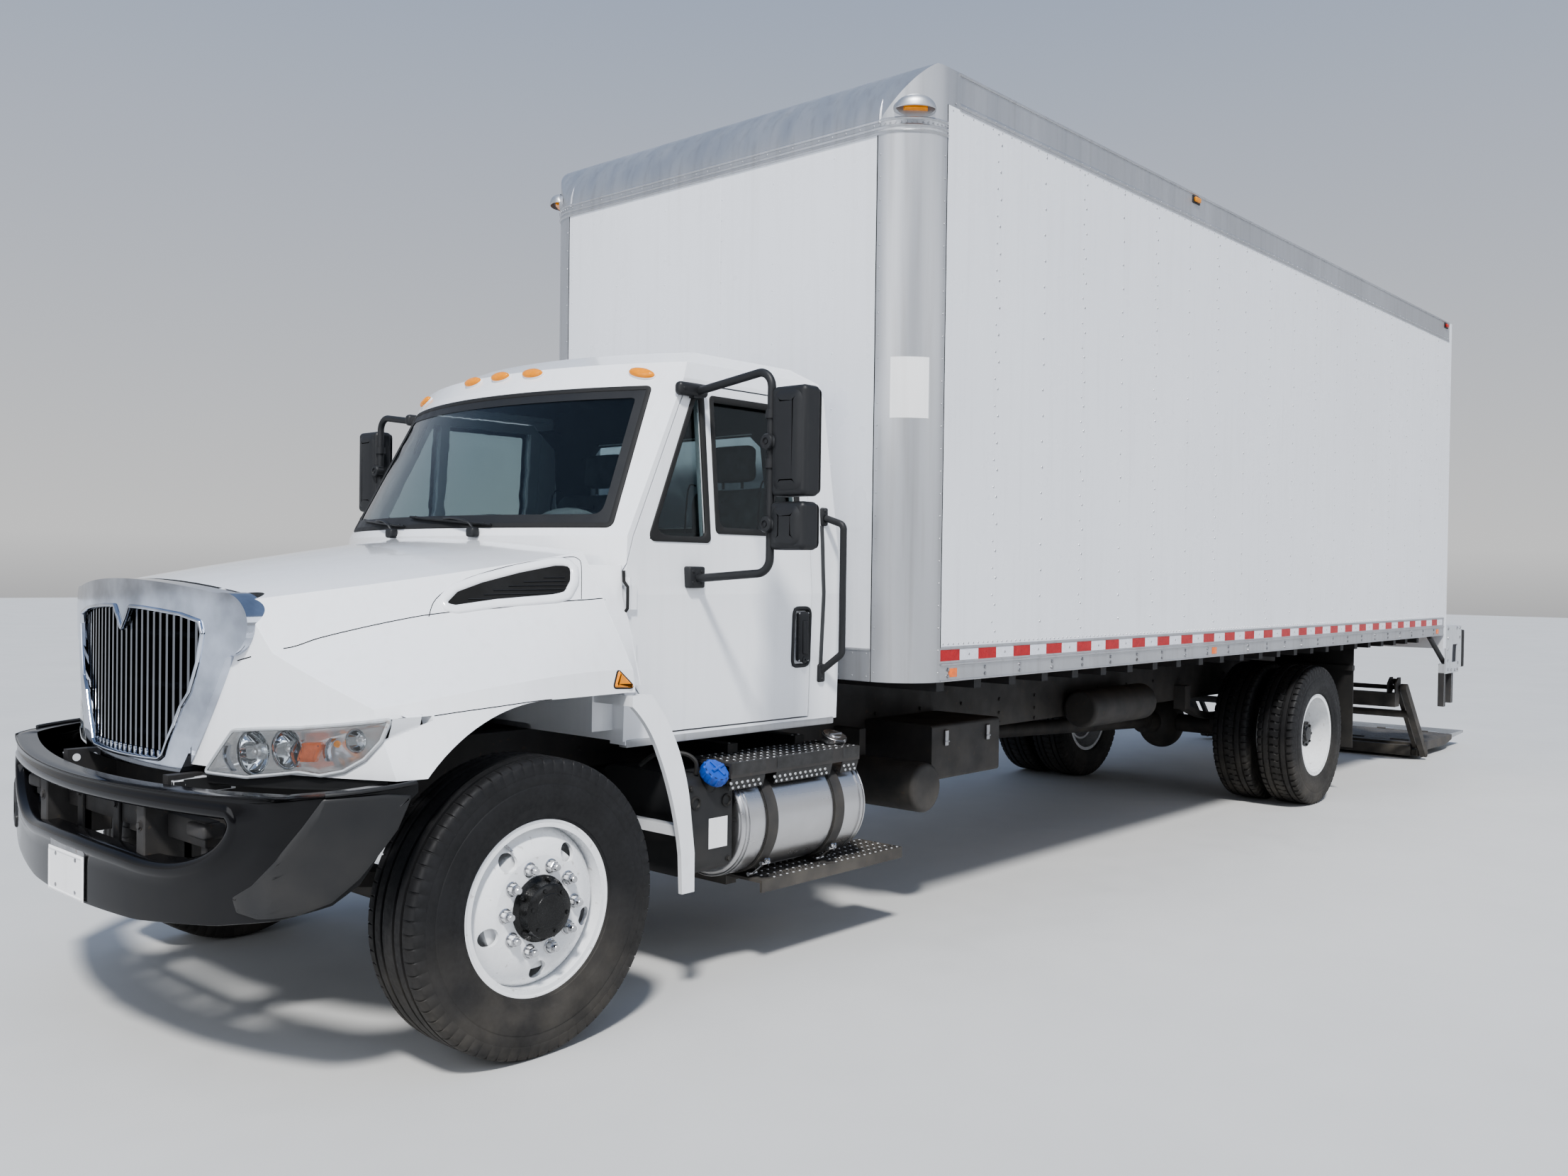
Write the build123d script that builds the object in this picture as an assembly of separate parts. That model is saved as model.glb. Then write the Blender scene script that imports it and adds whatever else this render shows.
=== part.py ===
from build123d import *
import math
import os

# Sizes in millimetres. X forward, Y to the left, Z up.
# Stations along X are measured from the front end of the load body's side walls.
# Every piece is moved by MIDDLE_X when it is written, so the origin is under the middle of the truck.

# Whole vehicle
FRONT_X = 3175.0
PLATFORM_REAR_X = -9560.0
MIDDLE_X = (FRONT_X + PLATFORM_REAR_X) / 2
RUNNING_GAP = 0.3
PIN_GAP = 0.3

# Wheels and axles
FRONT_AXLE_X = 2121.0
REAR_AXLE_X = -4887.0
TYRE_RADIUS = 505.0
TYRE_WIDTH = 275.0
RIM_RADIUS = 299.0
RIM_WIDTH = 230.0
BEAD_RADIUS = 285.0
RIM_WALL = 14.0
FRONT_WHEEL_Y = 1050.0
REAR_OUTER_Y = 1090.0
TWIN_SPACING = 330.0
STUD_CIRCLE_RADIUS = 142.875
STUD_COUNT = 10
STUD_RADIUS = 11.0
HAND_HOLE_COUNT = 5
HAND_HOLE_RADIUS = 32.0
HAND_HOLE_CIRCLE = 208.0
HUB_RADIUS = 82.0
DRUM_RADIUS = 208.0
KINGPIN_Y = 880.0
KINGPIN_RADIUS = 22.0
KNUCKLE_EYE_RADIUS = 46.0
KNUCKLE_EYE_HEIGHT = 110.0
SPINDLE_RADIUS = 38.0
AXLE_TUBE_RADIUS = 68.0
DIFF_RADIUS = 205.0
# Offset of each wheel's disc from the middle of its rim
FRONT_DISC = 118.0
REAR_DISC = -150.0

# Ladder frame
FRAME_TOP = 1000.0
RAIL_HEIGHT = 257.0
RAIL_OUTSIDE = 432.0
RAIL_FLANGE = 80.0
RAIL_WALL = 9.0
RAIL_FRONT_X = 2880.0
HORN_FRONT_X = 3040.0
HORN_TOP = 965.0
RAIL_REAR_X = -7640.0
FRAME_BOTTOM = FRAME_TOP - RAIL_HEIGHT
SPRING_WIDTH = 76.0
SPRING_STACK = 56.0

# Tank and steps on the left side
FUEL_TANK_Y = 885.0
FUEL_TANK_Z = 625.0
FUEL_TANK_RADIUS = 228.0
FUEL_TANK_FRONT_X = 1070.0
FUEL_TANK_REAR_X = 285.0
STRAP_STATIONS = (905, 480)
STEP_TOP_Z = 885.0
LOW_STEP_Z = 385.0
AIR_TANK_RADIUS = 120.0

# Cab
CAB_REAR_X = 350.0
CAB_BOTTOM = 1000.0
CAB_WALL = 55.0
BELT_Z = 1550.0
COWL_Z = 1640.0
GLASS_BASE_Z = 1770.0
GUTTER_Z = 2405.0
DOOR_FRONT_X = 1602.0
DOOR_REAR_X = 545.0
DOOR_GAP = 6.0
GLASS_THICKNESS = 8.0
HINGE_OUT = 12.0
HINGE_BARREL = 7.0
DOOR_PIN_RADIUS = 3.0
DOOR_HINGES_Z = (1345.0, 1540.0)
DOOR_HINGE_HALF = 45.0
SPLASH_Y = 1150.0
# Levels of the cab's upper part: height, half width, rear x, front x at the side, front x in the middle
CAB_LEVELS = (
    (COWL_Z, 993.0, CAB_REAR_X, 1600.0, 1842.0),
    (GLASS_BASE_Z, 985.0, CAB_REAR_X + 6, 1590.0, 1832.0),
    (GUTTER_Z, 930.0, CAB_REAR_X + 50, 1255.0, 1490.0),
)
ROOF_LEVELS = (
    (GUTTER_Z, 930.0, CAB_REAR_X + 50, 1255.0, 1490.0),
    (GUTTER_Z + 70, 905.0, CAB_REAR_X + 60, 1215.0, 1440.0),
    (GUTTER_Z + 135, 800.0, CAB_REAR_X + 130, 1080.0, 1290.0),
    (GUTTER_Z + 172, 560.0, CAB_REAR_X + 330, 850.0, 960.0),
)
DOOR_OUTLINE = (
    (DOOR_REAR_X, CAB_BOTTOM + 22),
    (1395, CAB_BOTTOM + 22),
    (DOOR_FRONT_X, 1270),
    (DOOR_FRONT_X, COWL_Z),
    (1556, GLASS_BASE_Z),
    (1238, GUTTER_Z - 22),
    (600, GUTTER_Z - 22),
    (DOOR_REAR_X, GUTTER_Z - 80),
)
QUARTER_OUTLINE = ((1478, 1762), (1160, 1762), (1160, 2340), (1205, 2340))
WINDOW_OUTLINE = ((1112, 1800), (610, 1800), (610, 2340), (1112, 2340))
SHIELD_OUTLINE = ((-905, 1812), (905, 1812), (815, 2362), (-815, 2362))

# Hood and front end
HOOD_WALL = 26.0
HOOD_HINGE_X = 3010.0
HOOD_HINGE_Z = 935.0
HOOD_ARM_Y = 446.0
HOOD_PIN_RADIUS = 14.0
HOOD_CORNER_X = 2640.0
HOOD_NOSE_X = 2985.0
HOOD_EDGE_Y = 1186.0
FENDER_BOTTOM = 990.0
ARCH_RADIUS = 664.0
ARCH_CENTRE_Z = 535.0
SURROUND_PROUD = 26.0
GRILLE_BAR_COUNT = 25
GRILLE_BAR_WIDTH = 13.0
BUMPER_WALL = 55.0
# Hood stations: x, centre z, shoulder y and z, seam y and z, fender edge y and z, foot y and z
HOOD_STATIONS = (
    (3000.0, 1572.0, 600.0, 1515.0, 700.0, 1335.0, 960.0, 1170.0, 1000.0, FENDER_BOTTOM),
    (2640.0, 1640.0, 705.0, 1565.0, 820.0, 1410.0, 1110.0, 1215.0, 1170.0, FENDER_BOTTOM),
    (2121.0, 1722.0, 815.0, 1640.0, 925.0, 1490.0, 1135.0, 1270.0, 1186.0, FENDER_BOTTOM),
    (1560.0, 1806.0, 930.0, 1745.0, 1002.0, 1550.0, 1098.0, 1275.0, 1130.0, FENDER_BOTTOM),
)
LAMP_OUTLINE = (
    (468, 968),
    (600, 1118),
    ((860, 1140), (1150, 1180)),
    ((1090, 1070), (860, 1000)),
    (660, 968),
)
SURROUND_OUTLINE = (
    (-380, 962),
    (380, 962),
    ((470, 1100), (600, 1350)),
    ((675, 1500), (560, 1552)),
    ((0, 1592), (-560, 1552)),
    ((-675, 1500), (-600, 1350)),
    ((-470, 1100), (-380, 962)),
)
GRILLE_OUTLINE = (
    (-290, 1004),
    ((0, 992), (290, 1004)),
    ((390, 1180), (500, 1420)),
    (485, 1462),
    ((260, 1492), (60, 1502)),
    (0, 1420),
    (-60, 1502),
    ((-260, 1492), (-485, 1462)),
    (-500, 1420),
    ((-390, 1180), (-290, 1004)),
)

# Load body
BODY_FRONT_X = 222.0
BODY_REAR_X = -7740.0
BODY_HALF_WIDTH = 1295.5
BODY_BOTTOM = 1157.0
RAIL_SPLIT_Z = 1235.0
RUB_RAIL_TOP = 1312.0
TOP_RAIL_BOTTOM = 3735.0
TOP_RAIL_TOP = 3900.0
BODY_TOP = 3940.0
CORNER_RADIUS = 222.0
CAP_RADIUS = 300.0
CAP_BOTTOM = 3600.0
WALL_THICKNESS = 40.0
ROOF_THICKNESS = 36.0
# Width of the strips along the eaves in which walls, rails and roof meet
EDGE_STRIP = 95.5
CAP_OVERLAP = 90.0
# Cutting blocks reach this far past the outside
CUT_PAST = 100.0
FLOOR_TOP = 1235.0
FLOOR_THICKNESS = 35.0
CROSS_SILL_SPACING = 304.8
REAR_POST_WIDTH = 75.0
REAR_POST_FACE = 100.5
DOOR_OPENING_HALF = BODY_HALF_WIDTH - REAR_POST_FACE
DOOR_OPENING_TOP = 3640.0
ROLL_PANELS = 9

# Liftgate, lowered
# The lift arms swing on the beam, and a link above each arm keeps the platform level.
EXTENSION_REAR_X = -8200.0
EXTENSION_PLATE_PROUD = 4.5
EXTENSION_PLATE_Y = BODY_HALF_WIDTH + EXTENSION_PLATE_PROUD
DECK_PLATE = 12.0
BEAM_FRONT_X = -7320.0
BEAM_REAR_X = -7440.0
BEAM_BOTTOM = 525.0
BEAM_TOP = 645.0
ARM_PIVOT_X = -7440.0
ARM_PIVOT_Z = 690.0
ARM_END_Z = 60.0
ARM_LENGTH = 866.0
LIFT_ARM_Y = 1047.0
LIFT_ARM_WIDTH = 50.0
ARM_HALF_DEPTH = 36.0
SHAFT_RADIUS = 20.0
TORQUE_TUBE_RADIUS = 32.0
TORQUE_TUBE_DISTANCE = 330.0
TORQUE_TUBE_DROP = 15.0
LINK_Y = 968.0
LINK_WIDTH = 36.0
LINK_BACK = 6.0
LINK_RISE = 60.0
LINK_RADIUS = 18.0
LINK_PIN_RADIUS = 10.0
EAR_THICKNESS = 12.0
INNER_EAR_Y = 930.0
OUTER_EAR_Y = 994.0
HEEL_BOTTOM = 26.0
HEEL_TOP = 118.0
HEEL_FRONT_X = -7996.0
PLATFORM_TOP_Z = 140.0
PLATFORM_DEPTH = 80.0
PLATFORM_HALF_WIDTH = 1000.0
PLATFORM_HINGE_RISE = 3.0
FOLD_HINGE_X = -8212.0
SILL_FRONT_X = -8072.0
FLIP_HINGE_X = -9102.0
HINGE_ROOM = 8.0
HINGE_BARREL_RADIUS = 10.0
HINGE_PIN_RADIUS = 5.0
FLIP_HALF_WIDTH = 980.0
FLIP_ROOT_DEPTH = 46.0
FLIP_TIP_DEPTH = 22.0
CYLINDER_Y = 280.0
CYLINDER_BASE_X = -6900.0
CYLINDER_BASE_Z = 700.0
CYLINDER_RADIUS = 32.0
CYLINDER_ROD_RADIUS = 15.0
CYLINDER_BARREL_START = 36.0
CYLINDER_BARREL_END = 430.0
CYLINDER_ROD_START = 250.0
CYLINDER_EYE_RADIUS = 24.0
CYLINDER_PIN_RADIUS = 12.0
CRANK_LENGTH = 120.0
RIB_COUNT = 8
RIB_WIDTH = 10.0
DECK_THICKNESS = 10.0
# Hinge barrels along the platform: start and end of the barrel on the fixed side, then on the moving side
BARREL_SPANS = (
    (300.0, 380.0, 383.0, 463.0),
    (700.0, 780.0, 783.0, 863.0),
)

RAISED_END_Z = ARM_END_Z + FLOOR_TOP - PLATFORM_TOP_Z
ARM_LOW_ANGLE = math.asin((ARM_PIVOT_Z - ARM_END_Z) / ARM_LENGTH)
ARM_HIGH_ANGLE = math.asin((RAISED_END_Z - ARM_PIVOT_Z) / ARM_LENGTH)
ARM_SWING = ARM_LOW_ANGLE + ARM_HIGH_ANGLE
ARM_END_X = ARM_PIVOT_X - ARM_LENGTH * math.cos(ARM_LOW_ANGLE)
LINK_TOP_X = ARM_PIVOT_X - LINK_BACK
LINK_TOP_Z = ARM_PIVOT_Z + LINK_RISE
LINK_END_X = ARM_END_X - LINK_BACK
LINK_END_Z = ARM_END_Z + LINK_RISE
HINGE_Z = PLATFORM_TOP_Z + PLATFORM_HINGE_RISE
CRANK_LOW_ANGLE = math.pi / 2 + ARM_SWING / 2
CYLINDER_EYE_X = ARM_PIVOT_X + CRANK_LENGTH * math.cos(CRANK_LOW_ANGLE)
CYLINDER_EYE_Z = ARM_PIVOT_Z + CRANK_LENGTH * math.sin(CRANK_LOW_ANGLE)
CYLINDER_LENGTH = math.dist((CYLINDER_BASE_X, CYLINDER_BASE_Z), (CYLINDER_EYE_X, CYLINDER_EYE_Z))


def along_arm(distance, rise):
    """Point at a distance along the lift arm and a rise square to it."""
    c = math.cos(ARM_LOW_ANGLE)
    s = math.sin(ARM_LOW_ANGLE)
    return ARM_PIVOT_X - c * distance - s * rise, ARM_PIVOT_Z - s * distance + c * rise


# End of sizes


# Small helpers for shapes between two corners, prisms and rods
def block(x0, x1, y0, y1, z0, z1):
    size = Box(abs(x1 - x0), abs(y1 - y0), abs(z1 - z0))
    return Pos((x0 + x1) / 2, (y0 + y1) / 2, (z0 + z1) / 2) * size


def outline(points):
    """Face through points in space; a pair of points is the middle and the end of an arc."""
    edges = []
    here = points[0]
    for step in list(points[1:]) + [points[0]]:
        if isinstance(step[0], tuple):
            edges.append(ThreePointArc(here, step[0], step[1]))
            here = step[1]
        elif math.dist(here, step) > 1e-6:
            edges.append(Line(here, step))
            here = step
    return make_face(edges)


def placed(points, to_space):
    """The outline's flat points, or pairs of them for arcs, turned into points in space."""
    return [
        tuple(to_space(*p) for p in step) if isinstance(step[0], tuple) else to_space(*step)
        for step in points
    ]


def side_prism(points, y0, y1):
    face = outline(placed(points, lambda x, z: (x, y0, z)))
    return extrude(face, amount=y1 - y0, dir=(0, 1, 0))


def plan_prism(points, z0, z1):
    face = outline(placed(points, lambda x, y: (x, y, z0)))
    return extrude(face, amount=z1 - z0, dir=(0, 0, 1))


def front_prism(points, x0, x1):
    face = outline(placed(points, lambda y, z: (x0, y, z)))
    return extrude(face, amount=x1 - x0, dir=(1, 0, 0))


def rod(start, end, radius):
    axis = Vector(*end) - Vector(*start)
    plane = Plane(origin=start, z_dir=axis)
    return extrude(plane * Circle(radius), amount=axis.length)


def cross_pin(x, z, y0, y1, radius):
    return rod((x, y0, z), (x, y1, z), radius)


def tube_path(points, bend, radius):
    """Round bar through straight runs joined by arcs."""
    path = FilletPolyline(*points, radius=bend)
    section = Plane(origin=path @ 0, z_dir=path % 0) * Circle(radius)
    return sweep(section, path=path)


def both_sides(shape):
    return shape + mirror(shape, about=Plane.XZ)


def right_of(shape):
    return mirror(shape, about=Plane.XZ)


def turned(profile, centre_x, centre_y, centre_z):
    """Solid of revolution about Y from points of (offset along Y, radius)."""
    face = outline(placed(profile, lambda y, r: (centre_x, centre_y + y, centre_z + r)))
    return revolve(face, axis=Axis((centre_x, 0, centre_z), (0, 1, 0)))


# Frame, axles and underbody
def frame_rails():
    lip = RAIL_OUTSIDE - RAIL_FLANGE
    channel = [
        (RAIL_OUTSIDE, FRAME_BOTTOM),
        (RAIL_OUTSIDE, FRAME_TOP),
        (lip, FRAME_TOP),
        (lip, FRAME_TOP - RAIL_WALL),
        (RAIL_OUTSIDE - RAIL_WALL, FRAME_TOP - RAIL_WALL),
        (RAIL_OUTSIDE - RAIL_WALL, FRAME_BOTTOM + RAIL_WALL),
        (lip, FRAME_BOTTOM + RAIL_WALL),
        (lip, FRAME_BOTTOM),
    ]
    rails = both_sides(front_prism(channel, RAIL_REAR_X, RAIL_FRONT_X))
    web = RAIL_OUTSIDE - RAIL_WALL
    # station, length and height of each crossmember
    for x, length, height in (
        (2840, 60, 150),
        (930, 70, 130),
        (300, 70, 130),
        (-1000, 70, 130),
        (-2300, 70, 130),
        (-3600, 70, 130),
        (-4300, 70, 170),
        (-5480, 70, 170),
        (-6500, 70, 130),
        (CYLINDER_BASE_X + 50, 70, 110),
        (-7600, 60, 200),
    ):
        z = FRAME_BOTTOM + RAIL_HEIGHT / 2
        rails += block(x - length / 2, x + length / 2, -web, web, z - height / 2, z + height / 2)
    lug_x = CYLINDER_BASE_X - 24
    lug_z = CYLINDER_BASE_Z - 26
    lugs = block(lug_x, lug_x + 80, CYLINDER_Y - 30, CYLINDER_Y - 18, lug_z, FRAME_BOTTOM + 100)
    lugs += block(lug_x, lug_x + 80, CYLINDER_Y + 18, CYLINDER_Y + 30, lug_z, FRAME_BOTTOM + 100)
    pin = cross_pin(CYLINDER_BASE_X, CYLINDER_BASE_Z, CYLINDER_Y - 30, CYLINDER_Y + 30, CYLINDER_PIN_RADIUS)
    rails += both_sides(lugs + pin)
    horn = block(RAIL_FRONT_X - 120, HORN_FRONT_X, HOOD_ARM_Y - 48, HOOD_ARM_Y - 10, FRAME_BOTTOM, HORN_TOP)
    horn -= cross_pin(HOOD_HINGE_X, HOOD_HINGE_Z, 300, 500, HOOD_PIN_RADIUS + PIN_GAP)
    return rails + both_sides(horn)


def leaf_spring(axle_x, y, half_length, seat_z, end_z):
    low = seat_z
    top = seat_z + SPRING_STACK
    points = [
        (axle_x - half_length, end_z),
        ((axle_x, low), (axle_x + half_length, end_z)),
        (axle_x + half_length, end_z + SPRING_STACK * 0.4),
        ((axle_x, top), (axle_x - half_length, end_z + SPRING_STACK * 0.4)),
    ]
    return side_prism(points, y - SPRING_WIDTH / 2, y + SPRING_WIDTH / 2)


def front_axle():
    y = RAIL_OUTSIDE - SPRING_WIDTH / 2
    eye = Pos(FRONT_AXLE_X, KINGPIN_Y, TYRE_RADIUS) * Cylinder(KNUCKLE_EYE_RADIUS, KNUCKLE_EYE_HEIGHT)
    drop_z = TYRE_RADIUS - 75
    beam = [
        (-KINGPIN_Y, TYRE_RADIUS + 45),
        (-KINGPIN_Y, TYRE_RADIUS - 45),
        (-560, drop_z - 55),
        (560, drop_z - 55),
        (KINGPIN_Y, TYRE_RADIUS - 45),
        (KINGPIN_Y, TYRE_RADIUS + 45),
        (560, drop_z + 45),
        (-560, drop_z + 45),
    ]
    body = front_prism(beam, FRONT_AXLE_X - 45, FRONT_AXLE_X + 45)
    spring = leaf_spring(FRONT_AXLE_X, y, 660, drop_z + 40, FRAME_BOTTOM - 95)
    hanger = block(FRONT_AXLE_X + 600, FRONT_AXLE_X + 690, y - 30, y + 30, FRAME_BOTTOM - 100, FRAME_BOTTOM)
    shackle = block(FRONT_AXLE_X - 690, FRONT_AXLE_X - 600, y - 30, y + 30, FRAME_BOTTOM - 100, FRAME_BOTTOM)
    axle = body + both_sides(eye + spring + hanger + shackle)
    bore = Pos(FRONT_AXLE_X, KINGPIN_Y, TYRE_RADIUS) * Cylinder(KINGPIN_RADIUS + PIN_GAP, 400)
    cheek = Pos(FRONT_AXLE_X, KINGPIN_Y, TYRE_RADIUS)
    room = KNUCKLE_EYE_HEIGHT / 2
    above = cheek * Pos(0, 0, room + 100) * Cylinder(KNUCKLE_EYE_RADIUS + 12, 200)
    below = cheek * Pos(0, 0, -room - 100) * Cylinder(KNUCKLE_EYE_RADIUS + 12, 200)
    return axle - both_sides(bore) - both_sides(above) - both_sides(below)


def knuckle_left():
    here = Pos(FRONT_AXLE_X, KINGPIN_Y, TYRE_RADIUS)
    room = KNUCKLE_EYE_HEIGHT / 2 + PIN_GAP
    cheek = 36
    pin = here * Cylinder(KINGPIN_RADIUS, 2 * (room + cheek))
    upper = here * Pos(0, 0, room + cheek / 2) * Cylinder(KNUCKLE_EYE_RADIUS, cheek)
    lower = here * Pos(0, 0, -room - cheek / 2) * Cylinder(KNUCKLE_EYE_RADIUS, cheek)
    face_y = KINGPIN_Y + KNUCKLE_EYE_RADIUS + 12
    reach = room + cheek
    x = FRONT_AXLE_X
    z = TYRE_RADIUS
    plate = block(x - 62, x + 62, face_y, face_y + 22, z - reach, z + reach)
    arm_up = block(x - 40, x + 40, KINGPIN_Y, face_y, z + room, z + reach)
    arm_down = block(x - 40, x + 40, KINGPIN_Y, face_y, z - reach, z - room)
    spindle = cross_pin(x, z, face_y + 11, FRONT_WHEEL_Y + 60, SPINDLE_RADIUS)
    steer = side_prism(
        [
            (FRONT_AXLE_X - 30, TYRE_RADIUS - reach),
            (FRONT_AXLE_X - 230, TYRE_RADIUS - reach),
            (FRONT_AXLE_X - 230, TYRE_RADIUS - reach + 26),
            (FRONT_AXLE_X - 30, TYRE_RADIUS - reach + 26),
        ],
        KINGPIN_Y - 24,
        KINGPIN_Y + 24,
    )
    return pin + upper + lower + plate + arm_up + arm_down + spindle + steer


def rear_axle():
    z = TYRE_RADIUS
    hub_y = REAR_OUTER_Y - TWIN_SPACING - TYRE_WIDTH / 2 - 20
    housing = cross_pin(REAR_AXLE_X, z, -hub_y, hub_y, AXLE_TUBE_RADIUS)
    bowl = turned([(-150, 0), (-150, 90), ((0, DIFF_RADIUS), (150, 90)), (150, 0)], REAR_AXLE_X, 0, z)
    nose = rod((REAR_AXLE_X + 60, 0, z), (REAR_AXLE_X + 330, 0, z + 20), 85)
    spindle = cross_pin(REAR_AXLE_X, z, hub_y - 5, REAR_OUTER_Y + 8, SPINDLE_RADIUS)
    y = RAIL_OUTSIDE + SPRING_WIDTH / 2 + 6
    spring = leaf_spring(REAR_AXLE_X, y, 690, z + AXLE_TUBE_RADIUS - 12, FRAME_BOTTOM - 40)
    seat = block(REAR_AXLE_X - 70, REAR_AXLE_X + 70, y - 50, y + 50, z, z + AXLE_TUBE_RADIUS + 4)
    hanger_top = FRAME_BOTTOM + 110
    for x in (REAR_AXLE_X - 660, REAR_AXLE_X + 660):
        spring += block(x - 45, x + 45, RAIL_OUTSIDE, y + 44, FRAME_BOTTOM - 60, hanger_top)
    shaft_start = REAR_AXLE_X + 320
    shaft = rod((shaft_start, 0, z + 20), (-1020, 0, 690), 50)
    shaft += rod((-1030, 0, 690), (1040, 0, 720), 50)
    carrier = block(-1060, -1010, -60, 60, 600, FRAME_BOTTOM + RAIL_HEIGHT / 2 - 65)
    return housing + bowl + nose + both_sides(spindle + spring + seat) + shaft + carrier


def engine_block():
    body = block(1760, 2600, -330, 330, 760, 1440)
    sump = block(1900, 2560, -200, 200, 600, 760)
    case = [(-190, 560), (190, 560), (240, 760), (190, 980), (-190, 980), (-240, 760)]
    gearbox = front_prism(case, 1045, 1760)
    mounts = both_sides(block(2200, 2300, 200, RAIL_OUTSIDE - RAIL_WALL, 800, 880))
    fan = Pos(2650, 0, 1120) * Rot(0, 90, 0) * Cylinder(310, 50)
    shaft = rod((2595, 0, 1120), (2745, 0, 1120), 60)
    core = block(2730, 2800, -335, 335, FRAME_BOTTOM + 60, FRAME_TOP + 1)
    core += block(2730, 2800, -410, 410, FRAME_TOP, 1400)
    tank = block(2715, 2815, -410, 410, 1350, 1410)
    return body + sump + gearbox + mounts + fan + shaft + core + tank


def exhaust():
    y = -760
    z = 640
    muffler = rod((1250, y, z), (300, y, z), 165)
    inlet = tube_path([(1748, -300, 780), (1330, -300, 690), (1330, y, z), (1245, y, z)], 60, 45)
    tail = rod((310, y, z), (-350, y, z), 50)
    outlet = rod((-340, y + 20, z), (-340, -1150, z - 20), 50)
    web = RAIL_OUTSIDE
    hangers = block(1050, 1110, y, -web, z + 130, z + 200) + block(420, 480, y, -web, z + 130, z + 200)
    return muffler + inlet + tail + outlet + hangers


def along_tank(x0, x1, radius):
    return rod((x0, FUEL_TANK_Y, FUEL_TANK_Z), (x1, FUEL_TANK_Y, FUEL_TANK_Z), radius)


def filler(y_end, z_end, radius):
    """Neck of the fuel tank, from its side up to an end."""
    start = (360, FUEL_TANK_Y + 60, FUEL_TANK_Z + 190)
    return rod(start, (360, FUEL_TANK_Y + y_end, FUEL_TANK_Z + z_end), radius)


def fuel_tank():
    body = along_tank(FUEL_TANK_REAR_X, FUEL_TANK_FRONT_X, FUEL_TANK_RADIUS)
    body = fillet(body.edges(), 30)
    for x in (FUEL_TANK_REAR_X + 40, FUEL_TANK_FRONT_X - 40):
        body += along_tank(x - 8, x + 8, FUEL_TANK_RADIUS + 5)
    neck = filler(95, 275, 44)
    cap = rod((360, FUEL_TANK_Y + 92, FUEL_TANK_Z + 268), (360, FUEL_TANK_Y + 104, FUEL_TANK_Z + 300), 54)
    return body + neck + cap


def grab_handles(cab_body):
    bar = tube_path([(445, 990, 1880), (432, 1080, 1850), (432, 1080, 1290), (470, 992, 1210)], 28, 15)
    return both_sides(bar) - cab_body


def cab_steps():
    inner = FUEL_TANK_RADIUS + RUNNING_GAP
    outer = inner + 9
    straps = None
    for x in STRAP_STATIONS:
        ring = Pos(x, FUEL_TANK_Y, FUEL_TANK_Z) * Rot(0, 90, 0) * (Cylinder(outer, 60) - Cylinder(inner, 80))
        web = block(x - 30, x + 30, RAIL_OUTSIDE, FUEL_TANK_Y, FUEL_TANK_Z + 150, FRAME_BOTTOM + 180)
        web += block(x - 30, x + 30, RAIL_OUTSIDE, FUEL_TANK_Y, FUEL_TANK_Z - inner - 60, FUEL_TANK_Z - 120)
        foot = FUEL_TANK_Z - inner - 60
        web += block(x - 30, x + 30, RAIL_OUTSIDE, RAIL_OUTSIDE + 50, foot, FRAME_BOTTOM + 180)
        hole = Pos(x, FUEL_TANK_Y, FUEL_TANK_Z) * Rot(0, 90, 0) * Cylinder(inner, 80)
        post = block(x - 30, x + 30, 850, 1090, STEP_TOP_Z - 60, STEP_TOP_Z - 10)
        drop = block(x - 25, x + 25, 850, 900, LOW_STEP_Z - 10, FUEL_TANK_Z - inner + 20)
        bracket = ring + (web + post + drop - hole)
        straps = bracket if straps is None else straps + bracket
    top = block(330, 1140, 850, 1105, STEP_TOP_Z - 12, STEP_TOP_Z)
    top += block(330, 1140, 1093, 1105, STEP_TOP_Z - 60, STEP_TOP_Z)
    low = block(-20, 930, 830, 1085, LOW_STEP_Z - 12, LOW_STEP_Z)
    low += block(-20, 930, 1073, 1085, LOW_STEP_Z - 50, LOW_STEP_Z)
    low += block(-20, 930, 830, 842, LOW_STEP_Z - 50, LOW_STEP_Z)
    neck_room = filler(112, 317, 64)
    hole = along_tank(FUEL_TANK_REAR_X - 9, FUEL_TANK_FRONT_X + 9, inner + 6)
    return straps + ((top - neck_room) + low - hole)


def def_tank():
    body = block(1085, 1335, 560, 1060, 455, 850)
    body = fillet(body.edges().filter_by(Axis.X), 60)
    neck = rod((1205, 1010, 780), (1205, 1075, 850), 40)
    cap = rod((1205, 1065, 840), (1205, 1090, 868), 52)
    bracket = block(1130, 1290, RAIL_OUTSIDE, 575, 560, 820)
    return body + neck + cap + bracket


def battery_box():
    box = block(-1180, -560, RAIL_OUTSIDE, 860, 600, 880)
    box = fillet(box.edges().filter_by(Axis.X), 18)
    cross_tank = fillet(rod((-330, 520, 610), (-330, 1000, 610), AIR_TANK_RADIUS).edges(), 25)
    long_tank = fillet(rod((-3420, 560, 800), (-2580, 560, 800), AIR_TANK_RADIUS).edges(), 25)
    hooks = block(-355, -305, RAIL_OUTSIDE, 600, 640, 860) + block(-3025, -2975, RAIL_OUTSIDE, 540, 780, 840)
    return box + cross_tank + long_tank + hooks


def mud_flaps():
    x = REAR_AXLE_X - TYRE_RADIUS - 190
    inner = REAR_OUTER_Y - TWIN_SPACING - TYRE_WIDTH / 2
    flap = block(x - 10, x, inner, REAR_OUTER_Y + TYRE_WIDTH / 2, 350, BODY_BOTTOM - 20)
    hanger = block(x - 30, x + 20, RAIL_OUTSIDE, REAR_OUTER_Y + TYRE_WIDTH / 2, 940, 980)
    return both_sides(flap + hanger)


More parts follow.
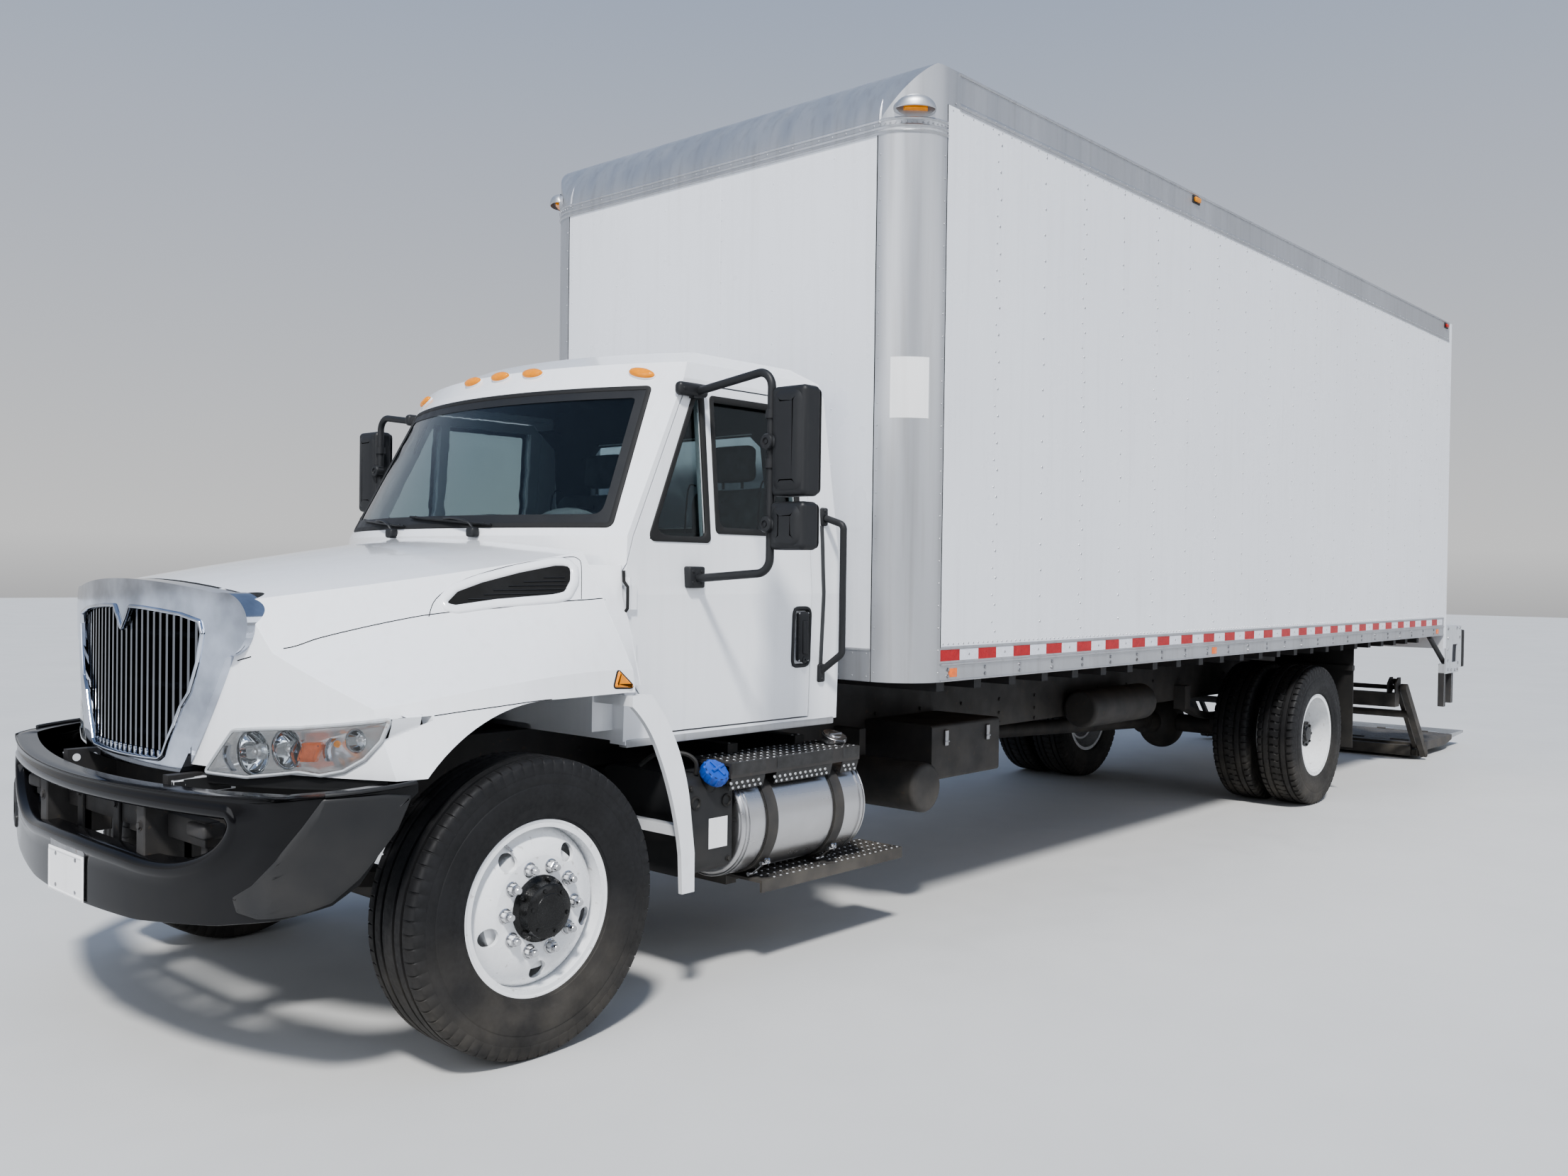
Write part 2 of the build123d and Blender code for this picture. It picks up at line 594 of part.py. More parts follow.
# Wheels
def tyre(centre_x, centre_y):
    half = TYRE_WIDTH / 2
    tread = half - 16
    profile = [
        (-half + 22, BEAD_RADIUS + RUNNING_GAP + 18),
        ((-half, BEAD_RADIUS + 105), (-tread - 4, TYRE_RADIUS - 26)),
        ((-tread + 6, TYRE_RADIUS - 10), (-tread + 22, TYRE_RADIUS)),
        (tread - 22, TYRE_RADIUS),
        ((tread - 6, TYRE_RADIUS - 10), (tread + 4, TYRE_RADIUS - 26)),
        ((half, BEAD_RADIUS + 105), (half - 22, BEAD_RADIUS + RUNNING_GAP + 18)),
        (RIM_WIDTH / 2 - 16 - RUNNING_GAP, BEAD_RADIUS + RUNNING_GAP + 18),
        (RIM_WIDTH / 2 - 16 - RUNNING_GAP, BEAD_RADIUS + RUNNING_GAP),
        (-RIM_WIDTH / 2 + 16 + RUNNING_GAP, BEAD_RADIUS + RUNNING_GAP),
        (-RIM_WIDTH / 2 + 16 + RUNNING_GAP, BEAD_RADIUS + RUNNING_GAP + 18),
    ]
    return turned(profile, centre_x, centre_y, TYRE_RADIUS)


def rim(centre_x, centre_y, out, disc):
    """Rim with its disc; out is +1 or -1 for the side the disc bulges to, disc its offset from the middle."""
    half = RIM_WIDTH / 2
    inner = BEAD_RADIUS - RIM_WALL
    barrel = [
        (-half, inner),
        (-half, RIM_RADIUS),
        (-half + 16, RIM_RADIUS),
        (-half + 16, BEAD_RADIUS),
        (half - 16, BEAD_RADIUS),
        (half - 16, RIM_RADIUS),
        (half, RIM_RADIUS),
        (half, inner),
    ]
    wheel = turned(barrel, centre_x, centre_y, TYRE_RADIUS)
    face = disc * out
    foot = (disc - 72) * out
    t = 14 * out
    plate = [
        (face, SPINDLE_RADIUS + 6),
        (face, STUD_CIRCLE_RADIUS + 34),
        ((face - 18 * out, 225), (foot, inner + 4)),
        (foot - t, inner + 4),
        ((face - 18 * out - t, 218), (face - t, STUD_CIRCLE_RADIUS + 30)),
        (face - t, SPINDLE_RADIUS + 6),
    ]
    wheel += turned(plate, centre_x, centre_y, TYRE_RADIUS)
    for i in range(HAND_HOLE_COUNT):
        a = math.radians(90 + 36 + 72 * i)
        x = centre_x + HAND_HOLE_CIRCLE * math.cos(a)
        z = TYRE_RADIUS + HAND_HOLE_CIRCLE * math.sin(a)
        low = centre_y + min(foot, face) - 40
        high = centre_y + max(foot, face) + 40
        wheel -= cross_pin(x, z, low, high, HAND_HOLE_RADIUS)
    return wheel


def hub(centre_x, y_in, y_out, face_y):
    """Hub with its bore for the spindle, its studs and the brake drum; y values are for the left side."""
    bore = SPINDLE_RADIUS + PIN_GAP
    body = cross_pin(centre_x, TYRE_RADIUS, y_in, y_out, HUB_RADIUS)
    flange = cross_pin(centre_x, TYRE_RADIUS, face_y - 34, face_y - 14, STUD_CIRCLE_RADIUS + 28)
    drum = cross_pin(centre_x, TYRE_RADIUS, y_in - 20, face_y - 30, DRUM_RADIUS)
    drum -= cross_pin(centre_x, TYRE_RADIUS, y_in - 30, face_y - 46, DRUM_RADIUS - 16)
    whole = body + flange + drum
    for i in range(STUD_COUNT):
        a = math.radians(360 / STUD_COUNT * i)
        x = centre_x + STUD_CIRCLE_RADIUS * math.cos(a)
        z = TYRE_RADIUS + STUD_CIRCLE_RADIUS * math.sin(a)
        whole += cross_pin(x, z, face_y - 20, face_y + 42, STUD_RADIUS)
        whole += cross_pin(x, z, face_y - 2, face_y + 22, 18)
    return whole - cross_pin(centre_x, TYRE_RADIUS, y_in - 60, y_out - 24, bore)


def front_rim():
    face_y = FRONT_WHEEL_Y + FRONT_DISC
    wheel = rim(FRONT_AXLE_X, FRONT_WHEEL_Y, 1, FRONT_DISC)
    return wheel + hub(FRONT_AXLE_X, KINGPIN_Y + 110, face_y + 52, face_y)


def rear_rims():
    outer_y = REAR_OUTER_Y
    inner_y = REAR_OUTER_Y - TWIN_SPACING
    mate_y = (outer_y + inner_y) / 2
    outer = rim(REAR_AXLE_X, outer_y, -1, outer_y - mate_y)
    inner = rim(REAR_AXLE_X, inner_y, 1, mate_y - inner_y)
    hub_in = inner_y - 40
    return outer + inner + hub(REAR_AXLE_X, hub_in, outer_y + 40, mate_y + 14)


# Cab
def cab_level(level, inset):
    z, half, rear, side, middle = level
    points = [
        (rear + inset, -half + inset),
        (side - inset, -half + inset),
        ((middle - inset, 0), (side - inset, half - inset)),
        (rear + inset, half - inset),
    ]
    return outline(placed(points, lambda x, y: (x, y, z)))


def stacked(levels, inset, drop):
    faces = [cab_level((level[0] - drop,) + tuple(level[1:]), inset) for level in levels]
    body = None
    for low, high in zip(faces, faces[1:]):
        piece = loft([low, high], ruled=True)
        body = piece if body is None else body + piece
    return body


def cab_tub(inset):
    section = [
        (-985 + inset, CAB_BOTTOM + inset),
        (985 - inset, CAB_BOTTOM + inset),
        (1000 - inset, BELT_Z),
        (993 - inset, COWL_Z + inset),
        (-993 + inset, COWL_Z + inset),
        (-1000 + inset, BELT_Z),
    ]
    return front_prism(section, CAB_REAR_X + inset, 1600 - inset)


def cab_outer():
    cowl = block(1560, 1700, -925, 925, CAB_BOTTOM + 40, COWL_Z)
    return cab_tub(0) + stacked(CAB_LEVELS, 0, 0) + stacked(ROOF_LEVELS, 0, 0) + cowl


def cab_inner(inset):
    upper = stacked(CAB_LEVELS, inset, 0) - block(0, 2200, -1200, 1200, COWL_Z - 10, COWL_Z + inset)
    return cab_tub(inset) + upper + stacked(ROOF_LEVELS, inset, inset * 0.8)


def side_wall(depth):
    """Everything outside a surface that lies a depth inside the cab's left wall."""
    points = [(1300, CAB_BOTTOM - 50), (985 - depth, CAB_BOTTOM - 50), (1000 - depth, BELT_Z)]
    points += [(half - depth, z) for z, half, rear, side, middle in CAB_LEVELS]
    points += [(CAB_LEVELS[-1][1] - depth - 10, GUTTER_Z + 120), (1300, GUTTER_Z + 120)]
    return front_prism(points, 0, 2200)


def side_region(points, grow):
    """Prism over one side of the cab, grown by a gap all round."""
    face = outline(placed(points, lambda x, z: (x, 820, z)))
    if grow:
        face = offset(face, amount=grow, kind=Kind.INTERSECTION)
    return extrude(face, amount=300, dir=(0, 1, 0))


def cab_shell(outer, inner):
    shell = outer - inner
    doorway = side_region(DOOR_OUTLINE, DOOR_GAP) & side_wall(CAB_WALL + DOOR_GAP)
    shell -= both_sides(doorway)
    shell -= front_prism(SHIELD_OUTLINE, 1000, 2000)
    shell -= front_prism([(-620, 1850), (620, 1850), (580, 2270), (-580, 2270)], 200, 700)
    sill = both_sides(block(CAB_REAR_X + 40, 1590, 900, 986, CAB_BOTTOM - 14, CAB_BOTTOM + 6))
    return shell + sill + both_sides(door_hinge_arms())


def cab_glass(outer):
    pane = outer - cab_inner(GLASS_THICKNESS)
    shield = pane & front_prism(
        [(-904, 1813), (904, 1813), (814, 2361), (-814, 2361)], 1000, 2000
    )
    rear_pane = cab_inner(CAB_WALL / 2) - cab_inner(CAB_WALL / 2 + GLASS_THICKNESS)
    rear_outline = [(-619.7, 1850.3), (619.7, 1850.3), (579.7, 2269.7), (-579.7, 2269.7)]
    return shield + (rear_pane & front_prism(rear_outline, 200, 700))


def door_left(outer, inner):
    skin = (outer - inner) & side_region(DOOR_OUTLINE, 0) & side_wall(CAB_WALL)
    skin -= side_region(QUARTER_OUTLINE, 0)
    skin -= side_region(WINDOW_OUTLINE, 0)
    pocket = block(520 + 30, 660, 985, 1010, 1240, 1490)
    handle = block(575, 635, 992, 1012, 1262, 1470)
    handle += block(590, 620, 984, 1000, 1262, 1284) + block(590, 620, 984, 1000, 1448, 1470)
    whole = (skin - pocket) + handle
    y = 1000 + HINGE_OUT
    half = DOOR_HINGE_HALF
    for z in DOOR_HINGES_Z:
        whole += Pos(DOOR_FRONT_X, y, z) * Cylinder(HINGE_BARREL, 2 * half)
        whole += block(DOOR_FRONT_X - 40, DOOR_FRONT_X, 970, y, z - half, z + half)
        whole -= Pos(DOOR_FRONT_X, y, z) * Cylinder(DOOR_PIN_RADIUS + PIN_GAP, 3 * half)
    return whole


def door_hinge_arms():
    """Arms of the cab that carry the left door's hinge pins."""
    arms = None
    y = 1000 + HINGE_OUT
    for z in DOOR_HINGES_Z:
        low = z + DOOR_HINGE_HALF + RUNNING_GAP
        arm = block(DOOR_FRONT_X + 2, DOOR_FRONT_X + HINGE_BARREL, 915, y, low, low + 30)
        arm += Pos(DOOR_FRONT_X, y, low + 15) * Cylinder(HINGE_BARREL, 30)
        arm += Pos(DOOR_FRONT_X, y, z + 15) * Cylinder(DOOR_PIN_RADIUS, 2 * DOOR_HINGE_HALF + 28)
        arms = arm if arms is None else arms + arm
    return arms


def door_glass_left():
    mid = CAB_WALL / 2
    pane = cab_inner(mid) - cab_inner(mid + GLASS_THICKNESS)
    return pane & (side_region(QUARTER_OUTLINE, -0.5) + side_region(WINDOW_OUTLINE, -0.5))


def mirror_left(cab_body):
    x = 1205
    y = 1355
    loop = tube_path(
        [(1207, 945, 2350), (x, y, 2405), (x, y, 1640), (1258, 1002, 1612)], 60, 16
    )
    big = fillet(block(x - 75, x + 20, y + 12, y + 185, 1925, 2335).edges(), 22)
    small = fillet(block(x - 75, x + 20, y + 8, y + 180, 1725, 1905).edges(), 22)
    clamps = block(x - 30, x + 24, y - 24, y + 30, 2110, 2150)
    clamps += block(x - 30, x + 24, y - 24, y + 30, 1800, 1840)
    feet = block(1180, 1232, 925, 965, 2325, 2377) + block(1222, 1296, 985, 1022, 1585, 1650)
    return loop + big + small + clamps + feet - cab_body


def seats():
    seat = None
    # seat centre across the cab and its half width
    for y, half in ((470, 250), (-420, 360)):
        base = block(560, 1080, y - half, y + half, CAB_BOTTOM + CAB_WALL, 1300)
        cushion = fillet(block(560, 1100, y - half, y + half, 1290, 1440).edges(), 40)
        back = side_prism([(440, 1420), (600, 1420), (560, 2040), (440, 2060)], y - half, y + half)
        back = fillet(back.edges(), 30)
        head = fillet(block(450, 550, y - 130, y + 130, 2040, 2230).edges(), 30)
        piece = base + cushion + back + head
        seat = piece if seat is None else seat + piece
    return seat


def dashboard():
    panel = side_prism(
        [(1520, 1240), (1440, 1560), (1470, 1700), (1530, 1730), (1530, 1240)], -900, 900
    )
    top = plan_prism([(1480, -880), ((1740, 0), (1480, 880))], COWL_Z + CAB_WALL + RUNNING_GAP, 1745)
    hump = side_prism([(1400, 1560), (1410, 1740), ((1470, 1790), (1530, 1740)), (1530, 1560)], 270, 640)
    column = rod((1480, 450, 1560), (1270, 450, 1700), 32)
    ring = Pos(1255, 450, 1710) * Rot(0, -56, 0) * Torus(205, 15)
    spokes = Pos(1255, 450, 1710) * Rot(0, -56, 0) * (Box(60, 400, 14) + Cylinder(60, 40))
    return panel + top + hump + column + ring + spokes


def splash_panels():
    outside = [
        (1700, 1190),
        (1608, 1190),
        (1537, 1102),
        ((1462, 963), (1400, 720)),
        (1380, 577),
        (1379, 430),
        (1443, 430),
        (1450, 577),
        ((1496, 785), (1571, 977)),
        ((1625, 1070), (1700, 1150)),
    ]
    panel = side_prism(outside, SPLASH_Y - 20, SPLASH_Y)
    tab = block(1614, 1690, 925, SPLASH_Y - 10, 1150, 1188)
    stay = block(1395, 1435, RAIL_OUTSIDE, SPLASH_Y - 10, 640, 680)
    return both_sides(panel + tab) + both_sides(stay)


# Hood, grille and lamps
def hood_section(station, inset):
    x, zc, ys, zs, yi, zi, yo, zo, yl, zl = station
    t = inset
    left = [
        (yl - t, zl - 2 * t),
        (yo - t, zo - t * 0.6),
        (yi - t * 0.8, zi - t * 0.9),
        (ys - t * 0.9, zs - t),
    ]
    points = left + [((0, zc - t), (-ys + t * 0.9, zs - t))]
    points += [(-yi + t * 0.8, zi - t * 0.9), (-yo + t, zo - t * 0.6), (-yl + t, zl - 2 * t)]
    return outline(placed(points, lambda y, z: (x, y, z)))


def hood_form(inset):
    body = loft([hood_section(s, inset) for s in HOOD_STATIONS])
    nose = HOOD_NOSE_X - inset
    corner = HOOD_CORNER_X - inset
    edge = HOOD_EDGE_Y + 20
    rear_side = DOOR_FRONT_X + 12 - (40 if inset else 0)
    rear_mid = 1858 - (40 if inset else 0)
    plan = [
        (rear_side, -edge),
        (corner, -edge),
        ((nose, 0), (corner, edge)),
        (rear_side, edge),
        ((rear_mid, 0), (rear_side, -edge)),
    ]
    return body & plan_prism(plan, 700, 2000)


def arch_cut():
    front = cross_pin(2085, ARCH_CENTRE_Z, 500, 1300, ARCH_RADIUS)
    rear = cross_pin(1955, ARCH_CENTRE_Z, 500, 1300, ARCH_RADIUS)
    top = block(1500, 2085, 500, 1300, 600, ARCH_CENTRE_Z + ARCH_RADIUS)
    return front + rear + top


def front_band(outer_proud, thickness):
    """Upright shell that follows the nose in plan."""
    def line(grow):
        return HOOD_NOSE_X + grow, HOOD_CORNER_X + grow
    out_nose, out_corner = line(outer_proud)
    in_nose, in_corner = line(outer_proud - thickness)
    edge = HOOD_EDGE_Y + 20
    return plan_prism(
        [
            (in_corner, -edge),
            (out_corner, -edge),
            ((out_nose, 0), (out_corner, edge)),
            (in_corner, edge),
            ((in_nose, 0), (in_corner, -edge)),
        ],
        900,
        1700,
    )


def hood_shell(outer, inner):
    shell = outer - inner
    shell -= both_sides(arch_cut())
    shell -= front_prism(SURROUND_OUTLINE, 2700, 3200)
    lamp = front_prism(LAMP_OUTLINE, 2500, 3200)
    lamp_room = lamp & front_band(40, 190)
    shell -= both_sides(lamp_room)
    shell -= block(1300, 3100, -1300, 1300, 500, FENDER_BOTTOM)
    arm = side_prism(
        [
            (2830, 1640),
            (2830, 905),
            (3028, 905),
            (3034, 950),
            (2885, 960),
            (2885, 1640),
        ],
        HOOD_ARM_Y,
        HOOD_ARM_Y + 16,
    )
    pin = cross_pin(HOOD_HINGE_X, HOOD_HINGE_Z, HOOD_ARM_Y - 50, HOOD_ARM_Y + 18, HOOD_PIN_RADIUS)
    upper = arm & outer
    lower = arm & block(2800, 3100, 400, 500, 880, FENDER_BOTTOM + 4)
    shell += both_sides(upper + lower + pin)
    slot = side_prism([(2300, 1545), (2020, 1625), (1840, 1660), (1835, 1590), (2240, 1535)], 800, 1100)
    shell -= both_sides(slot)
    return shell


def grille_surround():
    ring = front_prism(SURROUND_OUTLINE, 2700, 3200) - front_prism(GRILLE_OUTLINE, 2700, 3200)
    return ring & front_band(SURROUND_PROUD, 70)


def grille_bars():
    band = front_band(SURROUND_PROUD - 14, 26)
    back = front_band(SURROUND_PROUD - 40, 12)
    opening = front_prism(GRILLE_OUTLINE, 2700, 3200)
    pitch = 1000 / GRILLE_BAR_COUNT
    bars = None
    for i in range(GRILLE_BAR_COUNT):
        y = (i - (GRILLE_BAR_COUNT - 1) / 2) * pitch
        bar = block(2700, 3100, y - GRILLE_BAR_WIDTH / 2, y + GRILLE_BAR_WIDTH / 2, 980, 1520)
        bars = bar if bars is None else bars + bar
    grid = bars & band
    ribs = block(2700, 3100, -520, 520, 1060, 1080) + block(2700, 3100, -520, 520, 1230, 1250)
    ribs += block(2700, 3100, -520, 520, 1400, 1420)
    grid += ribs & front_band(SURROUND_PROUD - 36, 14)
    return grid & opening


def headlamps():
    lamp = front_prism(LAMP_OUTLINE, 2500, 3200) & front_band(2, 110)
    return both_sides(lamp)


def front_bumper():
    outer = [
        (2600, -1192),
        ((2880, -1150), (3000, -1060)),
        ((FRONT_X, 0), (3000, 1060)),
        ((2880, 1150), (2600, 1192)),
    ]
    inner = [
        (2600, -1192 + BUMPER_WALL),
        ((2850, -1100), (2960, -1010)),
        ((FRONT_X - BUMPER_WALL, 0), (2960, 1010)),
        ((2850, 1100), (2600, 1192 - BUMPER_WALL)),
    ]
    body = plan_prism(outer, 500, 980) - plan_prism(inner, 400, 1100)
    face = [
        (-420, 512),
        (420, 512),
        ((800, 548), (1100, 640)),
        (1250, 700),
        (1250, 968),
        (1100, 968),
        ((0, 905), (-1100, 968)),
        (-1250, 968),
        (-1250, 700),
        (-1100, 640),
        ((-800, 548), (-420, 512)),
    ]
    body &= front_prism(face, 2500, 3300)
    mouth = [(-560, 610), (560, 610), ((620, 665), (560, 720)), (-560, 720), ((-620, 665), (-560, 610))]
    body -= front_prism(mouth, 3000, 3300)
    side = [(2597, 1000), (2690, 690), (2780, 600), (2900, 480), (3300, 480), (3300, 1000)]
    body &= side_prism(side, -1300, 1300)
    back = block(HORN_FRONT_X, HORN_FRONT_X + 30, -520, 520, FRAME_BOTTOM + 20, 880)
    back += both_sides(block(HORN_FRONT_X, FRONT_X - 60, 380, 440, FRAME_BOTTOM + 20, 880))
    return body + back


# Load body
def body_form(inset, top_inset):
    t = inset
    half = BODY_HALF_WIDTH - t
    radius = CORNER_RADIUS - t
    front = BODY_FRONT_X - t
    c = math.sqrt(0.5) * radius
    plan = [
        (BODY_REAR_X, -half),
        (front - radius, -half),
        ((front - radius + c, -half + radius - c), (front, -half + radius)),
        (front, half - radius),
        ((front - radius + c, half - radius + c), (front - radius, half)),
        (BODY_REAR_X, half),
    ]
    cap = CAP_RADIUS - top_inset
    d = math.sqrt(0.5) * cap
    top = BODY_TOP - top_inset
    eave = TOP_RAIL_TOP - top_inset
    profile = [
        (BODY_REAR_X, BODY_BOTTOM),
        (front, BODY_BOTTOM),
        (front, top - cap),
        ((front - cap + d, top - cap + d), (front - cap, top)),
        (BODY_REAR_X, top),
    ]
    crown = [
        (-half - 1, BODY_BOTTOM),
        (half + 1, BODY_BOTTOM),
        (half + 1, eave),
        ((0, top), (-half - 1, eave)),
    ]
    return (
        plan_prism(plan, BODY_BOTTOM, top)
        & side_prism(profile, -half - 5, half + 5)
        & front_prism(crown, BODY_REAR_X - 5, front + 5)
    )


def body_frame(outer, inner):
    ring = outer - inner
    start = BODY_REAR_X + REAR_POST_WIDTH
    front = BODY_FRONT_X + CUT_PAST
    flat_half = BODY_HALF_WIDTH - CORNER_RADIUS
    inside = BODY_HALF_WIDTH - EDGE_STRIP
    outside = BODY_HALF_WIDTH + CUT_PAST
    above = BODY_TOP + CUT_PAST
    posts = ring & both_sides(block(0, front, flat_half, outside, BODY_BOTTOM, above))
    cap = ring & block(0, front, -outside, outside, CAP_BOTTOM, above)
    cap += ring & block(-CAP_OVERLAP, 1, -outside, outside, TOP_RAIL_BOTTOM, above)
    sides = both_sides(block(start, 1, inside, outside, BODY_BOTTOM, RUB_RAIL_TOP))
    sides += both_sides(block(start, 1, inside, outside, TOP_RAIL_BOTTOM, above))
    rails = ring & sides
    return posts + cap + rails


def body_panels(outer, inner):
    """Two side walls, the front wall and the roof, held apart by the frame."""
    ring = outer - inner
    start = BODY_REAR_X + REAR_POST_WIDTH
    flat_half = BODY_HALF_WIDTH - CORNER_RADIUS
    inside = BODY_HALF_WIDTH - EDGE_STRIP
    outside = BODY_HALF_WIDTH + CUT_PAST
    sides = ring & both_sides(block(start, 0, inside, outside, RUB_RAIL_TOP, TOP_RAIL_BOTTOM))
    front = ring & block(0, BODY_FRONT_X + CUT_PAST, -flat_half, flat_half, BODY_BOTTOM, CAP_BOTTOM)
    roof = ring & block(start, -CAP_OVERLAP, -inside, inside, TOP_RAIL_BOTTOM, BODY_TOP + CUT_PAST)
    return sides + front + roof


def load_floor():
    """Deck that follows the walls and the rounded corners at the front."""
    room = body_form(WALL_THICKNESS + RUNNING_GAP, ROOF_THICKNESS)
    start = BODY_REAR_X + REAR_POST_WIDTH
    half = BODY_HALF_WIDTH
    return room & block(start, BODY_FRONT_X, -half, half, FLOOR_TOP - FLOOR_THICKNESS, FLOOR_TOP)


def floor_sills():
    half = BODY_HALF_WIDTH - WALL_THICKNESS
    top = FLOOR_TOP - FLOOR_THICKNESS - RUNNING_GAP
    low = FLOOR_TOP - FLOOR_THICKNESS - 90
    sills = both_sides(block(RAIL_REAR_X, 60, RAIL_OUTSIDE - 76, RAIL_OUTSIDE, FRAME_TOP, low + 1))
    count = int((-BODY_REAR_X - 200) / CROSS_SILL_SPACING)
    for i in range(count):
        x = -60 - i * CROSS_SILL_SPACING
        sills += block(x - 30, x + 30, -half, half, low, top)
    return sills


def rear_frame():
    x0 = BODY_REAR_X
    x1 = BODY_REAR_X + REAR_POST_WIDTH
    frame = block(x0, x1, DOOR_OPENING_HALF, BODY_HALF_WIDTH, 1060, TOP_RAIL_TOP)
    frame = both_sides(frame)
    frame += front_prism(
        [
            (-BODY_HALF_WIDTH, DOOR_OPENING_TOP),
            (BODY_HALF_WIDTH, DOOR_OPENING_TOP),
            (BODY_HALF_WIDTH, TOP_RAIL_TOP),
            ((0, BODY_TOP), (-BODY_HALF_WIDTH, TOP_RAIL_TOP)),
        ],
        x0,
        x1,
    )
    frame += block(x0, x1, -BODY_HALF_WIDTH, BODY_HALF_WIDTH, 1040, FLOOR_TOP - 4)
    return frame


def rollup_door():
    x = BODY_REAR_X + REAR_POST_WIDTH
    low = FLOOR_TOP + 4
    pitch = (DOOR_OPENING_TOP - RUNNING_GAP - low) / ROLL_PANELS
    half = DOOR_OPENING_HALF - RUNNING_GAP
    door = block(x - 60, x - 38, -half, half, low, DOOR_OPENING_TOP - RUNNING_GAP)
    for i in range(ROLL_PANELS):
        z = low + i * pitch
        door += block(x - 66, x - 60, -half, half, z + 6, z + pitch - 6)
    door += block(x - 78, x - 64, -110, 110, low + 30, low + 190)
    return door


def marker_lamps():
    lamps = None
    # roof lamps over the cab: distance from the middle and station
    for y, x, z in ((0, 1452, 2472), (212, 1440, 2468), (760, 1295, 2440)):
        dome = Pos(x, y, z) * Rot(0, 30, 0) * Cylinder(38, 40)
        lamps = dome if lamps is None else lamps + dome
        if y:
            lamps += Pos(x, -y, z) * Rot(0, 30, 0) * Cylinder(38, 40)
    return lamps


# Liftgate
def slanted_bar(start, end, radius, y0, y1):
    """Flat bar with round ends between two points (x, z)."""
    length = math.dist(start, end)
    dx = (end[0] - start[0]) / length * radius
    dz = (end[1] - start[1]) / length * radius
    points = [
        (start[0] - dz, start[1] + dx),
        (end[0] - dz, end[1] + dx),
        ((end[0] + dx, end[1] + dz), (end[0] + dz, end[1] - dx)),
        (start[0] + dz, start[1] - dx),
        ((start[0] - dx, start[1] - dz), (start[0] - dz, start[1] + dx)),
    ]
    return side_prism(points, y0, y1)


def two_ears(points):
    """The same plate on both sides of a link."""
    inner = side_prism(points, INNER_EAR_Y, INNER_EAR_Y + EAR_THICKNESS)
    return inner + side_prism(points, OUTER_EAR_Y, OUTER_EAR_Y + EAR_THICKNESS)


def lift_frame():
    outer_face = OUTER_EAR_Y + EAR_THICKNESS
    beam = block(BEAM_REAR_X, BEAM_FRONT_X, -outer_face, outer_face, BEAM_BOTTOM, BEAM_TOP)
    hanger_y = RAIL_OUTSIDE + 14
    hanger = block(BEAM_REAR_X - 40, BEAM_FRONT_X + 60, RAIL_OUTSIDE, hanger_y, BEAM_BOTTOM, FRAME_TOP - 30)
    hanger -= cross_pin(ARM_PIVOT_X, ARM_PIVOT_Z, RAIL_OUTSIDE - 5, RAIL_OUTSIDE + 20, SHAFT_RADIUS + PIN_GAP)
    ears = two_ears(
        [
            (BEAM_FRONT_X - 20, BEAM_TOP - 20),
            (BEAM_FRONT_X - 20, ARM_PIVOT_Z + 40),
            (ARM_PIVOT_X + 30, LINK_TOP_Z + 30),
            (ARM_PIVOT_X - 32, LINK_TOP_Z + 30),
            (ARM_PIVOT_X - 38, ARM_PIVOT_Z - 20),
            (BEAM_REAR_X + 10, BEAM_TOP - 20),
        ]
    )
    ears -= cross_pin(ARM_PIVOT_X, ARM_PIVOT_Z, INNER_EAR_Y - 5, outer_face + 5, SHAFT_RADIUS + PIN_GAP)
    link_pin = cross_pin(LINK_TOP_X, LINK_TOP_Z, INNER_EAR_Y, outer_face, LINK_PIN_RADIUS)
    return beam + both_sides(hanger + ears + link_pin)


def lift_arms():
    y0 = LIFT_ARM_Y - LIFT_ARM_WIDTH / 2
    y1 = LIFT_ARM_Y + LIFT_ARM_WIDTH / 2
    arm = slanted_bar((ARM_PIVOT_X, ARM_PIVOT_Z), (ARM_END_X, ARM_END_Z), ARM_HALF_DEPTH, y0, y1)
    arm -= cross_pin(ARM_END_X, ARM_END_Z, y0 - 10, y1 + 10, SHAFT_RADIUS + PIN_GAP)
    tube_x, tube_z = along_arm(TORQUE_TUBE_DISTANCE, -TORQUE_TUBE_DROP)
    tube = cross_pin(tube_x, tube_z, -y0 - 1, y0 + 1, TORQUE_TUBE_RADIUS)
    shaft = cross_pin(ARM_PIVOT_X, ARM_PIVOT_Z, -y1, y1, SHAFT_RADIUS)
    crank = slanted_bar(
        (ARM_PIVOT_X, ARM_PIVOT_Z),
        (CYLINDER_EYE_X, CYLINDER_EYE_Z),
        CYLINDER_EYE_RADIUS,
        CYLINDER_Y - 44,
        CYLINDER_Y - 28,
    )
    pin = cross_pin(CYLINDER_EYE_X, CYLINDER_EYE_Z, CYLINDER_Y - 44, CYLINDER_Y - 25, CYLINDER_PIN_RADIUS)
    return both_sides(arm + crank + pin) + tube + shaft


def lift_links():
    y0 = LINK_Y - LINK_WIDTH / 2
    y1 = LINK_Y + LINK_WIDTH / 2
    link = slanted_bar((LINK_TOP_X, LINK_TOP_Z), (LINK_END_X, LINK_END_Z), LINK_RADIUS, y0, y1)
    link -= cross_pin(LINK_TOP_X, LINK_TOP_Z, y0 - 5, y1 + 5, LINK_PIN_RADIUS + PIN_GAP)
    link -= cross_pin(LINK_END_X, LINK_END_Z, y0 - 5, y1 + 5, LINK_PIN_RADIUS + PIN_GAP)
    return both_sides(link)


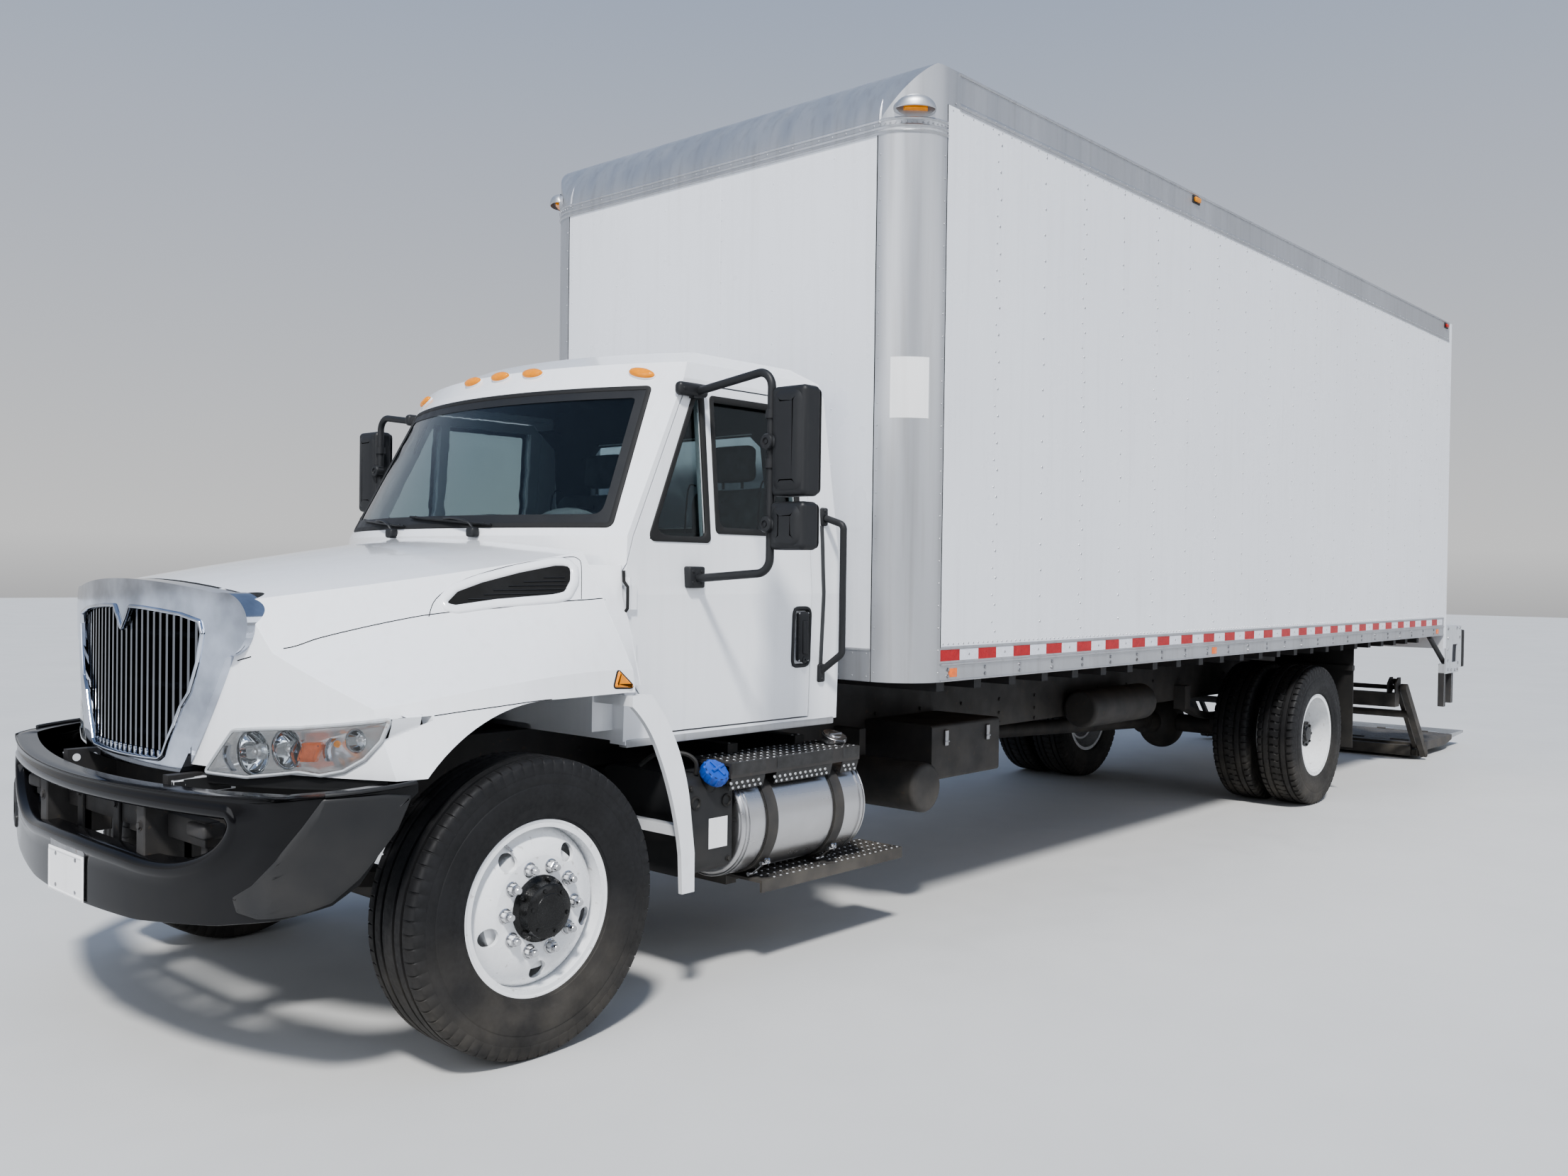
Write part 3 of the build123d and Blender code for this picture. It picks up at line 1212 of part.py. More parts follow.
def barrels(x, moving, radius, spare):
    """The barrels of one side of a hinge, on both sides of the truck."""
    whole = None
    for fixed_start, fixed_end, moving_start, moving_end in BARREL_SPANS:
        y0, y1 = (moving_start, moving_end) if moving else (fixed_start, fixed_end)
        piece = cross_pin(x, HINGE_Z, y0 - spare, y1 + spare, radius)
        whole = piece if whole is None else whole + piece
    return both_sides(whole)


def hinge_pins(x, radius):
    pins = None
    for fixed_start, fixed_end, moving_start, moving_end in BARREL_SPANS:
        piece = cross_pin(x, HINGE_Z, fixed_start, moving_end, radius)
        pins = piece if pins is None else pins + piece
    return both_sides(pins)


def hinged(plate, x, moving):
    """A plate with its own barrels on it and room for the barrels of the other side."""
    room = barrels(x, not moving, HINGE_BARREL_RADIUS + 2, 2)
    own = barrels(x, moving, HINGE_BARREL_RADIUS, 0)
    shape = (plate - room) + own
    if moving:
        return shape - hinge_pins(x, HINGE_PIN_RADIUS + PIN_GAP)
    return shape + hinge_pins(x, HINGE_PIN_RADIUS)


def platform_carrier():
    outer_face = OUTER_EAR_Y + EAR_THICKNESS
    rear = FOLD_HINGE_X + HINGE_ROOM
    half = INNER_EAR_Y + EAR_THICKNESS
    heel = block(rear, HEEL_FRONT_X, -half, half, HEEL_BOTTOM, HEEL_TOP)
    heel += block(rear, SILL_FRONT_X, -half, half, HEEL_TOP - 1, PLATFORM_TOP_Z)
    bar_top = LINK_END_Z - LINK_RADIUS - 18
    low_bar = both_sides(block(rear, LINK_END_X, INNER_EAR_Y, outer_face, HEEL_BOTTOM, bar_top))
    ears = two_ears(
        [
            (rear, HEEL_BOTTOM),
            (HEEL_FRONT_X, HEEL_BOTTOM),
            (HEEL_FRONT_X, ARM_END_Z + 30),
            (LINK_END_X + 18, LINK_END_Z + 18),
            (LINK_END_X - 18, LINK_END_Z + 18),
            (rear, HEEL_TOP),
        ]
    )
    pin = cross_pin(ARM_END_X, ARM_END_Z, OUTER_EAR_Y, LIFT_ARM_Y + LIFT_ARM_WIDTH / 2 + 6, SHAFT_RADIUS)
    link_pin = cross_pin(LINK_END_X, LINK_END_Z, INNER_EAR_Y, outer_face, LINK_PIN_RADIUS)
    lugs = None
    for fixed_start, fixed_end, moving_start, moving_end in BARREL_SPANS:
        lug = block(FOLD_HINGE_X, FOLD_HINGE_X + 34, fixed_start, fixed_end, HEEL_TOP - 1, PLATFORM_TOP_Z)
        lugs = lug if lugs is None else lugs + lug
    return hinged(heel + low_bar + both_sides(ears + pin + link_pin + lugs), FOLD_HINGE_X, False)


def platform():
    front = FOLD_HINGE_X - HINGE_ROOM
    rear = FLIP_HINGE_X + HINGE_ROOM
    low = PLATFORM_TOP_Z - PLATFORM_DEPTH
    half = PLATFORM_HALF_WIDTH
    side = [
        (front, low),
        (front, PLATFORM_TOP_Z),
        (rear, PLATFORM_TOP_Z),
        (rear, PLATFORM_TOP_Z - FLIP_ROOT_DEPTH),
        (rear + 200, low),
    ]
    plate = block(rear, front, -half, half, PLATFORM_TOP_Z - DECK_THICKNESS, PLATFORM_TOP_Z)
    pitch = (2 * half - RIB_WIDTH) / (RIB_COUNT - 1)
    for i in range(RIB_COUNT):
        y = -half + i * pitch
        plate += side_prism(side, y, y + RIB_WIDTH)
    plate += block(front - 60, front, -half, half, low, PLATFORM_TOP_Z)
    plate += block(rear, rear + 30, -half, half, PLATFORM_TOP_Z - FLIP_ROOT_DEPTH, PLATFORM_TOP_Z)
    return hinged(hinged(plate, FOLD_HINGE_X, True), FLIP_HINGE_X, False)


def flip_plate():
    front = FLIP_HINGE_X - HINGE_ROOM
    profile = [
        (front, PLATFORM_TOP_Z - FLIP_ROOT_DEPTH),
        (front, PLATFORM_TOP_Z),
        (PLATFORM_REAR_X, PLATFORM_TOP_Z),
        (PLATFORM_REAR_X, PLATFORM_TOP_Z - FLIP_TIP_DEPTH),
    ]
    return hinged(side_prism(profile, -FLIP_HALF_WIDTH, FLIP_HALF_WIDTH), FLIP_HINGE_X, True)


def cylinder_point(distance):
    """Point at a distance from the cylinder's base towards its eye."""
    share = distance / CYLINDER_LENGTH
    x = CYLINDER_BASE_X + (CYLINDER_EYE_X - CYLINDER_BASE_X) * share
    z = CYLINDER_BASE_Z + (CYLINDER_EYE_Z - CYLINDER_BASE_Z) * share
    return x, CYLINDER_Y, z


def lift_cylinders():
    barrel = rod(cylinder_point(CYLINDER_BARREL_START), cylinder_point(CYLINDER_BARREL_END), CYLINDER_RADIUS)
    room = CYLINDER_BARREL_START + 12
    mouth = cylinder_point(CYLINDER_BARREL_END + 5)
    barrel -= rod(cylinder_point(room), mouth, CYLINDER_ROD_RADIUS + PIN_GAP)
    eye = cross_pin(CYLINDER_BASE_X, CYLINDER_BASE_Z, CYLINDER_Y - 14, CYLINDER_Y + 14, CYLINDER_EYE_RADIUS)
    neck = rod(cylinder_point(18), cylinder_point(CYLINDER_BARREL_START + 2), 12)
    bore_radius = CYLINDER_PIN_RADIUS + PIN_GAP
    bore = cross_pin(CYLINDER_BASE_X, CYLINDER_BASE_Z, CYLINDER_Y - 30, CYLINDER_Y + 30, bore_radius)
    return both_sides(barrel + neck + eye - bore)


def lift_rods():
    bar = rod(cylinder_point(CYLINDER_ROD_START), cylinder_point(CYLINDER_LENGTH - 18), CYLINDER_ROD_RADIUS)
    eye = cross_pin(CYLINDER_EYE_X, CYLINDER_EYE_Z, CYLINDER_Y - 20, CYLINDER_Y + 20, CYLINDER_EYE_RADIUS)
    pin = cross_pin(CYLINDER_EYE_X, CYLINDER_EYE_Z, CYLINDER_Y, CYLINDER_Y + 26, CYLINDER_PIN_RADIUS)
    return both_sides(bar + eye + pin)


def bed_extension():
    x0 = BODY_REAR_X
    x1 = EXTENSION_REAR_X
    y1 = EXTENSION_PLATE_Y
    plate_y = y1 - DECK_PLATE
    side = [(x0, FLOOR_TOP), (x0, 815), (x0 - 390, 815), (x1, FLOOR_TOP)]
    slot = [(x0 - 185, 910), (x0 - 335, 910), (x0 - 350, 1070), (x0 - 200, 1070)]
    plate = side_prism(side, plate_y, y1) - side_prism(slot, plate_y - 5, y1 + 5)
    deck = block(x1, x0, -plate_y - 1, plate_y + 1, FLOOR_TOP - DECK_PLATE, FLOOR_TOP)
    notch_front = ARM_END_X - 16
    deck -= both_sides(block(x1 - 1, notch_front, INNER_EAR_Y - 18, LIFT_ARM_Y + 40, 1200, FLOOR_TOP + 5))
    rib = block(x0 - 220, x0 - 160, -plate_y - 1, plate_y + 1, 1150, FLOOR_TOP - DECK_PLATE + 1)
    legs = block(x0 - 45, x0, plate_y - 50, plate_y + 1, 524, 900)
    legs += block(x0 - 265, x0 - 220, plate_y - 50, plate_y + 1, 545, 900)
    face = [(x0 - 395, 860), (x1 + 5, 1190), (x1 - 85, 1190), (x0 - 480, 860)]
    bumper = side_prism(face, y1 - 100, y1)
    return both_sides(plate + legs + bumper) + deck + rib


# Write every piece
def moved_to_middle(shape):
    return Pos(-MIDDLE_X, 0, 0) * shape


def build():
    cab_body = cab_outer()
    cab_room = cab_inner(CAB_WALL)
    hood_body = hood_form(0)
    hood_room = hood_form(HOOD_WALL)
    outer = body_form(0, 0)
    inner = body_form(WALL_THICKNESS, ROOF_THICKNESS)
    left = FRONT_WHEEL_Y
    knuckle = knuckle_left()
    rim_front = front_rim()
    rim_rear = rear_rims()
    tyre_front = tyre(FRONT_AXLE_X, left)
    tyres_rear = tyre(REAR_AXLE_X, REAR_OUTER_Y) + tyre(REAR_AXLE_X, REAR_OUTER_Y - TWIN_SPACING)
    door = door_left(cab_body, cab_room)
    door_pane = door_glass_left()
    mirror_arm = mirror_left(cab_body)
    return {
        "frame_rails": frame_rails(),
        "front_axle": front_axle(),
        "rear_axle": rear_axle(),
        "engine_block": engine_block(),
        "exhaust": exhaust(),
        "fuel_tank": fuel_tank(),
        "cab_steps": cab_steps(),
        "def_tank": def_tank(),
        "battery_box": battery_box(),
        "mud_flaps": mud_flaps(),
        "knuckle_left": knuckle,
        "knuckle_right": right_of(knuckle),
        "front_rim_left": rim_front,
        "front_rim_right": right_of(rim_front),
        "front_tyre_left": tyre_front,
        "front_tyre_right": right_of(tyre_front),
        "rear_rims_left": rim_rear,
        "rear_rims_right": right_of(rim_rear),
        "rear_tyres_left": tyres_rear,
        "rear_tyres_right": right_of(tyres_rear),
        "cab_shell": cab_shell(cab_body, cab_room),
        "cab_glass": cab_glass(cab_body),
        "door_left": door,
        "door_right": right_of(door),
        "door_glass_left": door_pane,
        "door_glass_right": right_of(door_pane),
        "mirror_left": mirror_arm,
        "mirror_right": right_of(mirror_arm),
        "grab_handles": grab_handles(cab_body),
        "seats": seats(),
        "dashboard": dashboard(),
        "splash_panels": splash_panels(),
        "hood_shell": hood_shell(hood_body, hood_room),
        "grille_surround": grille_surround(),
        "grille_bars": grille_bars(),
        "headlamps": headlamps(),
        "front_bumper": front_bumper(),
        "body_frame": body_frame(outer, inner),
        "body_panels": body_panels(outer, inner),
        "load_floor": load_floor(),
        "floor_sills": floor_sills(),
        "rear_frame": rear_frame(),
        "rollup_door": rollup_door(),
        "marker_lamps": marker_lamps() - cab_body,
        "lift_frame": lift_frame(),
        "bed_extension": bed_extension(),
        "lift_arms": lift_arms(),
        "lift_links": lift_links(),
        "platform_carrier": platform_carrier(),
        "platform": platform(),
        "flip_plate": flip_plate(),
        "lift_cylinders": lift_cylinders(),
        "lift_rods": lift_rods(),
    }


if __name__ == "__main__":
    os.makedirs("parts", exist_ok=True)
    for name, shape in build().items():
        export_step(moved_to_middle(shape), f"parts/{name}.step")
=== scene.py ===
import math
import random

import bmesh
import bpy
from mathutils import Matrix, Vector
from mathutils.bvhtree import BVHTree


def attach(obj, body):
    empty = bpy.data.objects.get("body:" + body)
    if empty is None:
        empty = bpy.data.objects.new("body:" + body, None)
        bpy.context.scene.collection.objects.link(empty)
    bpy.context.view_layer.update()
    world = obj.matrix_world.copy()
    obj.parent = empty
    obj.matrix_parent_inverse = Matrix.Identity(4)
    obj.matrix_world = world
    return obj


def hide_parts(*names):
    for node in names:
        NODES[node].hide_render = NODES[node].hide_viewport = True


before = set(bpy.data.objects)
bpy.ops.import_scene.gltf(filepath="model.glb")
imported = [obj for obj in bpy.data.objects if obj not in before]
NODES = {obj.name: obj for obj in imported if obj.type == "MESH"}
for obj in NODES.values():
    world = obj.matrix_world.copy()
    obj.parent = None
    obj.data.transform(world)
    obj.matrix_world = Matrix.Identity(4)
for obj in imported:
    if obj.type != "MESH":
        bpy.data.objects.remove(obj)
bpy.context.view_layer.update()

random.seed(7)

# Stations are millimetres along X from the front end of the load body's side walls, as in the part's source.
# Offsets that are added to points are metres.
MIDDLE_X = 3192.5
MM = 0.001


def at(x, y, z):
    return Vector(((x + MIDDLE_X) * MM, y * MM, z * MM))


def station(place):
    """Station in mm of a place in metres."""
    return place.x / MM - MIDDLE_X


# Materials
PAINTS = {}


def node(tree, kind, **sets):
    made = tree.nodes.new(kind)
    for key, value in sets.items():
        if hasattr(made, key):
            setattr(made, key, value)
        else:
            made.inputs[key.replace("_", " ")].default_value = value
    return made


def ramp(tree, source, low, high, low_value=0.0, high_value=1.0):
    made = node(tree, "ShaderNodeMapRange", From_Min=low, From_Max=high, To_Min=low_value, To_Max=high_value)
    tree.links.new(source, made.inputs["Value"])
    return made.outputs["Result"]


def noise(tree, coords, scale, detail=3.0, stretch=(1, 1, 1)):
    space = node(tree, "ShaderNodeMapping")
    space.inputs["Scale"].default_value = stretch
    tree.links.new(coords, space.inputs["Vector"])
    made = node(tree, "ShaderNodeTexNoise", Scale=scale, Detail=detail)
    tree.links.new(space.outputs["Vector"], made.inputs["Vector"])
    return made.outputs["Fac"]


def times(tree, a, b):
    made = node(tree, "ShaderNodeMath", operation="MULTIPLY")
    tree.links.new(a, made.inputs[0])
    if isinstance(b, (int, float)):
        made.inputs[1].default_value = b
    else:
        tree.links.new(b, made.inputs[1])
    return made.outputs[0]


def blended(tree, share, a, b):
    made = node(tree, "ShaderNodeMix", data_type="RGBA")
    tree.links.new(share, made.inputs["Factor"])
    for slot_name, value in (("A", a), ("B", b)):
        socket = [s for s in made.inputs if s.name == slot_name and s.type == "RGBA"][0]
        if isinstance(value, tuple):
            socket.default_value = value + (1.0,)
        else:
            tree.links.new(value, socket)
    return [s for s in made.outputs if s.type == "RGBA"][0]


def paint(
    name, color, rough, metal=0.0, coat=0.0, tone=0.05, tone_scale=1.6, streak=0.0, dust=0.0,
    dust_top=1.2, dust_color=(0.20, 0.18, 0.15), grain=400.0, bump=0.06, along=(1, 1, 1),
    chips=0.0, chip_color=(0.10, 0.09, 0.08), through=0.0, ior=1.45, glow=0.0, relief=None,
):
    """Paint, metal, plastic or glass with mottling, rain streaks, road dust, chips and a fine grain."""
    made = bpy.data.materials.new(name)
    made.use_nodes = True
    tree = made.node_tree
    shader = tree.nodes["Principled BSDF"]
    coords = tree.nodes.new("ShaderNodeTexCoord").outputs["Object"]
    dark = tuple(c * (1 - tone) for c in color)
    light = tuple(min(1.0, c * (1 + tone * 0.6)) for c in color)
    shade = ramp(tree, noise(tree, coords, tone_scale, 5.0, along), 0.3, 0.7)
    look = blended(tree, shade, dark, light)
    roughness = ramp(tree, noise(tree, coords, tone_scale * 6, 4.0, along), 0.25, 0.75, rough * 0.82, rough * 1.2)
    if streak:
        rain = ramp(tree, noise(tree, coords, 3.0, 4.0, (9, 9, 0.35)), 0.50, 0.78, 0.0, streak)
        look = blended(tree, rain, look, dust_color)
    if dust:
        height = node(tree, "ShaderNodeSeparateXYZ")
        tree.links.new(coords, height.inputs[0])
        low = ramp(tree, height.outputs["Z"], 0.15, dust_top, 1.0, 0.0)
        film = times(tree, low, ramp(tree, noise(tree, coords, 7.0, 6.0), 0.32, 0.66, 0.25 * dust, dust))
        look = blended(tree, film, look, dust_color)
        more = node(tree, "ShaderNodeMath", operation="ADD", use_clamp=True)
        tree.links.new(roughness, more.inputs[0])
        tree.links.new(times(tree, film, 0.45), more.inputs[1])
        roughness = more.outputs[0]
    if chips:
        spots = ramp(tree, noise(tree, coords, 38.0, 6.0), 0.66, 0.69, 0.0, chips)
        look = blended(tree, spots, look, chip_color)
    tree.links.new(look, shader.inputs["Base Color"])
    tree.links.new(roughness, shader.inputs["Roughness"])
    shader.inputs["Metallic"].default_value = metal
    shader.inputs["Coat Weight"].default_value = coat
    shader.inputs["Coat Roughness"].default_value = 0.06
    shader.inputs["IOR"].default_value = ior
    shader.inputs["Transmission Weight"].default_value = through
    if glow:
        shader.inputs["Emission Color"].default_value = color + (1.0,)
        shader.inputs["Emission Strength"].default_value = glow
    lift = node(tree, "ShaderNodeBump", Strength=bump, Distance=0.002)
    if relief == "weave":
        checks = node(tree, "ShaderNodeTexVoronoi", Scale=grain)
        tree.links.new(coords, checks.inputs["Vector"])
        tree.links.new(checks.outputs["Distance"], lift.inputs["Height"])
    else:
        tree.links.new(noise(tree, coords, grain, 2.0, along), lift.inputs["Height"])
    tree.links.new(lift.outputs["Normal"], shader.inputs["Normal"])
    PAINTS[name] = made
    return made


BRUSH_X = (0.06, 1, 1)
BRUSH_Z = (1, 1, 0.05)
paint("cab_white", (0.87, 0.885, 0.91), 0.16, coat=0.7, tone=0.015, streak=0.05, dust=0.30, dust_top=1.15, bump=0.03,
    grain=260)
paint("body_white", (0.80, 0.82, 0.86), 0.30, coat=0.2, tone=0.03, tone_scale=0.7, streak=0.12, dust=0.22,
    dust_top=1.8, grain=9, bump=0.20, dust_color=(0.42, 0.41, 0.40))
paint("body_aluminium", (0.55, 0.56, 0.58), 0.42, metal=0.85, tone=0.10, streak=0.22, along=BRUSH_Z, grain=600,
    bump=0.08, dust=0.35, dust_top=1.6)
paint("frame_black", (0.028, 0.028, 0.030), 0.55, tone=0.3, dust=0.55, dust_top=1.1, bump=0.15, grain=120, chips=0.25,
    chip_color=(0.12, 0.08, 0.05))
paint("black_plastic", (0.022, 0.023, 0.025), 0.48, tone=0.15, dust=0.18, dust_top=1.0, bump=0.12, grain=900)
paint("grille_chrome", (0.60, 0.64, 0.72), 0.07, metal=1.0, tone=0.50, tone_scale=4.5, dust=0.06, bump=0.02, grain=12)
paint("dark_chrome", (0.30, 0.31, 0.33), 0.16, metal=1.0, tone=0.12, bump=0.02, grain=120)
paint("tank_aluminium", (0.62, 0.62, 0.63), 0.26, metal=0.95, tone=0.12, tone_scale=3, along=BRUSH_X, dust=0.35,
    dust_top=0.9, bump=0.05, grain=500)
paint("bare_steel", (0.42, 0.42, 0.43), 0.33, metal=1.0, tone=0.25, tone_scale=14, bump=0.08, grain=200, chips=0.5,
    chip_color=(0.22, 0.12, 0.07))
paint("gate_steel", (0.075, 0.075, 0.078), 0.50, metal=0.35, tone=0.25, dust=0.5, dust_top=0.9, bump=0.18, grain=130,
    chips=0.5, chip_color=(0.17, 0.10, 0.06))
paint("gate_aluminium", (0.58, 0.59, 0.60), 0.36, metal=0.9, tone=0.16, tone_scale=5, along=(1, 0.08, 1), dust=0.2,
    bump=0.1, grain=300, chips=0.25)
paint("gate_white", (0.50, 0.52, 0.54), 0.45, tone=0.10, streak=0.35, bump=0.1, grain=140, chips=0.45,
    chip_color=(0.20, 0.14, 0.10))
paint("wheel_white", (0.82, 0.83, 0.84), 0.28, coat=0.25, tone=0.05, tone_scale=7, dust=0.0, bump=0.05, grain=150,
    chips=0.35, chip_color=(0.26, 0.22, 0.18))
paint("tyre", (0.013, 0.013, 0.014), 0.62, tone=0.35, tone_scale=9, bump=0.14, grain=220, dust=0.30, dust_top=0.55)
paint("black_rubber", (0.020, 0.020, 0.020), 0.62, tone=0.2, bump=0.10, grain=300, dust=0.2)
paint("window_glass", (0.52, 0.60, 0.61), 0.015, through=1.0, tone=0.01, bump=0.0, ior=1.45)
paint("lamp_glass", (0.96, 0.97, 0.98), 0.02, through=1.0, tone=0.01, bump=0.0)
paint("amber_lens", (0.95, 0.36, 0.03), 0.12, through=0.35, tone=0.10, tone_scale=60, bump=0.25, grain=180, glow=0.10)
paint("red_lens", (0.62, 0.03, 0.02), 0.14, through=0.30, tone=0.10, tone_scale=60, bump=0.25, grain=180, glow=0.06)
# Orange reflectors on the rails and in the headlamp with a faint glow: painted light, since reflectors give none.
paint("orange_reflector_painted_glow", (0.85, 0.20, 0.05), 0.20, through=0.1, tone=0.2, tone_scale=40, bump=0.3, grain=140, glow=0.10)
paint("tape_red", (0.42, 0.015, 0.018), 0.30, tone=0.2, tone_scale=30, bump=0.35, grain=260, relief="weave",
    dust=0.15, dust_top=1.5)
paint("tape_white", (0.70, 0.72, 0.78), 0.28, tone=0.06, tone_scale=30, bump=0.35, grain=260, relief="weave",
    dust=0.15, dust_top=1.5)
paint("cap_grey", (0.020, 0.021, 0.023), 0.42, tone=0.10, dust=0.2, dust_top=1.1, bump=0.12, grain=700)
# Silver of the headlamp's pan and bulbs with a faint glow: painted sheen.
paint("lamp_silver", (0.72, 0.73, 0.74), 0.24, metal=0.9, tone=0.06, bump=0.04, grain=90, glow=0.16)
paint("rivet_grey", (0.40, 0.41, 0.43), 0.40, metal=0.5, tone=0.10, tone_scale=30, bump=0.05)
paint("bumper_black", (0.006, 0.006, 0.007), 0.13, coat=0.0, ior=1.38, tone=0.2, dust=0.05, dust_top=0.8, bump=0.03,
    grain=300)
paint("perforated", (0.055, 0.056, 0.058), 0.45, metal=0.5, tone=0.3, tone_scale=20, dust=0.3, bump=0.15, grain=200)
paint("dot_silver", (0.62, 0.63, 0.64), 0.35, metal=0.8, tone=0.1, tone_scale=40, bump=0.05)
paint("sign_white", (0.85, 0.85, 0.85), 0.35, tone=0.04, streak=0.08, bump=0.03, grain=60)
paint("cap_blue", (0.03, 0.10, 0.45), 0.35, tone=0.15, bump=0.1, grain=200)
paint("grease_black", (0.012, 0.012, 0.012), 0.28, tone=0.4, tone_scale=20, bump=0.5, grain=60)
paint("nut_steel", (0.60, 0.60, 0.61), 0.22, metal=1.0, tone=0.25, tone_scale=30, bump=0.06, grain=200, chips=0.4,
    chip_color=(0.25, 0.14, 0.08))
paint("mirror_glass", (0.82, 0.85, 0.87), 0.02, metal=1.0, tone=0.02, bump=0.0)
paint("seat_fabric", (0.115, 0.118, 0.125), 0.85, tone=0.22, tone_scale=18, bump=0.5, grain=700, relief="weave")
paint("seat_piping", (0.045, 0.045, 0.048), 0.7, tone=0.2, bump=0.3, grain=500)
paint("dash_grey", (0.055, 0.057, 0.060), 0.62, tone=0.10, bump=0.25, grain=600)
# Pale grey over the whole dash mounds: painted highlight for the light along their edges.
paint("dash_painted_highlight", (0.34, 0.34, 0.34), 0.60, tone=0.08, bump=0.25, grain=600)
# Near-black: the dark joints of the seams, and painted shade on the sheets inside the hood intake and behind the
# grille.
paint("gap_black_and_painted_shade", (0.006, 0.006, 0.006), 0.8, tone=0.2, bump=0.1, grain=50)


def planks():
    """Hardwood floor: long boards across the width, each a little different."""
    made = paint("floor_wood", (0.34, 0.20, 0.10), 0.5, tone=0.30, tone_scale=6, along=(0.15, 2.5, 1), bump=0.25,
        grain=60)
    tree = made.node_tree
    shader = tree.nodes["Principled BSDF"]
    look = shader.inputs["Base Color"].links[0].from_socket
    coords = tree.nodes["Texture Coordinate"].outputs["Object"]
    boards = node(tree, "ShaderNodeTexWave", bands_direction="Y", wave_profile="SAW", Scale=1.1, Distortion=0.0)
    tree.links.new(coords, boards.inputs["Vector"])
    gap = ramp(tree, boards.outputs["Fac"], 0.0, 0.04, 1.0, 0.0)
    tree.links.new(blended(tree, gap, look, (0.05, 0.03, 0.02)), shader.inputs["Base Color"])


planks()

for made in NODES.values():
    for place in made.material_slots:
        base = place.material.name.split(".")[0]
        if base in PAINTS:
            place.material = PAINTS[base]


def repaint(node_name, paint_name):
    for place in NODES[node_name].material_slots:
        place.material = PAINTS[paint_name]


# Mesh tools
def finish_mesh(name, mesh, paint_name, body, sharp=35.0):
    """Makes the object of a bmesh whose points are already in place."""
    bmesh.ops.recalc_face_normals(mesh, faces=mesh.faces)
    limit = math.radians(sharp)
    for edge in mesh.edges:
        edge.smooth = len(edge.link_faces) == 2 and edge.calc_face_angle(0.0) < limit
    for face in mesh.faces:
        face.smooth = True
    data = bpy.data.meshes.new(name)
    mesh.to_mesh(data)
    mesh.free()
    made = bpy.data.objects.new(name, data)
    bpy.context.scene.collection.objects.link(made)
    data.materials.append(PAINTS[paint_name])
    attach(made, body)
    return made


def frame_of(normal):
    """Two unit directions square to a normal."""
    side = normal.cross(Vector((0, 0, 1)))
    if side.length < 0.2:
        side = normal.cross(Vector((0, 1, 0)))
    side.normalize()
    return side, normal.cross(side).normalized()


def around(count, start=0.0):
    """Angles of one turn."""
    return [start + 2 * math.pi * i / count for i in range(count)]


def bridge(mesh, rows, closed=False):
    """Quads between rows of matching points."""
    total = len(rows[0])
    for low, high in zip(rows, rows[1:]):
        for i in range(total if closed else total - 1):
            j = (i + 1) % total
            mesh.faces.new((low[i], low[j], high[j], high[i]))


def add_lathe(mesh, profile, centre, axis, count, start=0.0):
    """Turns (offset along the axis, radius) points in mm about an axis; closed where the radius is 0."""
    side, up = frame_of(axis)
    rings = []
    for offset, radius in profile:
        middle = centre + axis * (offset * MM)
        if radius <= 0:
            rings.append([mesh.verts.new(middle)])
            continue
        runs = [side * math.cos(a) + up * math.sin(a) for a in around(count, start)]
        rings.append([mesh.verts.new(middle + run * (radius * MM)) for run in runs])
    for low, high in zip(rings, rings[1:]):
        for i in range(count):
            j = (i + 1) % count
            corners = [low[i % len(low)], low[j % len(low)], high[j % len(high)], high[i % len(high)]]
            corners = list(dict.fromkeys(corners))
            if len(corners) > 2:
                mesh.faces.new(corners)


def add_dome(mesh, centre, normal, radius, height, count=8):
    add_lathe(mesh, ((-0.3, radius), (height * 0.62, radius * 0.78), (height, 0)), centre, normal, count)


def add_bolt(mesh, centre, normal, radius, height, washer=1.35):
    """Hexagon head turned at random, on a washer unless that is 0."""
    if washer:
        rim = radius * washer
        add_lathe(mesh, ((-0.5, rim), (height * 0.22, rim), (height * 0.22, radius * 0.9)), centre, normal, 14)
    head = ((0, radius), (height * 0.85, radius), (height, radius * 0.86), (height, 0))
    add_lathe(mesh, head, centre, normal, 6, random.random())


def add_box(mesh, low, high, bevel=0.0, steps=2):
    """Box between two corners in mm, with rounded edges."""
    before = set(mesh.verts)
    made = bmesh.ops.create_cube(mesh, size=1.0)["verts"]
    a, b = at(*low), at(*high)
    for v in made:
        v.co = Vector([(a[i] + b[i]) / 2 + v.co[i] * abs(b[i] - a[i]) for i in range(3)])
    if bevel:
        edges = list({e for v in made for e in v.link_edges})
        bmesh.ops.bevel(mesh, geom=edges, offset=bevel * MM, segments=steps, affect="EDGES", profile=0.5)
    return [v for v in mesh.verts if v not in before]


def add_tube(mesh, points, radius, count=10, closed=False, flat=1.0):
    """Round bar through points already in metres; flat scales one of its widths."""
    total = len(points)
    rings = []
    up = None
    for i in range(total):
        ahead = points[(i + 1) % total] if closed or i < total - 1 else points[i]
        behind = points[i - 1] if closed or i > 0 else points[i]
        run = (ahead - behind).normalized()
        up = up or frame_of(run)[0]
        up = (up - run * up.dot(run)).normalized()
        side = run.cross(up)
        spokes = [up * math.cos(a) + side * math.sin(a) * flat for a in around(count)]
        rings.append([mesh.verts.new(points[i] + spoke * (radius * MM)) for spoke in spokes])
    if not closed:
        mesh.faces.new(rings[0])
        mesh.faces.new(rings[-1])
    bridge(mesh, rings + rings[:1] if closed else rings, True)


def add_strip(mesh, lines, closed=False, cap=False):
    """Skin through several lines of points, each already in metres; cap closes the last line."""
    rows = [[mesh.verts.new(p) for p in line] for line in lines]
    bridge(mesh, rows, closed)
    if cap:
        mesh.faces.new(rows[-1])
    return rows


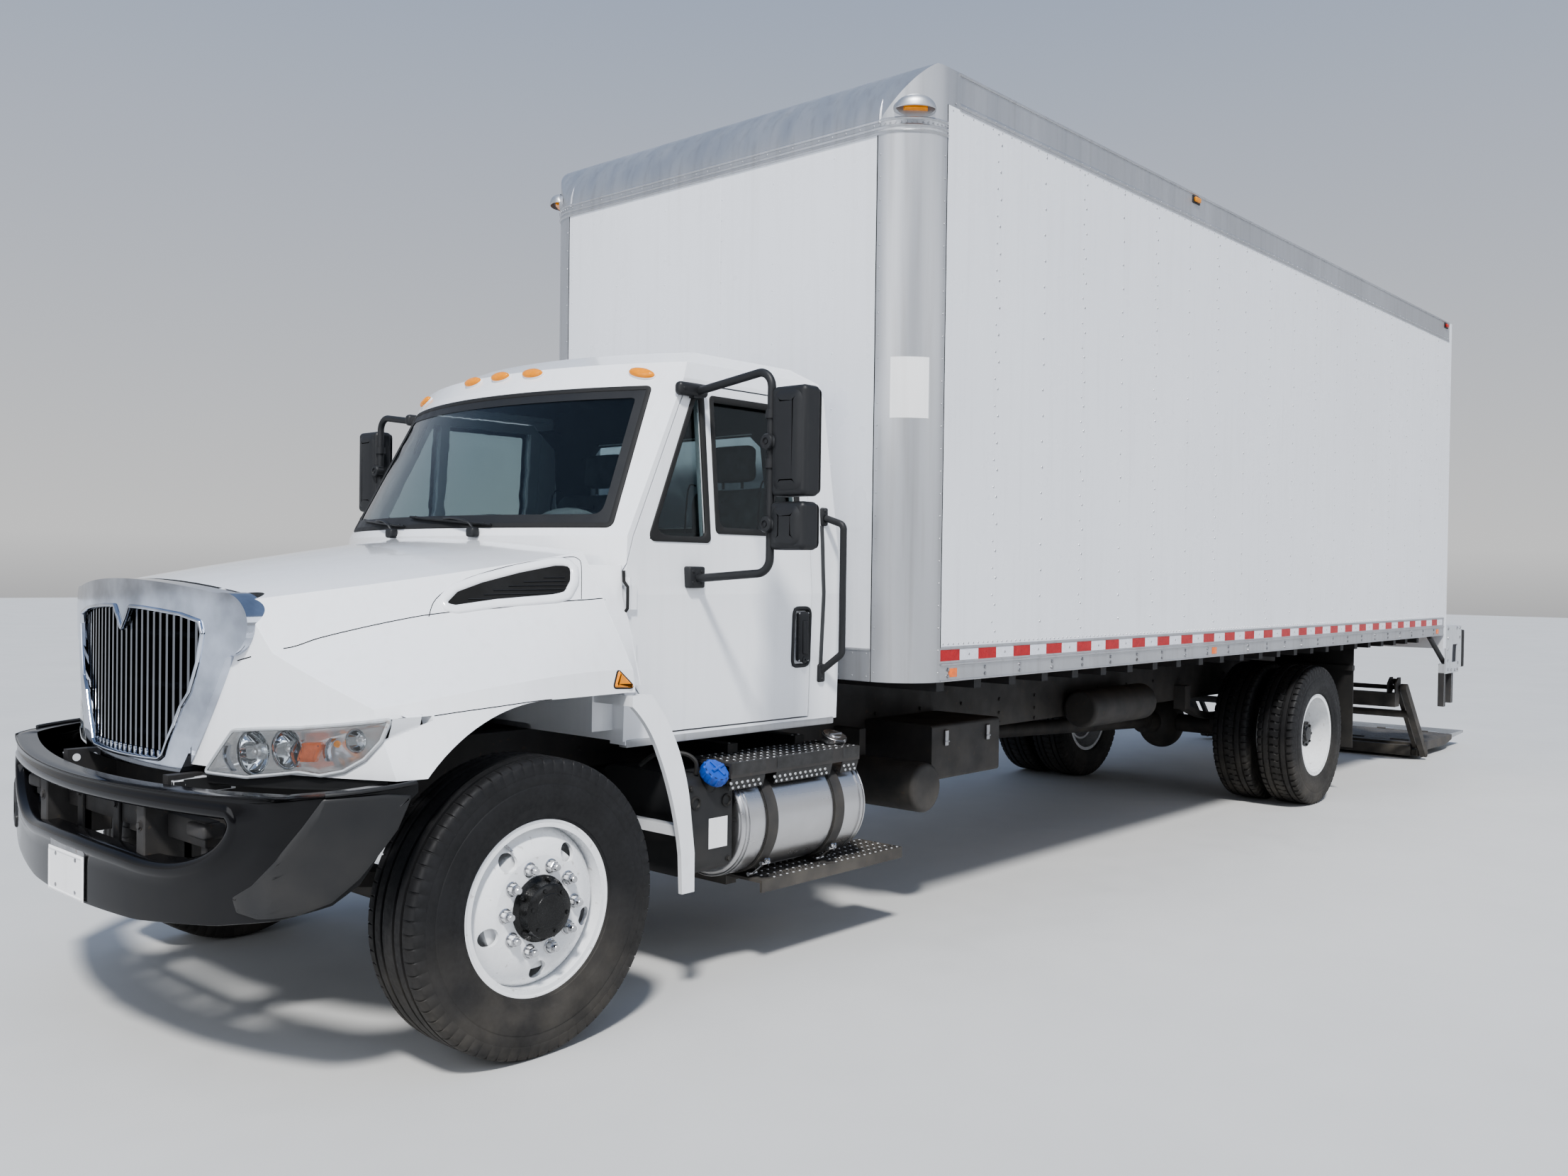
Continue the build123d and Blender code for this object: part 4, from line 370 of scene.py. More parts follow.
def thicken(mesh, depth):
    """Gives an open skin a back and closed edges; depth in metres."""
    bmesh.ops.recalc_face_normals(mesh, faces=mesh.faces)
    mesh.normal_update()
    faces = mesh.faces[:]
    rims = [edge for edge in mesh.edges if len(edge.link_faces) == 1]
    twins = {v: mesh.verts.new(v.co - v.normal * depth) for v in mesh.verts[:]}
    for face in faces:
        mesh.faces.new([twins[v] for v in reversed(face.verts)])
    for edge in rims:
        p, q = edge.verts
        mesh.faces.new((p, q, twins[q], twins[p]))


def smooth_line(points, steps=6):
    """Catmull-Rom points through the given ones."""
    last = len(points) - 1
    made = []
    for i in range(last):
        a, b, c, d = (points[min(max(i + k, 0), last)] for k in (-1, 0, 1, 2))
        for t in (s / steps for s in range(steps)):
            bend = (a * 2 - b * 5 + c * 4 - d) * (0.5 * t * t) + (b * 3 - a - c * 3 + d) * (0.5 * t ** 3)
            made.append(b + (c - a) * (0.5 * t) + bend)
    return made + [points[-1]]


TREES = {}


def tree_of(node_name):
    if node_name not in TREES:
        data = NODES[node_name].data
        TREES[node_name] = BVHTree.FromPolygons([v.co for v in data.vertices], [p.vertices for p in data.polygons])
    return TREES[node_name]


def drop(node_name, start, direction):
    """Where a ray from a point in mm meets a CAD node, and the surface's direction there."""
    return tree_of(node_name).ray_cast(at(*start), Vector(direction))[:2]


def near(node_name, place):
    """The point of a CAD node nearest to a place, and the surface's direction there."""
    return tree_of(node_name).find_nearest(place)[:2]


def over(surface, p, height):
    """Point at a height in mm over a surface."""
    place, normal = surface(p)
    return place + normal * (height * MM)


def rectangle(x0, y0, x1, y1):
    return (x0, y0), (x1, y0), (x1, y1), (x0, y1)


def single(name, builder, paint_name, body, sharp=35.0):
    mesh = bmesh.new()
    builder(mesh)
    return finish_mesh(name, mesh, paint_name, body, sharp)


def pair(name, builder, paint_name, body, sharp=35.0):
    """Builds a piece for the left and its mirror image for the right; body is one name, or one for each side."""
    pieces = []
    for (side, sign), where in zip(SIDES, (body, body) if isinstance(body, str) else body):
        mesh = bmesh.new()
        builder(mesh)
        for v in mesh.verts:
            v.co.y *= sign
        pieces.append(finish_mesh(f"{name}_{side}", mesh, paint_name, where, sharp))
    return pieces


Y = Vector((0, 1, 0))
X = Vector((1, 0, 0))
Z = Vector((0, 0, 1))
SIDES = (("left", 1), ("right", -1))
DOORS = ("left_door", "right_door")

# Camera, floor and lights
camera_data = bpy.data.cameras.new("camera")
camera = bpy.data.objects.new("camera", camera_data)
bpy.context.scene.collection.objects.link(camera)
camera_data.sensor_width = 36.0
camera_data.lens = 30.35
camera_data.clip_end = 200.0
forward = Vector((-0.74570, -0.66616, -0.01278))
right = Vector((-0.66628, 0.74558, 0.01330))
up = Vector((-0.00067, -0.01843, 0.99983))
turn = Matrix((right, up, -forward)).transposed().to_4x4()
camera.matrix_world = Matrix.Translation((8.0727, 4.7120, 1.6462)) @ turn
bpy.context.scene.camera = camera


def floor():
    mesh = bmesh.new()
    bmesh.ops.create_grid(mesh, x_segments=1, y_segments=1, size=60.0)
    data = bpy.data.meshes.new("floor")
    mesh.to_mesh(data)
    mesh.free()
    made = bpy.data.objects.new("floor", data)
    bpy.context.scene.collection.objects.link(made)
    data.materials.append(
        paint("floor_pale", (0.60, 0.60, 0.59), 0.75, tone=0.03, tone_scale=0.8, bump=0.05, grain=30)
    )


floor()

world = bpy.data.worlds.new("studio")
bpy.context.scene.world = world
world.use_nodes = True
sky = world.node_tree
back = sky.nodes["Background"]
back.inputs["Strength"].default_value = 0.62
up_vector = node(sky, "ShaderNodeTexCoord")
split = node(sky, "ShaderNodeSeparateXYZ")
sky.links.new(up_vector.outputs["Generated"], split.inputs[0])
ground = ramp(sky, split.outputs["Z"], -0.04, 0.02)
haze = ramp(sky, split.outputs["Z"], 0.03, 0.55)
open_sky = blended(sky, haze, (1.0, 1.0, 1.0), (0.40, 0.52, 0.76))
all_round = blended(sky, ground, (0.62, 0.62, 0.63), open_sky)
toward = node(sky, "ShaderNodeMath", operation="ADD")
sky.links.new(split.outputs["X"], toward.inputs[0])
sky.links.new(split.outputs["Y"], toward.inputs[1])
front_side = ramp(sky, toward.outputs[0], 0.45, 1.15)
panel = times(sky, ramp(sky, split.outputs["Z"], 0.10, 0.24, 1.0, 0.0), front_side)
sky.links.new(blended(sky, panel, all_round, (0.06, 0.065, 0.07)), back.inputs["Color"])


def light(name, kind, strength, aim, place=(0, 0, 0), **settings):
    """Light at a place in metres, shining along a direction."""
    data = bpy.data.lights.new(name, kind)
    data.energy = strength
    for key, value in settings.items():
        setattr(data, key, value)
    made = bpy.data.objects.new(name, data)
    bpy.context.scene.collection.objects.link(made)
    made.location = place
    made.rotation_euler = Vector(aim).to_track_quat("-Z", "Y").to_euler()


light("key", "SUN", 3.6, (-0.50, -0.46, -0.86), angle=math.radians(7.0), color=(1.0, 0.985, 0.96))
panel_light = {"shape": "RECTANGLE", "size_y": 5.0}
light("fill_front", "AREA", 260, (-10.0, -2.0, -3.5), (14.0, 2.0, 5.0), size=8.0, **panel_light)
light("fill_left", "AREA", 300, (-1.0, -14.0, -4.5), (0.0, 14.0, 6.0), size=14.0, **panel_light)
bpy.context.scene.view_settings.look = "AgX - Medium High Contrast"

# Wheels
TYRE_RADIUS = 505.0
FRONT_AXLE_X, REAR_AXLE_X = 2121.0, -4887.0
STUD_CIRCLE = 142.875
AXLE_END_Y = 1130.0
WHEELS = (
    ("front_left", FRONT_AXLE_X, 1050.0, 1, "front_left_wheel"),
    ("front_right", FRONT_AXLE_X, -1050.0, -1, "front_right_wheel"),
    ("rear_left_outer", REAR_AXLE_X, 1090.0, 1, "rear_left_wheels"),
    ("rear_left_inner", REAR_AXLE_X, 760.0, -1, "rear_left_wheels"),
    ("rear_right_outer", REAR_AXLE_X, -1090.0, -1, "rear_right_wheels"),
    ("rear_right_inner", REAR_AXLE_X, -760.0, 1, "rear_right_wheels"),
)


def tyre_profile(rear):
    """Half section from the bead to the middle of the tread: offset, radius, and 1 or 2 where grooves cross it."""
    half = 137.0
    side = [
        (96, 287, 0), (112, 292, 0), (119, 300, 0), (121, 306, 0), (125, 308, 0), (127, 316, 0), (130, 330, 0),
        (133, 345, 0), (134.5, 348, 0), (134.5, 354, 0), (136, 357, 0), (half, 385, 0), (136, 412, 0),
        (135.5, 415, 0), (134, 417, 0), (134, 421, 0), (135, 424, 0), (133, 444, 0), (131, 452, 0),
        (132, 456, 1), (130, 470, 1), (127, 484, 1), (124, 493, 1), (118, 499, 1), (108, 502.5, 1),
    ]
    if rear:
        tread = [
            (92, 503.5, 1), (89, 503, 1), (87, 491, 0), (78, 491, 0), (76, 503.5, 0), (62, 504.5, 0),
            (48, 504.5, 0), (45, 503.5, 2), (43, 490, 0), (33, 490, 0), (31, 503.5, 2), (16, 505, 2), (0, 505, 0),
        ]
    else:
        tread = [
            (86, 503.5, 0), (84, 503, 0), (82, 489, 0), (73, 489, 0), (71, 503.5, 0), (56, 504.5, 0),
            (42, 504.5, 0), (40, 503, 0), (38, 489, 0), (29, 489, 0), (27, 503.5, 0), (14, 505, 0), (0, 505, 0),
        ]
    return side + tread


def tyre(name, x, y, body, rear):
    """Tyre with rim ribs, a sidewall of rings, and grooves round and across its tread."""
    half = tyre_profile(rear)
    profile = half + [(-o, r, g) for o, r, g in reversed(half[:-1])]
    pitches = 58 if rear else 72
    cuts = (0.0, 0.06, 0.30, 0.36) if rear else (0.0, 0.05, 0.12, 0.17)
    depth = 10.0 if rear else 5.0
    mesh = bmesh.new()
    rings = []
    for offset, radius, group in profile:
        lean = 0.012 * (1 if offset > 0 else -1) * (abs(offset) - 60) / 60 if rear and group else 0.0
        ring = []
        for i in range(pitches):
            for k, cut in enumerate(cuts):
                a = 2 * math.pi * (i + cut) / pitches + lean
                r = radius - (depth if group and k in (1, 2) else 0.0)
                ring.append(mesh.verts.new(at(x + math.cos(a) * r, y + offset, TYRE_RADIUS + math.sin(a) * r)))
        rings.append(ring)
    bridge(mesh, rings + rings[:1], True)
    return finish_mesh(f"tyre_{name}", mesh, "tyre", body, sharp=28.0)


for label, x, y, out, body in WHEELS:
    made = tyre(label, x, y, body, "rear" in label)
    side = "left" if "left" in label else "right"
    if "front" in label:
        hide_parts(f"front_tyre_{side}")
    elif "outer" in label:
        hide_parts(f"rear_tyres_{side}")


def wheel_pieces(side, sign, axle, x, face, middle, body):
    """Nuts, hub, valve and rim lip of a wheel; face is its disc's outer face and middle its tyre's middle."""
    out = Y * sign

    def spot(angle, radius, y):
        a = math.radians(angle)
        return at(x + radius * math.cos(a), y * sign, TYRE_RADIUS + radius * math.sin(a))

    def nuts(mesh):
        for i in range(10):
            place = spot(36 * i, STUD_CIRCLE, face)
            add_lathe(mesh, ((-1, 25), (3, 25), (5, 22)), place, out, 16)
            add_lathe(mesh, ((2, 19.5), (23, 19.5), (25.5, 17), (25.5, 12)), place, out, 6, 0.3 * i)
            add_lathe(mesh, ((20, 11.6), (41, 11.6), (43.2, 10), (43.2, 0)), place, out, 12)

    def hub_cover(mesh):
        profile = ((-4, 112), (4, 112), (8, 104), (14, 96), (30, 93), (50, 91), (54, 86), (58, 60), (60, 58), (62, 0))
        add_lathe(mesh, profile, spot(0, 0, face), out, 40)
        for i in range(6):
            add_bolt(mesh, spot(60 * i + 12, 74, face + 55), out, 7, 6, 0)
        for i in range(5):
            add_lathe(mesh, ((-10, 9), (14, 8), (18, 5), (18, 0)), spot(72 * i + 30, 100, face + 12), out, 8)

    def axle_flange(mesh):
        profile = ((-160, 84), (-8, 84), (-6, 92), (6, 92), (8, 88), (8, 60), (20, 50), (22, 0))
        add_lathe(mesh, profile, spot(0, 0, AXLE_END_Y), out, 40)
        for i in range(8):
            add_bolt(mesh, spot(45 * i, 78, AXLE_END_Y + 8), out, 9, 8, 0)

    def valve(mesh):
        start = at(x + 120, (face - 70) * sign, TYRE_RADIUS + 235)
        end = at(x + 108, (face - 8) * sign, TYRE_RADIUS + 205)
        add_tube(mesh, smooth_line([start, start.lerp(end, 0.5) + Vector((0.006, 0, 0.006)), end]), 4.5, 8)

    def lip(mesh):
        profile = ((104, 286), (114.5, 286), (117, 290), (117, 297), (114, 300.5), (108, 300.5))
        add_lathe(mesh, profile, spot(0, 0, middle), out, 96)

    single(f"wheel_nuts_{axle}_{side}", nuts, "nut_steel", body)
    centre_name, centre = ("hub_cover", hub_cover) if axle == "front" else ("axle_flange", axle_flange)
    single(f"{centre_name}_{side}", centre, "grease_black", body)
    single(f"valve_{axle}_{side}", valve, "nut_steel", body)
    single(f"rim_lip_{axle}_{side}", lip, "wheel_white", body)


for side, sign in SIDES:
    wheel_pieces(side, sign, "front", FRONT_AXLE_X, 1168.0, 1050.0, f"front_{side}_wheel")
    wheel_pieces(side, sign, "rear", REAR_AXLE_X, 939.0, 1090.0, f"rear_{side}_wheels")
for rim_node in ("front_rim_left", "front_rim_right", "rear_rims_left", "rear_rims_right"):
    repaint(rim_node, "wheel_white")

# Load body
WALL_Y = 1295.5
FRONT_X = 222.0
CORNER = 222.0
CORNER_Y = WALL_Y - CORNER
ROOF_CURVE_Z, ROOF_RADIUS = 3640.0, 300.0
FOOT, INCH = 304.8, 25.4
POST_PITCH = 16 * INCH
RIVET_PITCH = 5 * INCH
TAPE_PERIOD = 6 * INCH
FRONT_BANDS = ((3594, 9), (3618, 6), (3650, 6))
WALL_REAR = -7660.0


def add_channel(mesh, section, x0, x1):
    """Bar along X with a section of (y, z) points."""
    ends = [[mesh.verts.new(at(x, y, z)) for y, z in section] for x in (x0, x1)]
    bridge(mesh, ends, True)
    mesh.faces.new(ends[0])
    mesh.faces.new(ends[1])


def bead(y, z0, z1, proud):
    """Section of a rib on the side wall with rounded edges."""
    return [(y - 1, z0), (y + proud * 0.6, z0), (y + proud, z0 + 2), (y + proud, z1 - 2), (y + proud * 0.6, z1),
        (y - 1, z1)]


def around_corner(z, proud=0.0, steps=12):
    """Line in metres round the left front corner of the body, from the side wall to the front wall."""
    line = []
    r = CORNER + proud
    rise = max(z - ROOF_CURVE_Z, 0.0)
    inset = ROOF_RADIUS - math.sqrt(ROOF_RADIUS ** 2 - rise ** 2)
    for i in range(steps + 1):
        a = math.pi / 2 * i / steps
        line.append(at((r - inset) * math.sin(a), CORNER_Y + r * math.cos(a), z))
    return line


def side_rivets(mesh):
    for i in range(18):
        x = -440 - POST_PITCH * i
        for k in range(19):
            z = 1375 + RIVET_PITCH * k + (40 if i % 2 else 0)
            if z < 3710:
                add_dome(mesh, at(x + (3 if k % 2 else -3), WALL_Y, z), Y, 7.0, 3.2, 6)
            z = 1420 + RIVET_PITCH * k
            if i % 2 == 0 and z < 3710:
                add_dome(mesh, at(x + 26, WALL_Y, z), Y, 6.0, 2.6, 6)
    for i in range(188):
        add_dome(mesh, at(-20 - 40.6 * i, WALL_Y, 1327), Y, 5.4, 2.8, 6)
    for i in range(94):
        x = -40 - 81.2 * i
        add_dome(mesh, at(x, WALL_Y, 3718), Y, 4.2, 2.4, 6)
        add_dome(mesh, at(x - 20, WALL_Y + 2.5, 3752), Y, 4.6, 2.6, 6)


def post_rivets(mesh):
    for i in range(24):
        z = 1200 + 100 * i
        add_dome(mesh, at(16, WALL_Y, z), Y, 4.8, 2.6, 6)
        add_dome(mesh, at(FRONT_X, 1090, z), X, 4.8, 2.6, 6)
    line = around_corner(3632, 6.0, 14)
    for a, b in zip(line, line[1:]):
        middle = (a + b) / 2
        normal = (b - a).cross(Z).normalized()
        if normal.y + normal.x < 0:
            normal = -normal
        add_dome(mesh, middle, normal, 4.6, 2.6, 6)


def seams(mesh):
    add_box(mesh, (-2.5, WALL_Y - 1, 1312), (2.0, WALL_Y + 0.6, 3735))
    add_box(mesh, (FRONT_X - 1, 1071, 1157), (FRONT_X + 0.7, 1075.5, 3600))


pair("side_rivets", side_rivets, "rivet_grey", "chassis")
pair("post_rivets", post_rivets, "body_aluminium", "chassis")
pair("body_seams", seams, "gap_black_and_painted_shade", "chassis")


def rail_parts(mesh):
    ribs = ((1305, 1316, 5), (1229, 1241, 8), (1157, 1165, 6), (3731, 3740, 5), (3742, 3764, 2.5), (3886, 3899, 6))
    for z0, z1, proud in ribs:
        add_channel(mesh, bead(WALL_Y, z0, z1, proud), 0.0 if z0 < 3000 else -92.0, WALL_REAR)
    for z, proud in FRONT_BANDS:
        add_strip(mesh, [around_corner(z - 7, 0.5), around_corner(z, proud), around_corner(z + 7, 0.5)])


def rail_bolts(mesh):
    for i in range(25):
        x = -60 - FOOT * i
        add_bolt(mesh, at(x, WALL_Y, 1181), Y, 7.5, 6.5)
        add_bolt(mesh, at(x, WALL_Y, 1211), Y, 7.5, 6.5)
        add_dome(mesh, at(-228.6 - FOOT * i, WALL_Y + 0.8, 1276), Y, 6, 3, 8)


def tape(even):
    def make(mesh):
        for i in range(even, 50, 2):
            x0 = -1.5 - TAPE_PERIOD * i
            x1 = max(x0 - 151.8, WALL_REAR + 2)
            add_box(mesh, (x1, WALL_Y - 0.4, 1250.6), (x0, WALL_Y + 0.8, 1301.4), 0.3, 1)
    return make


pair("body_rails", rail_parts, "body_aluminium", "chassis")
pair("rail_bolts", rail_bolts, "bare_steel", "chassis")
pair("tape_red", tape(0), "tape_red", "chassis")
pair("tape_white", tape(1), "tape_white", "chassis")


def rail_reflectors(mesh):
    for x in (-100, -2900, -7480):
        add_box(mesh, (x - 32, WALL_Y - 0.5, 1176), (x + 32, WALL_Y + 3.5, 1216), 2)


def top_lamp_at(x):
    def lens(mesh):
        add_box(mesh, (x - 36, WALL_Y + 3, 3846), (x + 36, WALL_Y + 20, 3874), 7, 3)

    def base(mesh):
        add_box(mesh, (x - 48, WALL_Y - 1, 3838), (x + 48, WALL_Y + 6, 3882), 3, 2)
    return lens, base


pair("rail_reflectors", rail_reflectors, "orange_reflector_painted_glow", "chassis")
for label, x, color in (("middle", -2536, "amber_lens"), ("rear", -7560, "red_lens")):
    lens, base = top_lamp_at(x)
    pair(f"side_lamp_{label}", lens, color, "chassis")
    pair(f"side_lamp_base_{label}", base, "black_plastic", "chassis")


def corner_point(a, b, c):
    """Point at the corner lamp: a along the wall, b up, c outwards."""
    along, out = Vector((-1, 1, 0)).normalized(), Vector((1, 1, 0)).normalized()
    return at(153, 1226.5, 3701) + along * (a * MM) + Z * (b * MM) + out * (c * MM)


def corner_hood(mesh):
    """Cowl over the lamp on the front corner."""
    lines = []
    for b in [math.pi / 2 * i / 8 for i in range(9)]:
        line = []
        for a in [math.pi * j / 16 for j in range(17)]:
            high = 62 * math.sin(a) * math.cos(b) ** 0.8 - 14
            line.append(corner_point(92 * math.cos(a), high, 6 + 62 * math.sin(a) * math.sin(b)))
        lines.append(line)
    inner = [[p + Vector((-0.0028, -0.0028, -0.003)) for p in line] for line in lines]
    for rows in (lines, inner, [lines[-1], inner[-1]]):
        add_strip(mesh, rows)


def corner_base(mesh):
    rows = []
    for wide, tall, deep in ((96, 52, -14), (88, 44, 8)):
        rows.append([corner_point(wide * math.cos(a), tall * math.sin(a) - 6, deep) for a in around(32)])
    add_strip(mesh, rows, True, cap=True)


def corner_lens(mesh):
    lines = []
    for b, c, s in ((-20, 8, 1.0), (-20, 26, 0.98), (-14, 36, 0.93), (2, 38, 0.93), (10, 30, 0.97), (12, 8, 1.0)):
        lines.append([corner_point(a * s, b - 2, c - abs(a) * 0.10) for a in (-54, -50, -34, -17, 0, 17, 34, 50, 54)])
    rows = add_strip(mesh, lines)
    mesh.faces.new([row[0] for row in rows])
    mesh.faces.new([row[-1] for row in rows])


pair("corner_hood", corner_hood, "body_aluminium", "chassis", sharp=50)
pair("corner_lamp_base", corner_base, "body_aluminium", "chassis")
pair("corner_lens", corner_lens, "amber_lens", "chassis")


def blank_sign(mesh):
    r = CORNER + 1.2
    angles = [0.42 + 0.066 * k for k in range(13)]
    heights = (2330, 2342, 2588, 2600)
    add_strip(mesh, [[at(r * math.sin(a), CORNER_Y + r * math.cos(a), z) for a in angles] for z in heights])


single("height_sign", blank_sign, "sign_white", "chassis")


def front_wall(mesh):
    for i, y in enumerate((-1045, -675, -300, 75, 450, 825)):
        for k in range(18):
            z = 1330 + RIVET_PITCH * k + (45 if i % 2 else 0)
            if z < 3580:
                add_dome(mesh, at(FRONT_X, y, z), X, 4.8, 2.6, 6)
        if y == 75:
            for k in range(22):
                add_dome(mesh, at(FRONT_X + 1, y + 32, 1340 + 4 * INCH * k), X, 4.4, 2.4, 6)
    add_box(mesh, (FRONT_X - 1, 52, 1312), (FRONT_X + 1.2, 98, 3598), 0.8, 1)


def front_band(mesh):
    add_box(mesh, (FRONT_X - 1, -1072, 1158), (FRONT_X + 2.2, 1072, 1306), 1.5, 1)
    add_box(mesh, (FRONT_X - 1, -1072, 1294), (FRONT_X + 6, 1072, 1306), 2.5, 2)
    for i in range(27):
        add_dome(mesh, at(FRONT_X + 2.2, -1050 + 80.8 * i, 1282), X, 4.6, 2.6, 6)
        add_dome(mesh, at(FRONT_X + 2.2, -1050 + 80.8 * i, 1180), X, 4.6, 2.6, 6)
        add_dome(mesh, at(FRONT_X, -1050 + 80.8 * i, 3632), X, 4.8, 2.8, 6)
    for z, proud in FRONT_BANDS:
        add_strip(mesh, [[at(FRONT_X + c, y, z + b) for y in (-CORNER_Y, CORNER_Y)] for b, c in ((-7, 0.5), (0,
            proud), (7, 0.5))])


single("front_wall_rivets", front_wall, "body_white", "chassis")
single("front_wall_band", front_band, "body_aluminium", "chassis")


def cap_ribs(mesh):
    """Joints of the cast corner caps over the front edge."""
    for y in (CORNER_Y, -CORNER_Y):
        rows = []
        for w, proud in ((-8, 0.5), (0, 5.0), (8, 0.5)):
            r = ROOF_RADIUS + proud
            rows.append([
                at(-78 + r * math.cos(a), y + w + 10, ROOF_CURVE_Z + (r - (y / WALL_Y) ** 2 * 40) * math.sin(a))
                for a in [math.pi / 2 * k / 13 for k in range(14)]
            ])
        add_strip(mesh, rows)


single("cap_joints", cap_ribs, "body_aluminium", "chassis")


# Rear of the load body
REAR_X = -7740.0


def rear_hardware(mesh):
    """Hinges of the roll-up door between its slats."""
    first, face = 1239, -7731
    pitch = (ROOF_CURVE_Z - 0.3 - first) / 9
    for z in [first + pitch * i for i in range(1, 9)]:
        for y in (-1080, -540, 0, 540, 1080):
            for low, high in ((z - 42, z - 8), (z + 8, z + 42)):
                add_box(mesh, (face - 6, y - 35, low), (face, y + 35, high), 2, 1)
            add_tube(mesh, [at(face - 6, y - 34, z), at(face - 6, y + 34, z)], 6, 8)
            for a in (-18, 18):
                for b in (-25, 25):
                    add_dome(mesh, at(face - 6, y + a, z + b), -X, 5, 3, 6)


def rear_bolts(mesh):
    for sign in (-1, 1):
        for k in range(12):
            add_bolt(mesh, at(REAR_X, sign * 1262, 1180 + 215 * k), -X, 8, 6)
    for k in range(15):
        add_bolt(mesh, at(REAR_X, -1120 + 160 * k, 3680), -X, 8, 6)


single("rollup_hinges", rear_hardware, "bare_steel", "chassis")
single("rear_bolts", rear_bolts, "bare_steel", "chassis")


def rear_lamps(mesh):
    for y in (-1080, -180, 0, 180, 1080):
        add_box(mesh, (REAR_X - 16, y - 55, 3760), (REAR_X + 1, y + 55, 3790), 6, 3)


def tail_lamps(mesh):
    for y, z in ((-1150, 1110), (-1010, 1110)):
        for sign in (-1, 1):
            add_lathe(mesh, ((-2, 50), (10, 50), (17, 44), (20, 30), (21, 0)), at(REAR_X, y * sign, z), -X, 28)


def tail_lamp_rings(mesh):
    for y in (-1150, -1010, 1010, 1150):
        add_lathe(mesh, ((-2, 64), (9, 64), (12, 60), (12, 51), (8, 49)), at(REAR_X, y, 1110), -X, 28)


def rear_tape(even):
    def make(mesh):
        for i in range(even, 14, 2):
            y0 = -1066 + TAPE_PERIOD * i
            add_box(mesh, (REAR_X - 0.8, y0 + 1, 1180), (REAR_X + 0.4, y0 + 151, 1231), 0.3, 1)
    return make


single("rear_marker_lamps", rear_lamps, "red_lens", "chassis")
single("tail_lamps", tail_lamps, "red_lens", "chassis")
single("tail_lamp_rings", tail_lamp_rings, "black_rubber", "chassis")
single("rear_tape_red", rear_tape(0), "tape_red", "chassis")
single("rear_tape_white", rear_tape(1), "tape_white", "chassis")

# Cab surfaces and outlines
NOSE_X, NOSE_RADIUS = 2985.0, 2280.4
SIDE_LINE = ((1000, 985), (1550, 1000), (1640, 993), (1770, 985), (2405, 930))


def side_surface(p):
    """Point and direction of the cab's left side for flat (x, z)."""
    x, z = p
    z = max(z, 1000.0)
    for (z0, y0), (z1, y1) in zip(SIDE_LINE, SIDE_LINE[1:]):
        if z <= z1 or z1 == 2405:
            slope = (y1 - y0) / (z1 - z0)
            return at(x, y0 + slope * (z - z0), z), Vector((0, 1, -slope)).normalized()


def shield_x(y, z):
    t = (z - 1770) / 635
    half, side, mid = 985 - 55 * t, 1590 - 335 * t, 1832 - 342 * t
    sag = mid - side
    radius = (half * half + sag * sag) / (2 * sag)
    return mid - radius + math.sqrt(radius * radius - y * y)


def shield_surface(p):
    y, z = p
    here = at(shield_x(y, z), y, z)
    across = at(shield_x(y + 5, z), y + 5, z) - here
    up_run = at(shield_x(y, z + 5), y, z + 5) - here
    return here, across.cross(up_run).normalized()


def nose_surface(gap):
    def surface(p):
        y, z = p
        x = NOSE_X + gap - NOSE_RADIUS + math.sqrt(NOSE_RADIUS ** 2 - y * y)
        return at(x, y, z), Vector((x - NOSE_X - gap + NOSE_RADIUS, y, 0)).normalized()
    return surface


def hood_side(p):
    place, normal = drop("hood_shell", (p[0], 1400, p[1]), (0, -1, 0))
    if place is None or normal.y < 0.5:
        return near("hood_shell", at(p[0], 1110 if p[1] < 1400 else 900, p[1]))
    return place, normal


def outline_rows(points, radii, step=60.0, arc=6):
    """The same closed outline with several corner radii and matching points."""
    made = []
    corners_of = [Vector(p) for p in points]
    turns = list(zip(corners_of, corners_of[-1:] + corners_of[:-1], corners_of[1:] + corners_of[:1]))
    for radius in radii:
        sizes = radius if isinstance(radius, (tuple, list)) else [radius] * len(points)
        corners = []
        for (here, before, after), r in zip(turns, sizes):
            back, ahead = before - here, after - here
            cut = min(r / math.tan(back.angle(ahead) / 2), back.length * 0.48, ahead.length * 0.48)
            start, end = here + back.normalized() * cut, here + ahead.normalized() * cut
            shares = [s / arc for s in range(arc + 1)]
            corners.append([start * (1 - t) ** 2 + here * (2 * t * (1 - t)) + end * t * t for t in shares])
        row = []
        for (here, _, after), corner, following in zip(turns, corners, corners[1:] + corners[:1]):
            count = int((after - here).length / step)
            row += corner + [corner[-1].lerp(following[0], k / (count + 1)) for k in range(1, count + 1)]
        made.append(row)
    return made


def outward(row):
    """Flat outward direction at each point of a closed outline."""
    area = sum(a.x * b.y - b.x * a.y for a, b in zip(row, row[1:] + row[:1]))
    sign = 1 if area > 0 else -1
    runs = [(b - a).normalized() for a, b in zip(row[-1:] + row[:-1], row[1:] + row[:1])]
    return [Vector((run.y, -run.x)) * sign for run in runs]


def ring_lines(row, surface, section):
    """Lines beside a closed outline on a surface, one for each (outward offset, height) in mm."""
    lines = [[] for _ in section]
    for p, out in zip(row, outward(row)):
        base, normal = surface(p + out * 3)
        side = (surface(p + out * 9)[0] - base).normalized()
        for line, (offset, height) in zip(lines, section):
            line.append(base + side * ((offset - 3) * MM) + normal * (height * MM))
    return lines


def flat_lines(row, section):
    """Lines beside a closed (y, z) outline, one for each (outward offset, x) in mm."""
    return [[at(x, *(p + out * offset)) for p, out in zip(row, outward(row))] for offset, x in section]


def add_ring(mesh, row, surface, section, cap=False):
    add_strip(mesh, ring_lines(row, surface, section), True, cap)


